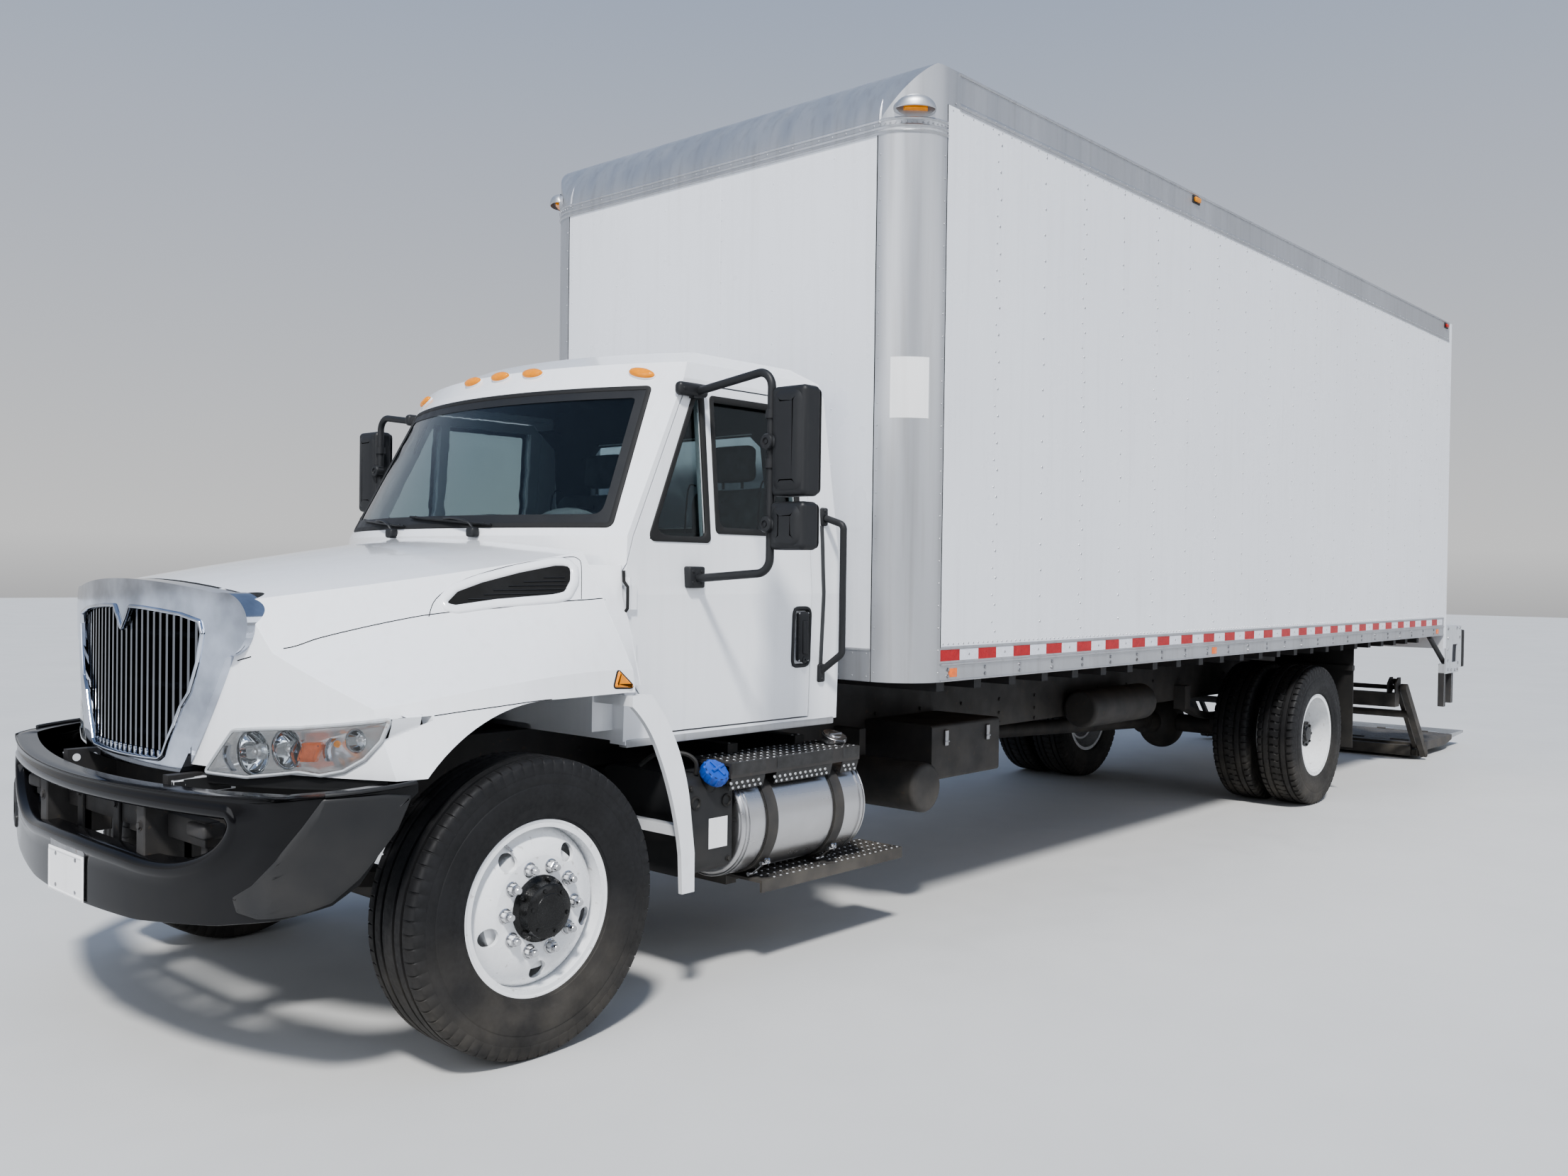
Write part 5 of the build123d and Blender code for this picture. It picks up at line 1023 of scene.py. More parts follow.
def add_gasket(mesh, points, sharp_radius, soft_radius, wide):
    """Rubber section over the edge of an opening in the cab's side, with softer corners inside."""
    hard, soft = outline_rows(points, (sharp_radius, soft_radius))
    lines = ring_lines(hard, side_surface, ((9, 0.4), (7, 4.8), (2, 6)))
    lines += ring_lines(soft, side_surface, ((-4, 6), (-wide * 0.7, 3.6), (-wide, -1.0), (-wide, -7.0)))
    add_strip(mesh, lines, True)


def add_groove(mesh, node_name, points, width):
    """Thin dark line drawn on a node's surface through points in mm."""
    places = [near(node_name, p) for p in smooth_line([at(*p) for p in points], 5)]
    lines = [[], []]
    for behind, (place, normal), ahead in zip(places[:1] + places, places, places[1:] + places[-1:]):
        side = (ahead[0] - behind[0]).normalized().cross(normal).normalized()
        for line, sign in zip(lines, (-1, 1)):
            line.append(place + side * (sign * width / 2 * MM) + normal * 0.0007)
    add_strip(mesh, lines)


QUARTER = ((1478, 1762), (1160, 1762), (1160, 2340), (1205, 2340))
WINDOW = ((1112, 1800), (610, 1800), (610, 2340), (1112, 2340))
SHIELD = ((-905, 1812), (905, 1812), (815, 2362), (-815, 2362))


def door_gaskets(mesh):
    add_gasket(mesh, QUARTER, (20, 14, 14, 14), (70, 50, 20, 30), 16)
    add_gasket(mesh, WINDOW, 14, (60, 40, 36, 20), 18)


def shield_border(mesh):
    hard, soft = outline_rows(SHIELD, (12, 75), 50)
    lines = ring_lines(hard, shield_surface, ((5, 1.0), (0, 1.4)))
    lines += ring_lines(soft, shield_surface, ((-22, 1.5), (-46, 1.5)))
    add_strip(mesh, lines, True)


def shield_moulding(mesh):
    row = outline_rows(SHIELD, (14,), 50)[0]
    add_ring(mesh, row, shield_surface, ((13, 0.4), (11, 4.0), (2, 5.5), (-7, 4.0), (-9, 1.2)))


pair("window_gaskets", door_gaskets, "black_rubber", DOORS)
single("windshield_border", shield_border, "black_plastic", "chassis")
single("windshield_moulding", shield_moulding, "black_rubber", "chassis")


def shield_point(y, z, height):
    return over(shield_surface, (y, z), height)


def wipers(mesh):
    for shift in (0, -560):
        def on_glass(*points):
            return [shield_point(y + shift, z, height) for y, z, height in points]

        def blade_z(y):
            return 1846 - (y + 140) * 0.072

        blade = range(-140, 401, 30)
        add_tube(mesh, on_glass(*[(y, blade_z(y), 8) for y in blade]), 4.0, 6)
        add_tube(mesh, on_glass(*[(y, blade_z(y), 20 - abs(y - 130) * 0.022) for y in blade]), 5.0, 6)
        arm = on_glass((330, 1786, 22), (300, 1806, 40), (215, 1822, 38), (130, 1829, 24))
        add_tube(mesh, smooth_line(arm), 8.0, 8, flat=0.6)
        x = shield_x(330 + shift, 1786)
        add_box(mesh, (x + 2, 306 + shift, 1764), (x + 40, 354 + shift, 1802), 10, 3)
        for y in (-100, 30, 230, 360):
            add_tube(mesh, on_glass((y - 12, blade_z(y), 10), (y + 12, blade_z(y), 18)), 4.5, 6)


single("wipers", wipers, "black_plastic", "chassis", sharp=50)

HANDLE = ((550, 1240), (660, 1240), (660, 1490), (550, 1490))


def handle_pocket(mesh):
    row = outline_rows(HANDLE, (34,), 80)[0]
    add_ring(mesh, row, side_surface, ((7, 0.3), (5, 5), (0, 7), (-6, 6), (-9, -2), (-11, -13)), True)


def handle_lever(mesh):
    add_box(mesh, (572, 988, 1258), (638, 1017, 1474), 13, 4)
    add_box(mesh, (590, 1012, 1292), (620, 1024, 1436), 7, 3)
    add_lathe(mesh, ((-4, 15), (5, 15), (7, 12), (7, 4), (3, 3.4), (3, 0)), at(605, 1014, 1268), Y, 18)


pair("handle_pocket", handle_pocket, "black_plastic", DOORS)
pair("handle_lever", handle_lever, "black_plastic", DOORS, sharp=45)


def door_marks(mesh):
    """The small screws near the door's edge."""
    for z in (1452, 2010):
        place, normal = side_surface((560, z))
        add_lathe(mesh, ((-1, 11), (3, 10), (5, 6), (5, 0)), place, normal, 12)


def sill_strip(mesh):
    add_box(mesh, (372, 944, 976), (1585, 989, 1006), 4, 2)
    for k in range(6):
        add_box(mesh, (380, 947 + 7 * k, 1005), (1577, 950 + 7 * k, 1008), 1, 1)


def grab_feet(mesh):
    for x, z in ((445, 1886), (470, 1204)):
        y = side_surface((x, z))[0].y / MM
        add_box(mesh, (x - 22, y - 6, z - 40), (x + 22, y + 13, z + 40), 9, 3)
        for b in (-26, 26):
            add_dome(mesh, at(x, y + 13, z + b), Y, 8, 4, 10)


def grab_backing(mesh):
    places = [(470 - 0.72 * k, 1235 + 36 * k) for k in range(18)]
    section = ((-13, 0.3), (-9, 3.5), (9, 3.5), (13, 0.3))
    add_strip(mesh, [[over(side_surface, (x + a, z), b) for x, z in places] for a, b in section])


pair("door_screws", door_marks, "grease_black", DOORS)
pair("sill_strip", sill_strip, "body_aluminium", "chassis")
pair("grab_feet", grab_feet, "black_plastic", "chassis", sharp=50)
pair("grab_backing", grab_backing, "dash_grey", "chassis")


# Mirrors
def mirror_plates(mesh):
    for corners in ((1384, 1945, 1524, 2316), (1380, 1742, 1519, 1888)):
        row = outline_rows(rectangle(*corners), (16,), 120)[0]
        add_strip(mesh, flat_lines(row, ((0, 1128.6),)), True, cap=True)


def mirror_rims(mesh):
    for corners in ((1378, 1938, 1530, 2323), (1374, 1735, 1525, 1895)):
        row = outline_rows(rectangle(*corners), (20,), 120)[0]
        add_strip(mesh, flat_lines(row, ((4, 1131), (4, 1126), (-1, 1124), (-6, 1126), (-7, 1129))), True)


def mirror_clamps(mesh):
    for z in (2130, 1820):
        for axis, place in ((X, at(1228, 1358, z)), (Y, at(1203, 1383, z))):
            add_lathe(mesh, ((-26, 30), (6, 31), (12, 27), (14, 15), (9, 13), (9, 8), (12, 7), (12, 0)), place, axis,
                24)
    for z in (2050, 2236):
        add_lathe(mesh, ((-17, 20), (-17, 23), (17, 23), (17, 20)), at(1205, 1355, z), Z, 20)
    add_box(mesh, (1152, 930, 2330), (1312, 972, 2384), 18, 4)
    add_box(mesh, (1216, 984, 1575), (1302, 1026, 1660), 9, 3)
    for x, z in ((1236, 1640), (1282, 1596), (1282, 1640), (1236, 1596)):
        add_dome(mesh, at(x, 1025, z), Y, 8, 5, 10)
    for x in (1176, 1288):
        add_dome(mesh, at(x, 971, 2357), Y, 8, 5, 10)


def head_ribs(mesh):
    """Raised back shell of each mirror head."""
    for corners in ((1392, 1952, 1517, 2310), (1388, 1748, 1512, 1884)):
        row = outline_rows(rectangle(*corners), (34,), 60)[0]
        add_strip(mesh, flat_lines(row, ((8, 1224), (0, 1229), (-14, 1233), (-34, 1235))), True, cap=True)


pair("mirror_faces", mirror_plates, "mirror_glass", DOORS)
pair("mirror_rims", mirror_rims, "black_plastic", DOORS)
pair("mirror_clamps", mirror_clamps, "black_plastic", DOORS, sharp=45)
pair("mirror_shells", head_ribs, "black_plastic", DOORS, sharp=60)


# Hood
HOOD_SEAM = (
    (2901, 614, 1338), (2823, 761, 1381), (2717, 787, 1412), (2607, 812, 1438), (2492, 836, 1462), (2373, 859, 1482),
    (2251, 886, 1495), (2125, 913, 1504), (1991, 936, 1518), (1851, 960, 1528), (1735, 978, 1535), (1625, 990, 1543),
)
SCOOP_LINE = (
    (2364, 866, 1477), (2316, 835, 1536), (2208, 821, 1596), (2068, 832, 1639), (1930, 854, 1669), (1793, 885, 1687),
    (1755, 899, 1682), (1751, 916, 1651), (1792, 968, 1535),
)
LIP_SEAM = ((2640, 1140, 1170), (2540, 1135, 1175), (2429, 1151, 1185), (2296, 1155, 1192), (2150, 1150, 1199),
    (2060, 1146, 1201))
SLOT = ((2290, 1520), (2235, 1560), (2137, 1592), (1990, 1628), (1850, 1655), (1789, 1656), (1812, 1600),
    (1850, 1560), (1900, 1550),
        (2112, 1534), (2262, 1514))
FENDER_LAMP = ((1733, 1284), (1761, 1220), (1652, 1214))


def hood_lines(mesh):
    for points, width in ((HOOD_SEAM, 3.4), (SCOOP_LINE, 2.6), (LIP_SEAM, 2.8)):
        add_groove(mesh, "hood_shell", points, width)


def scoop_surface(p):
    """Surface over the intake, from points above and below it."""
    x, z = p
    high, n_high = hood_side((x, 1690 - (x - 1800) * 0.2))
    low, n_low = hood_side((x, 1500))
    t = (z * MM - low.z) / (high.z - low.z)
    return low.lerp(high, t), n_low.lerp(n_high, t).normalized()


def scoop_ring(mesh):
    row = outline_rows(SLOT, (26,), 40, 3)[0]
    add_ring(mesh, row, scoop_surface, ((36, -6), (33, 3), (25, 8), (12, 9.5), (2, 7), (-3, 0), (-5, -8)))


# Near-black sheet over the intake behind its slats: painted shade for the shaded inside of the intake.
def scoop_painted_shade(mesh):
    row = outline_rows(SLOT, (26,), 40, 3)[0]
    lines = ring_lines(row, scoop_surface, ((5, 1.6), (-3, 2.0)))
    spine = [Vector((p.x, 1530 + (2290 - p.x) * 0.14)) for p in row]
    for share in (0.3, 0.6, 0.9, 1.0):
        lines.append([over(scoop_surface, p.lerp(q, share), 2) for p, q in zip(row, spine)])
    add_strip(mesh, lines, True)


def scoop_mesh(mesh):
    """Slats across the intake, following the hood's side."""
    for k in range(9):
        line = []
        for x in range(1830, 2270, 20):
            reach = 2290 - x
            z = 1532 + 14 * k + reach * 0.02
            if 1526 + reach * 0.055 < z < 1512 + reach * 0.29 - max(0, reach - 300) * 0.12:
                line.append(over(scoop_surface, (x, z), 4))
        if len(line) > 2:
            add_tube(mesh, line, 1.6, 4)


def fender_lens(mesh):
    row = outline_rows(FENDER_LAMP, (9,), 30, 4)[0]
    add_ring(mesh, row, hood_side, ((-1, -0.5), (-2, 4), (-6, 7), (-14, 9)), True)


def fender_lens_base(mesh):
    row = outline_rows(FENDER_LAMP, (10,), 30, 4)[0]
    add_ring(mesh, row, hood_side, ((4, -0.3), (3, 2.4), (-1, 3), (-3, 1)))


pair("hood_seams", hood_lines, "gap_black_and_painted_shade", "hood")
pair("scoop_ring", scoop_ring, "cab_white", "hood", sharp=60)
pair("scoop_painted_shade", scoop_painted_shade, "gap_black_and_painted_shade", "hood")
pair("scoop_mesh", scoop_mesh, "black_plastic", "hood")
pair("fender_lens", fender_lens, "amber_lens", "hood", sharp=50)
pair("fender_lens_base", fender_lens_base, "black_rubber", "hood")


# Nose
def circle_through(a, b, c):
    """Centre and radius of the circle through three flat points."""
    d = 2 * (a[0] * (b[1] - c[1]) + b[0] * (c[1] - a[1]) + c[0] * (a[1] - b[1]))
    s = [p[0] ** 2 + p[1] ** 2 for p in (a, b, c)]
    x = (s[0] * (b[1] - c[1]) + s[1] * (c[1] - a[1]) + s[2] * (a[1] - b[1])) / d
    y = (s[0] * (c[0] - b[0]) + s[1] * (a[0] - c[0]) + s[2] * (b[0] - a[0])) / d
    return x, y, math.hypot(a[0] - x, a[1] - y)


def plan_curve():
    """Bumper's plan line as (distance along it, x, y), from the middle to the left end."""
    made = []
    for a, b, c in (((3000, -1060), (3175, 0), (3000, 1060)), ((3000, 1060), (2880, 1150), (2600, 1192))):
        x, y, radius = circle_through(a, b, c)
        first = 0.0 if not made else math.atan2(a[1] - y, a[0] - x)
        last = math.atan2(c[1] - y, c[0] - x)
        for i in range(41):
            t = first + (last - first) * i / 40
            made.append((x + radius * math.cos(t), y + radius * math.sin(t)))
    length = 0.0
    table = [(0.0,) + made[0]]
    for p, q in zip(made, made[1:]):
        length += math.dist(p, q)
        table.append((length,) + q)
    return table


PLAN = plan_curve()
PLAN_END = PLAN[-1][0]


def plan_at(u):
    a = min(abs(u), PLAN_END)
    for p, q in zip(PLAN, PLAN[1:]):
        if a <= q[0] and q[0] > p[0]:
            t = (a - p[0]) / (q[0] - p[0])
            run = Vector((q[1] - p[1], q[2] - p[2])).normalized()
            x, y = p[1] + (q[1] - p[1]) * t, p[2] + (q[2] - p[2]) * t
            break
    sign = -1 if u < 0 else 1
    return x, y * sign, Vector((run.y, -run.x * sign, 0)).normalized()


def bumper_surface(p):
    x, y, normal = plan_at(p[0])
    return at(x, y, p[1]) - normal * 0.009, normal


def bumper_low(u):
    """Lower edge of the bumper along its length."""
    a = abs(u)
    for (u0, z0), (u1, z1) in zip(BUMPER_EDGE, BUMPER_EDGE[1:]):
        if a <= u1:
            return z0 + (z1 - z0) * (a - u0) / (u1 - u0)
    return BUMPER_EDGE[-1][1]


BUMPER_EDGE = ((0, 515), (430, 518), (820, 556), (1090, 604), (1240, 640), (1330, 700), (PLAN_END - 40, 930),
    (PLAN_END, 955))


def bumper_top(u):
    return 938 + 0.0000205 * u * u


MOUTH_HALF = ((0, 712), (300, 705), (475, 697), (620, 706), (740, 736), (822, 776), (872, 822), (893, 868),
    (872, 900))


def bumper_skin(mesh):
    """Skin with the wide mouth under its upper bar."""
    lower = smooth_line([Vector(p) for p in MOUTH_HALF], 5)
    top_count = 40
    upper = [Vector((872 - 872 * i / top_count, 900 - 6 * i / top_count)) for i in range(1, top_count + 1)]
    half = lower + upper
    mouth = half + [Vector((-p.x, p.y)) for p in reversed(half[1:-1])]
    side = len(lower)
    edge_low = [Vector((u, bumper_low(u))) for u in [PLAN_END * (i / (side - 6)) ** 0.9 for i in range(side - 5)]]
    edge_side = [Vector((PLAN_END,
        bumper_low(PLAN_END) + (bumper_top(PLAN_END) - bumper_low(PLAN_END)) * i / 5)) for i in range(1, 6)]
    edge_top = [Vector((u, bumper_top(u))) for u in [PLAN_END * (1 - i / top_count) for i in range(1, top_count + 1)]]
    outer_half = edge_low + edge_side + edge_top
    outer = outer_half + [Vector((-p.x, p.y)) for p in reversed(outer_half[1:-1])]
    lines = ring_lines(mouth, bumper_surface,
        ((-24, -70), (-23, -22), (-15, 2), (-2, 8.5), (12, 8.5), (24, 3), (30, 0)))
    outs = outward(mouth)
    inner = [p + o * 30 for p, o in zip(mouth, outs)]
    for t in (0.2, 0.4, 0.6, 0.8, 0.93):
        line = []
        for p, q in zip(inner, outer):
            place, normal = bumper_surface(p.lerp(q, t))
            line.append(place + normal * (7.0 * MM if q.y > 900 and t > 0.7 and abs(q.x) < PLAN_END - 1 else 0.0))
        lines.append(line)
    for inset, height in ((3, -1), (0, -9), (-1, -34), (-2, -70)):
        line = []
        for q, o in zip(outer, outward(outer)):
            place, normal = bumper_surface(q)
            line.append(place + normal * (height * MM) - Z * (inset * MM if q.y > 900 else -inset * MM))
        lines.append(line)
    add_strip(mesh, lines, True)
    thicken(mesh, 0.005)


def bumper_frame(mesh):
    add_box(mesh, (2990, -700, 770), (3040, 700, 850), 6, 2)
    for y in (-410, 410):
        add_box(mesh, (2960, y - 30, 640), (3115, y + 30, 880), 4, 1)
        for z in (700, 812):
            add_bolt(mesh, at(3115, y, z), X, 12, 9)
    for y in (-670, 670):
        add_box(mesh, (2985, y - 62, 800), (3060, y + 62, 846), 12, 3)
        add_box(mesh, (3000, y - 20, 700), (3030, y + 20, 805), 3, 1)
    for y in (-250, 60, 250):
        add_box(mesh, (3040, y - 22, 655), (3052, y + 22, 865), 3, 1)
        add_bolt(mesh, at(3052, y, 830), X, 11, 8)
    for y in (-410, 410):
        add_box(mesh, (2890, y - 30, 660), (2990, y + 30, 860), 3, 1)


skin = single("bumper_skin", bumper_skin, "bumper_black", "chassis", sharp=50)
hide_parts("front_bumper")
single("bumper_frame", bumper_frame, "frame_black", "chassis")

END_CAP = ((1212, 960), (1155, 880), (1075, 780), (985, 700), (905, 655), (925, 612), (1010, 602), (1150, 622),
    (1240, 652),
           (1320, 716), (1440, 850), (1492, 948), (1400, 962), (1300, 962))


def bumper_cap(mesh):
    row = outline_rows(END_CAP, (12,), 40, 3)[0]
    lines = ring_lines(row, bumper_surface, ((0, 0.0), (-1, 5), (-5, 7.5), (-14, 8)))
    centre = sum(row, Vector((0, 0))) / len(row)
    inner = [p - (p - centre).normalized() * 14 for p in row]
    for k in range(1, 10):
        lines.append([over(bumper_surface, p.lerp(centre, k * 0.108), 10) for p in inner])
    add_strip(mesh, lines, True, cap=True)


def bumper_line(mesh):
    line = [at(*(plan_at(u)[0] - 4, plan_at(u)[1], bumper_top(u) + 3)) for u in range(1215, int(PLAN_END) - 20, 20)]
    add_tube(mesh, line, 7, 8)


def valance(mesh):
    """Lip between the fender and the bumper."""
    spots = [436 + 28.9 * i for i in range(25)]
    section = ((968, 22), (958, 10), (934, 12), (926, 24))
    add_strip(mesh, [[nose_surface(-inset)((y, z + (y - 470) * 0.045))[0] for y in spots] for z, inset in section])
    thicken(mesh, 0.004)


pair("bumper_cap", bumper_cap, "cap_grey", "chassis")
pair("bumper_edge", bumper_line, "cap_grey", "chassis")
pair("nose_valance", valance, "cap_grey", "hood")


def nose_lip(mesh):
    """Dark lip over the hood's lower edge between the grille and the lamp."""
    for start, run in (("front", -X), ("above", -Z), ("side", -Y)):
        grid = {}
        for i in range(34):
            for k in range(14):
                y = 300 + 8 * i
                source = (3300, y, 902 + 5 * k) if start == "front" else (2965 + 6 * k, y, 985)
                if start == "side":
                    source = (2846 + 6 * i, 520, 902 + 5 * k)
                place, normal = drop("hood_shell", source, run)
                if place and place.z < 0.972 and place.x > at(2830, 0, 0).x and abs(normal.dot(run)) > 0.3:
                    grid[i, k] = mesh.verts.new(place - run * 0.0018)
        for i in range(33):
            for k in range(13):
                places = [(i, k), (i + 1, k), (i + 1, k + 1), (i, k + 1)]
                if all(q in grid for q in places):
                    corners = [grid[q] for q in places]
                    depths = [c.co.dot(run) for c in corners]
                    if max(depths) - min(depths) < 0.03:
                        mesh.faces.new(corners)
        bmesh.ops.delete(mesh, geom=[v for v in mesh.verts if not v.link_faces], context="VERTS")


pair("nose_lip", nose_lip, "cap_grey", "hood")


def blank_plate(mesh):
    add_box(mesh, (3169, -199, 520), (3172, 106, 672), 1.2, 1)
    row = outline_rows(rectangle(-196, 523, 103, 669), (14,), 90)[0]
    add_strip(mesh, flat_lines(row, ((0, 3172), (-3, 3174.5), (-7, 3174.5), (-9, 3172))), True)


def plate_holder(mesh):
    add_box(mesh, (3158, -190, 530), (3169, 96, 700), 3, 1)
    for y in (-130, 40):
        for z in (545, 652):
            add_bolt(mesh, at(3171, y, z), X, 7, 3.5)


single("blank_plate", blank_plate, "sign_white", "chassis")
single("plate_holder", plate_holder, "bare_steel", "chassis")


# Headlamps
LAMP = ((472, 970), (600, 1116), (720, 1129), (860, 1140), (1000, 1157), (1090, 1170), (1148, 1179), (1122, 1110),
    (1073, 1052), (1009, 1012), (935, 994),
        (860, 1000), (760, 984), (660, 969))


LAMP_SURFACE = nose_surface(2)


def lamp_row():
    return outline_rows(LAMP, ((10, 26, 4, 4, 4, 4, 8, 30, 30, 30, 30, 30, 8, 8),), 30, 4)[0]


def shrunk(row, share):
    centre = Vector((800, 1062))
    return [centre + (p - centre) * share for p in row]


def lamp_lines(steps):
    """Closed lines over the lamp for each (share of the outline, height on the nose)."""
    return [[over(LAMP_SURFACE, p, height) for p in shrunk(lamp_row(), share)] for share, height in steps]


def lamp_lens(mesh):
    shares = ((0.985, -10), (0.985, 2), (0.96, 6), (0.8, 7), (0.55, 7.5), (0.28, 8))
    add_strip(mesh, lamp_lines(shares), True, cap=True)
    add_strip(mesh, lamp_lines(((0.985, -10), (0.955, 2), (0.8, 3), (0.55, 3.5), (0.28, 4))), True, cap=True)


def lamp_pan(mesh):
    shares = ((1.0, -1), (0.985, -3), (0.97, -26), (0.90, -66), (0.6, -80), (0.3, -86))
    add_strip(mesh, lamp_lines(shares), True, cap=True)


def lamp_bowls(mesh):
    for y, z, radius in ((676, 1050, 66), (806, 1068, 58), (1035, 1108, 32)):
        place, normal = LAMP_SURFACE((y, z))
        facing = (normal + X * 0.6).normalized()
        profile = [(-76, 9), (-74, 14)]
        for k in range(1, 9):
            r = 14 + (radius - 14) * k / 8
            profile.append((-74 + 52 * (r / radius) ** 2, r))
        profile += [(-20, radius + 3), (-22, radius + 6), (-30, radius + 6)]
        add_lathe(mesh, profile, place, facing, 36)


def lamp_bulbs(mesh):
    for y, z, r in ((676, 1050, 12), (806, 1068, 11), (1035, 1108, 6)):
        place, normal = LAMP_SURFACE((y, z))
        facing = (normal + X * 0.6).normalized()
        add_lathe(mesh, ((-76, r), (-44, r), (-36, r * 0.8), (-32, 0)), place, facing, 16)


def lamp_reflector(mesh):
    row = outline_rows(((846, 1032), (912, 1036), (936, 1096), (868, 1092)), (8,), 20, 3)[0]
    add_ring(mesh, row, LAMP_SURFACE, ((2, -40), (0, -16), (-5, -12), (-12, -11)), True)


def lamp_bulb_amber(mesh):
    place, normal = LAMP_SURFACE((979, 1094))
    add_lathe(mesh, ((-60, 8), (-34, 12), (-24, 10), (-18, 0)), place, normal, 16)


def lamp_trim(mesh):
    """Bright steps inside the lamp."""
    for y0, z0, y1, z1, lean in ((560, 1062, 585, 985, 20), (838, 1016, 846, 1100, 22), (944, 1040, 958, 1112, 16)):
        spine = [(y0 + (y1 - y0) * t - math.sin(math.pi * t) * lean,
            z0 + (z1 - z0) * t) for t in [k / 6 for k in range(7)]]
        section = ((0, -62), (0, -22), (8, -16), (16, -22), (16, -62))
        add_strip(mesh, [[over(LAMP_SURFACE, (y + a, z), b) for y, z in spine] for a, b in section])


def lamp_seal(mesh):
    row = lamp_row()
    add_strip(mesh, ring_lines(row, LAMP_SURFACE, ((5, -2), (4, 5), (-1, 8), (-7, 6), (-9, -4))), True)


for lens in pair("lamp_lens", lamp_lens, "lamp_glass", "hood", sharp=50):
    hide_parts("headlamps")
pair("lamp_pan", lamp_pan, "lamp_silver", "hood", sharp=60)
pair("lamp_bowls", lamp_bowls, "mirror_glass", "hood", sharp=50)
pair("lamp_bulbs", lamp_bulbs, "lamp_silver", "hood")
pair("lamp_reflector", lamp_reflector, "orange_reflector_painted_glow", "hood")
pair("lamp_bulb_amber", lamp_bulb_amber, "amber_lens", "hood")
pair("lamp_trim", lamp_trim, "grille_chrome", "hood", sharp=50)
pair("lamp_seal", lamp_seal, "gate_white", "hood")


# Grille
# Near-black sheet behind the grille: painted shade for the shaded space behind it.
def grille_shade_sheet(mesh):
    spots = [-478 + 956 * i / 24 for i in range(25)]
    back = nose_surface(-42)
    add_strip(mesh, [[back((y * (1.0 if z > 1100 else 0.62), z))[0] for y in spots] for z in (1000, 1200, 1400,
        1470)])
    thicken(mesh, 0.003)


def grille_rim(mesh):
    """Bright bead round the grille's opening, with the notch in its top edge."""
    half = [(0, 1414), (62, 1496), (160, 1494), (260, 1488), (380, 1478), (478, 1458), (490, 1420), (470, 1330),
        (430, 1230), (386, 1180),
            (345, 1110), (312, 1060), (286, 1012), (262, 998), (150, 994), (0, 992)]
    points = half + [(-y, z) for y, z in reversed(half[1:-1])]
    row = outline_rows(points, (10,), 60, 2)[0]
    add_strip(mesh, ring_lines(row, nose_surface(26), ((9, -1), (8, 5), (3, 8), (-3, 7), (-6, 1), (-6, -8))), True)


def bar_tips(mesh):
    for y in range(-280, 281, 40):
        x = station(nose_surface(14)((y, 1008))[0])
        add_box(mesh, (x - 14, y - 9, 996), (x + 4, y + 9, 1024), 5, 2)


single("grille_painted_shade", grille_shade_sheet, "gap_black_and_painted_shade", "hood")
single("grille_rim", grille_rim, "grille_chrome", "hood", sharp=50)
single("grille_bar_tips", bar_tips, "grille_chrome", "hood")
repaint("grille_bars", "dark_chrome")


# Roof lamps over the windshield
ROOF_LAMPS = ((0, 2461), (212, 2457), (-212, 2457), (760, 2424), (-760, 2424))


def roof_lamps(inset, low, high):
    def make(mesh):
        section = ((1.0, low), (1.0, high * 0.45), (0.86, high * 0.8), (0.55, high), (0.2, high * 1.04))
        for y, z in ROOF_LAMPS:
            place, normal = drop("cab_shell", (2400, y, z), (-1, 0, 0))
            tall = normal.cross(Y).normalized() * ((26 - inset) * MM)
            wide = tall.cross(normal).normalized() * ((64 - inset) * MM)
            rows = []
            for share, height in section:
                base = place + normal * (height * MM)
                rows.append([base + (wide * math.cos(t) + tall * math.sin(t)) * share for t in around(28)])
            add_strip(mesh, rows, True, cap=True)
    return make


lamp_domes = single("roof_lamps", roof_lamps(4, 0, 22), "amber_lens", "chassis", sharp=60)
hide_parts("marker_lamps")
single("roof_lamp_bases", roof_lamps(0, -5, 7), "cab_white", "chassis", sharp=60)


# Hood's rear corner and its seal
def hood_corner(mesh):
    """Panel from the hood's slanted rear edge back to the door."""
    edge = ((1656, 1109, 1222), (1656, 1104, 1260), (1662, 1094, 1300), (1664, 1076, 1340), (1672, 1059, 1380),
        (1680, 1040, 1420),
            (1688, 1022, 1460), (1696, 1002, 1500), (1702, 983, 1540), (1706, 963, 1580), (1714, 942, 1620),
            (1722, 920, 1660))
    rows = []
    for t in (0.0, 0.25, 0.5, 0.75, 1.0):
        row = []
        for x, y, z in edge:
            end_y = min(y, 1094 - (z - 1222) * 0.30)
            end_y = max(end_y, 992.0 if z < 1600 else 985.0)
            if z > 1500:
                end_y = max(y, 990 - (z - 1500) * 0.06)
            row.append(at(x + 4 + (1616 - x - 4) * t, y + (end_y - y) * t, z))
        rows.append(row)
    add_strip(mesh, rows)
    add_strip(mesh, [rows[-1], [p - Y * 0.03 for p in rows[-1]]])
    thicken(mesh, 0.004)


def cab_seal(mesh):
    """Rubber strip between the hood and the door."""
    line = []
    for z in range(1200, 1720, 20):
        place, _ = drop("door_left", (1598, 1400, z), (0, -1, 0))
        if place:
            line.append(at(1613, place.y / MM - 1.0, z))
    add_tube(mesh, line, 6, 8)


pair("hood_corner", hood_corner, "cab_white", "hood", sharp=50)
pair("cab_seal", cab_seal, "black_rubber", "chassis")


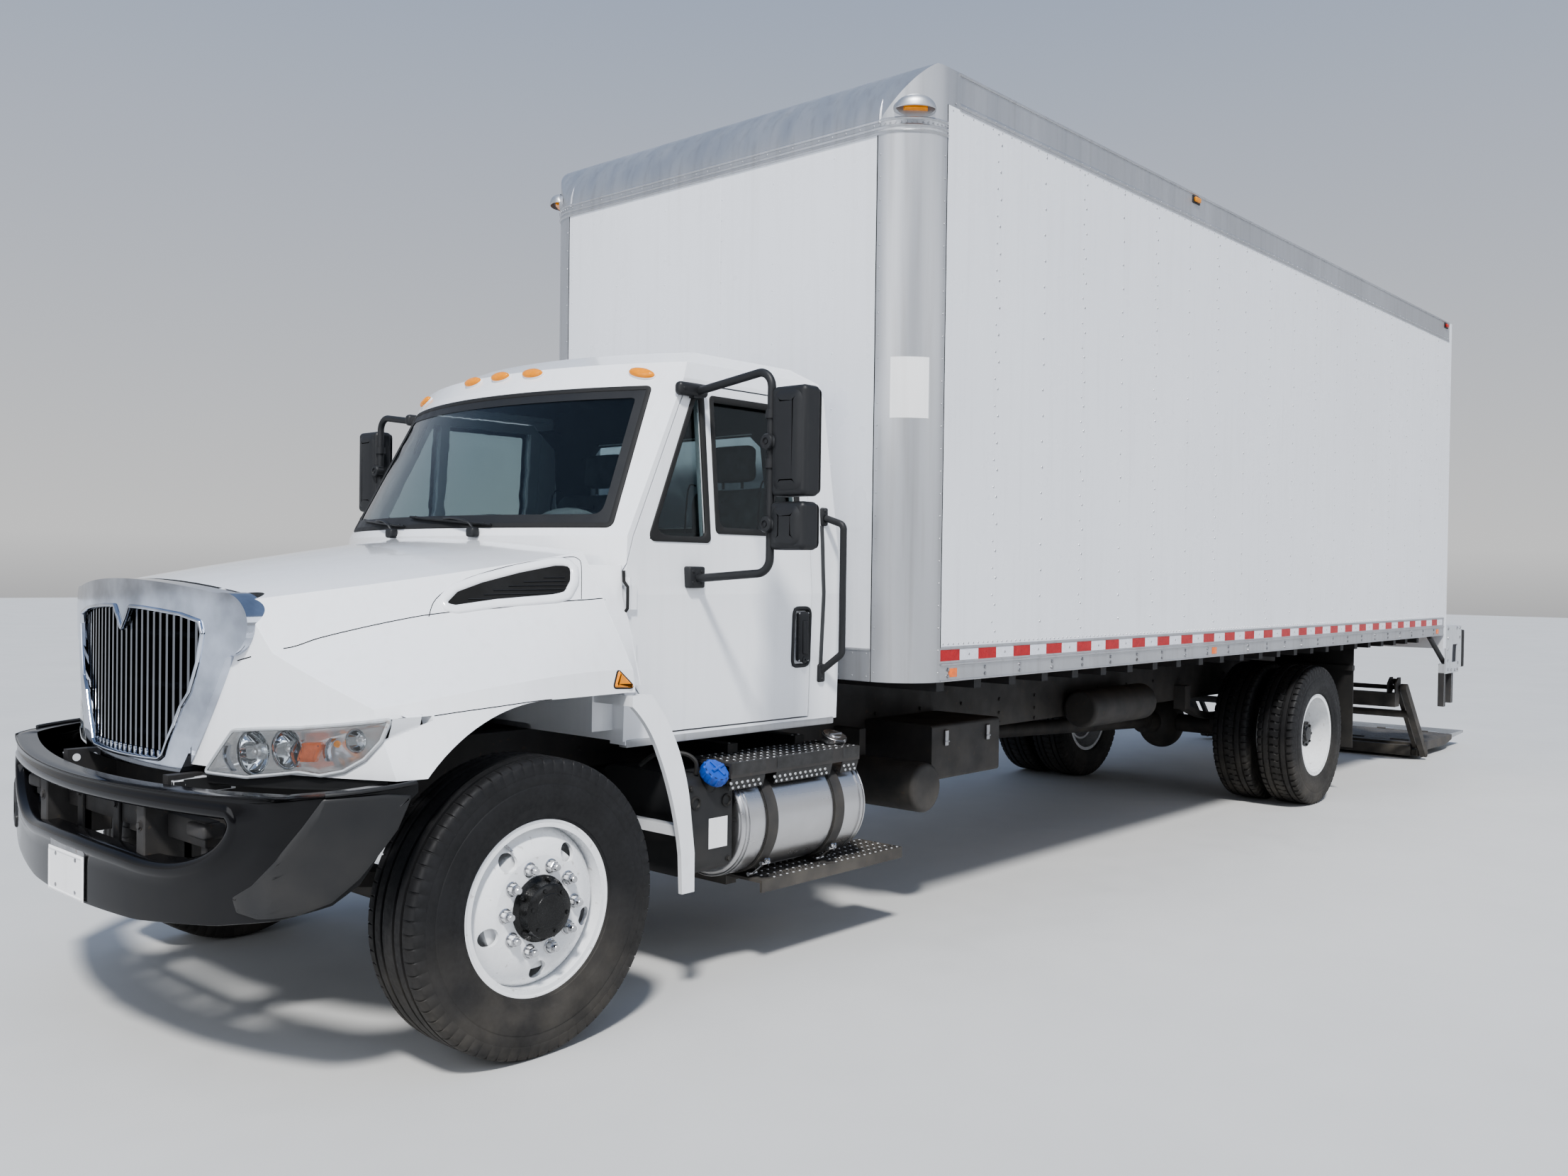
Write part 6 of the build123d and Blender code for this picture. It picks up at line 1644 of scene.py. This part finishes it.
# Cab interior
def lining(mesh):
    """Dark trim on the rear wall."""
    hole = outline_rows(((-625, 1845), (625, 1845), (585, 2275), (-585, 2275)), (40,), 80)[0]
    wall = outline_rows(((-930, 1060), (930, 1060), (880, 2400), (-880, 2400)), (60,), 80)[0]
    count = min(len(hole), len(wall))
    hole, wall = ([row[int(i * len(row) / count)] for i in range(count)] for row in (hole, wall))
    lines = []
    for t in (0.0, 0.3, 0.6, 1.0):
        line = []
        for p, q in zip(hole, wall):
            y, z = p.lerp(q, t)
            place, _ = drop("cab_shell", (900, y, z), (-1, 0, 0))
            x = station(place) if place and station(place) > 300 else 408 - (z - 1900) * 0.03
            line.append(at(x + 6, y, z))
        lines.append(line)
    add_strip(mesh, lines, True)


def roof_lining(mesh):
    rows = []
    for x in range(440, 1341, 60):
        row = []
        for y in range(-845, 846, 65):
            place, _ = drop("cab_shell", (x, y, 2150), (0, 0, 1))
            row.append(at(x, y, (place.z / MM if place and place.z < 2.6 else 2480) - 8))
        rows.append(row)
    add_strip(mesh, rows)


def dash_top(mesh):
    spots = [-905 + 1810 * i / 30 for i in range(31)]
    rows = [[at(x, y, z) for y in spots] for x, z in ((1434, 1690), (1434, 1755), (1446, 1776), (1470, 1784))]
    for t in (0.35, 0.7, 1.0):
        rows.append([at(1470 + (shield_x(y, 1800) - 34 - 1470) * t, y, 1784 + 6 * t) for y in spots])
    add_strip(mesh, rows)


# The mounds are coloured pale: painted highlight for the light along their edges.
def dash_mounds(mesh):
    for y, wide, tall in ((558, 222, 104), (42, 284, 88)):
        lines = []
        for t in [math.pi / 2 * b / 6 for b in range(6)]:
            flat, z = math.cos(t), 1782 + tall * math.sin(t)
            lines.append([at(1530 + 84 * math.cos(a) * flat, y + wide * math.sin(a) * flat, z) for a in around(40)])
        add_strip(mesh, lines, True)
        add_strip(mesh, [lines[-1], [at(1530, y, 1782 + tall)] * 40], True)
    bmesh.ops.remove_doubles(mesh, verts=mesh.verts, dist=0.0002)


def door_trim(mesh):
    """Inner door panel with an armrest."""
    lines = []
    for z, y in ((1060, 936), (1090, 930), (1400, 934), (1450, 905), (1500, 905), (1520, 934), (1740, 930),
        (1780, 922), (1790, 930)):
        lines.append([at(x, y - (8 if 650 < x < 1450 and 1400 < z < 1520 else 0), z) for x in range(600, 1561, 40)])
    add_strip(mesh, lines)


def steering_parts(mesh):
    """Spokes, hub pad and a softer rim on the steering wheel."""
    centre = at(1255, 450, 1710)
    axis = Vector((-math.sin(math.radians(56)), 0, math.cos(math.radians(56))))
    side, rise = frame_of(axis)
    ring = [centre + (side * math.cos(a) + rise * math.sin(a)) * 0.205 for a in around(48)]
    add_tube(mesh, ring, 15, 10, closed=True)
    add_lathe(mesh, ((-30, 60), (0, 68), (14, 60), (20, 36), (21, 0)), centre, axis, 28)
    for a in around(4, math.pi / 4):
        run = side * math.cos(a) + rise * math.sin(a)
        add_tube(mesh, [centre + run * 0.05, centre + run * 0.2], 14, 8, flat=0.5)


def dash_gauges(mesh):
    for y in (340, 450, 560):
        add_lathe(mesh, ((0, 52), (8, 52), (8, 46), (2, 44), (2, 0)), at(1436, y, 1650), -X, 28)
    for y in (-520, -180, 120, 780):
        row = [at(1434, y + 70 * math.cos(a), 1640 + 32 * math.sin(a)) for a in around(24)]
        low = [p - X * 0.007 for p in row]
        add_strip(mesh, [row, low], True)
        mesh.faces.new([mesh.verts.new(p + X * 0.002) for p in low])


single("cab_lining", lining, "dash_grey", "chassis")
single("roof_lining", roof_lining, "dash_grey", "chassis")
single("dash_top", dash_top, "dash_grey", "chassis", sharp=60)
single("dash_mounds", dash_mounds, "dash_painted_highlight", "chassis", sharp=80)
pair("door_trim", door_trim, "dash_grey", DOORS)
single("steering_parts", steering_parts, "black_rubber", "chassis", sharp=60)
single("dash_gauges", dash_gauges, "black_plastic", "chassis")


# Seats
def seat_block(outline, y0, y1):
    """Closed soft block: a side outline (x, z) swept across, a little smaller at its ends."""
    mesh = bmesh.new()
    row = outline_rows(outline, (34,), 60, 4)[0]
    centre = sum(row, Vector((0, 0))) / len(row)
    lines = []
    for t, share in ((0.0, 0.86), (0.03, 0.95), (0.08, 1), (0.3, 1), (0.5, 1), (0.7, 1), (0.92, 1), (0.97, 0.95),
        (1.0, 0.86)):
        y = y0 + (y1 - y0) * t
        lines.append([at(x, y, z) for x, z in [centre + (p - centre) * share for p in row]])
    rows = add_strip(mesh, lines, True, cap=True)
    mesh.faces.new(rows[0])
    bmesh.ops.recalc_face_normals(mesh, faces=mesh.faces)
    return mesh


CLOTH_FRAMES = 20


def soften(mesh, voxel, pressure, reach):
    """Blows a closed block up as cloth and returns its points."""
    data = bpy.data.meshes.new("soft_work")
    mesh.to_mesh(data)
    mesh.free()
    work = bpy.data.objects.new("soft_work", data)
    bpy.context.scene.collection.objects.link(work)
    remesh = work.modifiers.new("remesh", "REMESH")
    remesh.mode = "VOXEL"
    remesh.voxel_size = voxel * MM
    graph = bpy.context.evaluated_depsgraph_get()
    base = bpy.data.meshes.new_from_object(work.evaluated_get(graph))
    work.modifiers.clear()
    work.data = base
    start = [v.co.copy() for v in base.vertices]
    cloth = work.modifiers.new("cloth", "CLOTH")
    cloth.settings.quality = 4
    cloth.settings.mass = 0.3
    cloth.settings.use_pressure = True
    cloth.settings.uniform_pressure_force = pressure
    cloth.settings.effector_weights.gravity = 0.0
    cloth.settings.tension_stiffness = 14
    cloth.settings.compression_stiffness = 14
    cloth.settings.bending_stiffness = 0.6
    cloth.point_cache.frame_start = 1
    cloth.point_cache.frame_end = CLOTH_FRAMES
    for i in range(1, CLOTH_FRAMES + 1):
        bpy.context.scene.frame_set(i)
    graph = bpy.context.evaluated_depsgraph_get()
    blown = bpy.data.meshes.new_from_object(work.evaluated_get(graph))
    moved = [v.co.copy() for v in blown.vertices]
    bpy.data.meshes.remove(blown)
    bpy.context.scene.frame_set(1)
    work.modifiers.clear()
    limit = reach * MM
    for v, a, b in zip(base.vertices, start, moved):
        step = b - a
        if step.length > limit:
            step *= limit / step.length
        v.co = a + step
    made = bmesh.new()
    made.from_mesh(base)
    bpy.data.objects.remove(work)
    return made


def seat_piece(name, outline, y0, y1, reach):
    mesh = soften(seat_block(outline, y0, y1), 14.0, 4.0, reach)
    bmesh.ops.smooth_vert(mesh, verts=mesh.verts, factor=0.5, use_axis_x=True, use_axis_y=True, use_axis_z=True)
    made = finish_mesh(name, mesh, "seat_fabric", "chassis", sharp=70)
    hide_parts("seats")


CUSHION = ((575, 1306), (1085, 1296), (1098, 1418), (575, 1428))
BACKREST = ((452, 1432), (588, 1432), (552, 2028), (452, 2046))
HEADREST = ((458, 2050), (540, 2050), (536, 2216), (462, 2220))
SEATS = (("driver", 470, 250), ("mate", -420, 360))
for label, y, half in SEATS:
    for part, outline, reach_y, give in (
        ("cushion", CUSHION, half - 12, 22), ("backrest", BACKREST, half - 12, 22), ("headrest", HEADREST, 122, 12),
    ):
        seat_piece(f"{part}_{label}", outline, y - reach_y, y + reach_y, give)


def seat_bases(mesh):
    for _, y, half in SEATS:
        add_box(mesh, (600, y - half + 40, 1056), (1040, y + half - 40, 1240), 12, 2)
        add_box(mesh, (565, y - half + 14, 1236), (1078, y + half - 14, 1292), 16, 3)
        for side in (-60, 60):
            add_tube(mesh, [at(500, y + side, 2020), at(500, y + side, 2070)], 7, 10)
        add_box(mesh, (446, y - half + 24, 1440), (470, y + half - 24, 1990), 8, 2)


def seat_seams(mesh):
    """Channels along each cushion and backrest, then the piping of their edges."""
    channels = (((620, 1444), (800, 1440), (1000, 1433), (1088, 1405)), ((596, 1480), (586, 1700), (568, 1960)))
    edges = (
        ((590, 1432), (850, 1430), (1080, 1420), (1100, 1360)),
        ((592, 1450), (582, 1750), (560, 2020), (510, 2042)),
    )
    for _, y, half in SEATS:
        count = 4 if half < 300 else 6
        spots = [(y - half + 2 * half * k / count, channels) for k in range(1, count)]
        spots += [(y + sign * (half - 18), edges) for sign in (-1, 1)]
        for spot, lines in spots:
            for line in lines:
                add_tube(mesh, smooth_line([at(x, spot, z) for x, z in line], 4), 4, 6)


single("seat_bases", seat_bases, "black_plastic", "chassis")
single("seat_seams", seat_seams, "seat_piping", "chassis", sharp=60)


# Fender behind the lamp
LAMP_TIP_COLUMNS, LAMP_TIP_ROWS = 30, 27
INNER_Y = 1.10


def lamp_tip(mesh):
    """Fender's skin behind the headlamp's outer tip, over the side of the solid that the lens replaces."""
    columns = []
    for i in range(LAMP_TIP_COLUMNS):
        column = []
        for k in range(LAMP_TIP_ROWS):
            start = (2500 + 6 * i, 1400, 1060 + 5 * k)
            lamp, skin = (drop(node_name, start, -Y)[0] for node_name in ("headlamps", "hood_shell"))
            in_front = lamp and (not skin or lamp.y > skin.y)
            column.append((lamp, True) if in_front else (skin, False))
        columns.append(column)
    for k in range(LAMP_TIP_ROWS):
        kept = [(i, column[k][0].y) for i, column in enumerate(columns) if column[k][0] and column[k][0].y > INNER_Y]
        for i, column in enumerate(columns):
            place = column[k][0]
            if place and kept and place.y <= INNER_Y:
                place.y = min(kept, key=lambda spot: abs(spot[0] - i))[1] - 0.001
                column[k] = (place, True)
    made = {}

    def corner(i, k):
        if (i, k) not in made:
            made[i, k] = mesh.verts.new(columns[i][k][0] + Y * 0.0006)
        return made[i, k]

    for i in range(LAMP_TIP_COLUMNS - 1):
        for k in range(LAMP_TIP_ROWS - 1):
            places = [(i, k), (i + 1, k), (i + 1, k + 1), (i, k + 1)]
            cells = [columns[a][b] for a, b in places]
            if not all(place for place, _ in cells) or not any(on_lamp for _, on_lamp in cells):
                continue
            depths = [place.y for place, _ in cells]
            if max(depths) - min(depths) < 0.03:
                mesh.faces.new([corner(a, b) for a, b in places])


pair("lamp_tip", lamp_tip, "cab_white", "hood", sharp=60)

# Steps, tanks and their fittings
TANK_Y, TANK_Z, TANK_RADIUS = 885.0, 625.0, 228.0
STRAPS = (480, 905)


def step_skirt(mesh):
    profile = (
        (1098, 888), (1106, 884), (1107, 850), (1101, 812), (1090, 776), (1086, 776), (1097, 812), (1103, 850),
        (1102, 880), (1096, 884),
    )
    for x0, x1 in ((336, 446), (514, 871), (939, 1136)):
        add_channel(mesh, profile, x0, x1)


STEP_TREADS = ((1000, 350, 1125), (600, 0, 915))


def step_places(first_rows, rows, odd):
    """Places in staggered rows on the upper and the lower tread, from the first row's y of each."""
    for (start, low, high), first in zip(STEP_TREADS, first_rows):
        for row in range(rows):
            for k in range(int((high - low) / 40)):
                x = low + 40 * k + (20 if (row + odd) % 2 else 0)
                place, normal = drop("cab_steps", (x, first + 55 * row, start), -Z)
                if place and normal.z > 0.9:
                    yield place


def step_dots(mesh):
    for k in range(25):
        x = 350 + 32 * k
        if 440 < x < 520 or 865 < x < 945:
            continue
        add_dome(mesh, at(x, 1093.5, 787), Vector((0, 0.95, 0.31)), 7.5, 3.5, 8)
        add_dome(mesh, at(x + 16, 1099.5, 806), Vector((0, 0.97, 0.22)), 7.5, 3.5, 8)
    for place in step_places((868, 850), 5, 0):
        add_dome(mesh, place, Z, 6.5, 4.0, 6)


def step_holes(mesh):
    for place in step_places((895, 878), 4, 1):
        add_lathe(mesh, ((-1, 12), (2.5, 11), (2.5, 8), (-0.5, 6.5), (0.4, 0)), place, Z, 10)


single("step_skirt", step_skirt, "perforated", "chassis")
single("step_dots", step_dots, "dot_silver", "chassis")
single("step_holes", step_holes, "perforated", "chassis")


def on_tank(x, proud, angle):
    r = TANK_RADIUS + proud
    return at(x, TANK_Y + r * math.cos(angle), TANK_Z + r * math.sin(angle))


def tank_beads(mesh):
    """Weld beads round the tank's ends and along it."""
    for x in (302, 1052):
        add_tube(mesh, [on_tank(x, 1, a) for a in around(48)], 3.2, 6, True)
    add_tube(mesh, [on_tank(x, 0.5, math.radians(-72)) for x in (304, 1050)], 2.6, 6)


def strap_bolts(mesh):
    a = math.radians(-52)
    out, along = Vector((0, math.cos(a), math.sin(a))), Vector((0, -math.sin(a), math.cos(a)))
    for x in STRAPS:
        middle = at(x, TANK_Y, TANK_Z) + out * 0.252
        for side in (-0.045, 0.045):
            centre = middle + along * side
            add_tube(mesh, [centre - X * 0.024, centre + X * 0.024], 9, 10)
        add_tube(mesh, [middle - along * 0.06, middle + along * 0.075], 5.5, 8)
        add_bolt(mesh, middle + along * 0.058, along, 9, 9)


def strap_edges(mesh):
    """Rubber under the straps, just wider than they are."""
    angles = [math.radians(-120 + 250 * k / 32) for k in range(33)]
    for x in STRAPS:
        for side in (-31.5, 31.5):
            add_tube(mesh, [on_tank(x + side, 3, a) for a in angles], 3.4, 6)


single("tank_beads", tank_beads, "tank_aluminium", "chassis")
single("strap_bolts", strap_bolts, "nut_steel", "chassis")
single("strap_edges", strap_edges, "black_rubber", "chassis")

CAP_AXIS = Vector((0, 0.666, 0.746)).normalized()


def fluid_cap(mesh):
    side, up = frame_of(CAP_AXIS)
    base = at(1205, 1065, 840)
    runs = [side * math.cos(a) + up * math.sin(a) for a in around(48)]
    rings = []
    for offset, radius, wave in ((-6, 53, 0), (4, 57, 2.5), (32, 56, 2.5), (40, 50, 1.0), (43, 40, 0), (43, 12, 0)):
        centre = base + CAP_AXIS * (offset * MM)
        sizes = [radius + wave * (1 if k % 4 < 2 else -1) for k in range(48)]
        rings.append([centre + run * (r * MM) for run, r in zip(runs, sizes)])
    add_strip(mesh, rings, True, cap=True)
    middle = base + CAP_AXIS * 0.046
    for turn in (0.3, 0.3 + math.pi / 2):
        run = side * math.cos(turn) + up * math.sin(turn)
        add_tube(mesh, [middle - run * 0.038, middle + run * 0.038], 7, 8)


def fluid_label(mesh):
    add_box(mesh, (1112, 1059.4, 552), (1216, 1061.2, 672), 0.7, 1)


def fluid_fittings(mesh):
    for x, z in ((1120, 735), (1290, 742)):
        add_lathe(mesh, ((0, 26), (5, 25), (7, 20), (-2, 15), (-3, 0)), at(x, 1060, z), Y, 20)
    for x in (1104, 1316):
        add_bolt(mesh, at(x, 1060, 500), Y, 10, 8)
        add_bolt(mesh, at(x, 1060, 800), Y, 10, 8)
    add_tube(mesh, smooth_line([at(1260, 1030, 850), at(1270, 1036, 900), at(1300, 1000, 930), at(1370, 930, 930),
        at(1400, 860, 880)]), 9, 8)


single("fluid_cap", fluid_cap, "cap_blue", "chassis", sharp=30)
single("fluid_label", fluid_label, "sign_white", "chassis")
single("fluid_fittings", fluid_fittings, "black_rubber", "chassis")


def filler_cap(mesh):
    centre = at(360, 983, 909)
    axis = (centre - at(360, TANK_Y, TANK_Z)).normalized()
    add_lathe(mesh, ((-2, 56), (10, 56), (16, 50), (16, 30), (20, 28), (20, 0)), centre, axis, 30)
    side = frame_of(axis)[0]
    add_tube(mesh, [centre + axis * 0.020 - side * 0.04, centre + axis * 0.020 + side * 0.04], 6, 8)


single("filler_cap", filler_cap, "bare_steel", "chassis")

# Liftgate
repaint("flip_plate", "gate_aluminium")


def tread(mesh):
    """Raised lozenges over the platform."""
    for i in range(21):
        for j in range(48):
            place, normal = drop("platform", (-8240 - 41 * i, -966 + 41.2 * j, 400), -Z)
            if not place or normal.z <= 0.9:
                continue
            lean = 0.7 if (i + j) % 2 else -0.7
            long, short = Vector((0.7, lean, 0)) * 0.013, Vector((-lean, 0.7, 0)) * 0.0038
            top = mesh.verts.new(place + Z * 0.0022)
            low = [mesh.verts.new(place + p - Z * 0.0003) for p in (long, short, -long, -short)]
            for a, b in zip(low, low[1:] + low[:1]):
                mesh.faces.new((a, b, top))


def flip_ribs(mesh):
    """Fine grip ribs of the extruded section."""
    for k in range(24):
        x = -9120 - 18 * k
        place, _ = drop("flip_plate", (x, 0, 400), (0, 0, -1))
        if place:
            z = place.z / MM
            add_box(mesh, (x - 3, -972, z - 0.5), (x + 3, 972, z + 1.6))


GATE_BOLTS = (
    (-8150, 1215), (-8060, 1215), (-7790, 1215), (-7790, 1130), (-7790, 1030), (-7790, 930), (-7800, 850),
        (-7900, 845),
    (-8010, 840), (-8085, 845), (-8100, 900), (-8150, 1130),
)


def bolt_on(mesh, node_name, x, z, radius, height):
    """Bolt on the left face of a CAD node, where it has one at this x and z."""
    place, normal = drop(node_name, (x, 1500, z), -Y)
    if place and normal.y > 0.9:
        add_bolt(mesh, place, Y, radius, height)


def gate_bolts(mesh):
    for x, z in GATE_BOLTS:
        bolt_on(mesh, "bed_extension", x, z, 11, 8)


def flap_bars(mesh):
    add_box(mesh, (-5622, 632, 1082), (-5610, 1218, 1124), 3, 1)
    for k in range(6):
        add_bolt(mesh, at(-5622, 660 + 106 * k, 1103), -X, 9, 6)


single("platform_tread", tread, "gate_steel", "fold_platform")
single("flip_ribs", flip_ribs, "gate_aluminium", "flip_section")
pair("gate_bolts", gate_bolts, "nut_steel", "chassis")
pair("flap_bars", flap_bars, "bare_steel", "chassis")


def frame_bolts(mesh):
    """Bolt heads where the crossmembers meet the rails."""
    for k in range(26):
        x = -7450 + 400 * k
        for z in (760, 820, 900):
            place, normal = drop("frame_rails", (x, 700, z), (0, -1, 0))
            if place and normal.y > 0.9:
                add_bolt(mesh, place, Y, 10, 8)


def latch_boxes(mesh):
    """Latches on the boxes beside the frame."""
    for x in (-1060, -680):
        place, _ = drop("battery_box", (x, 1300, 800), (0, -1, 0))
        if place:
            y = place.y / MM
            add_box(mesh, (x - 14, y, 770), (x + 14, y + 12, 850), 3, 1)
            add_tube(mesh, [at(x - 20, y + 9, 792), at(x + 20, y + 9, 792)], 5, 8)


pair("frame_bolts", frame_bolts, "frame_black", "chassis")
single("box_latches", latch_boxes, "bare_steel", "chassis")


def leg_sleeves(mesh):
    """Dark paint on the legs under the side plates, and the strut that braces each plate."""
    for x0, x1, z0 in ((-7786.5, -7738.5, 522), (-8006.5, -7958.5, 543)):
        add_box(mesh, (x0, 1236.5, z0), (x1, 1289.5, 822), 3, 1)
    low, high = at(-7856, 1262, 888), at(-7377, 1262, 1148)
    add_tube(mesh, [low, low.lerp(high, 0.5), high], 24, 12, flat=0.5)
    for end in (low, high):
        add_bolt(mesh, end + Y * 0.012, Y, 13, 9)


def dock_rubber(mesh):
    """Rubber blocks on the rear edges of the side plates."""
    add_box(mesh, (-8289, 1196, 857), (-8207, 1304, 1193), 8, 3)
    for z in (920, 1025, 1130):
        add_lathe(mesh, ((0.5, 18), (1, 12), (-1, 11), (-1, 0)), at(-8289, 1250, z), -X, 16)


pair("leg_sleeves", leg_sleeves, "gate_steel", "chassis")
pair("dock_rubber", dock_rubber, "black_rubber", "chassis")
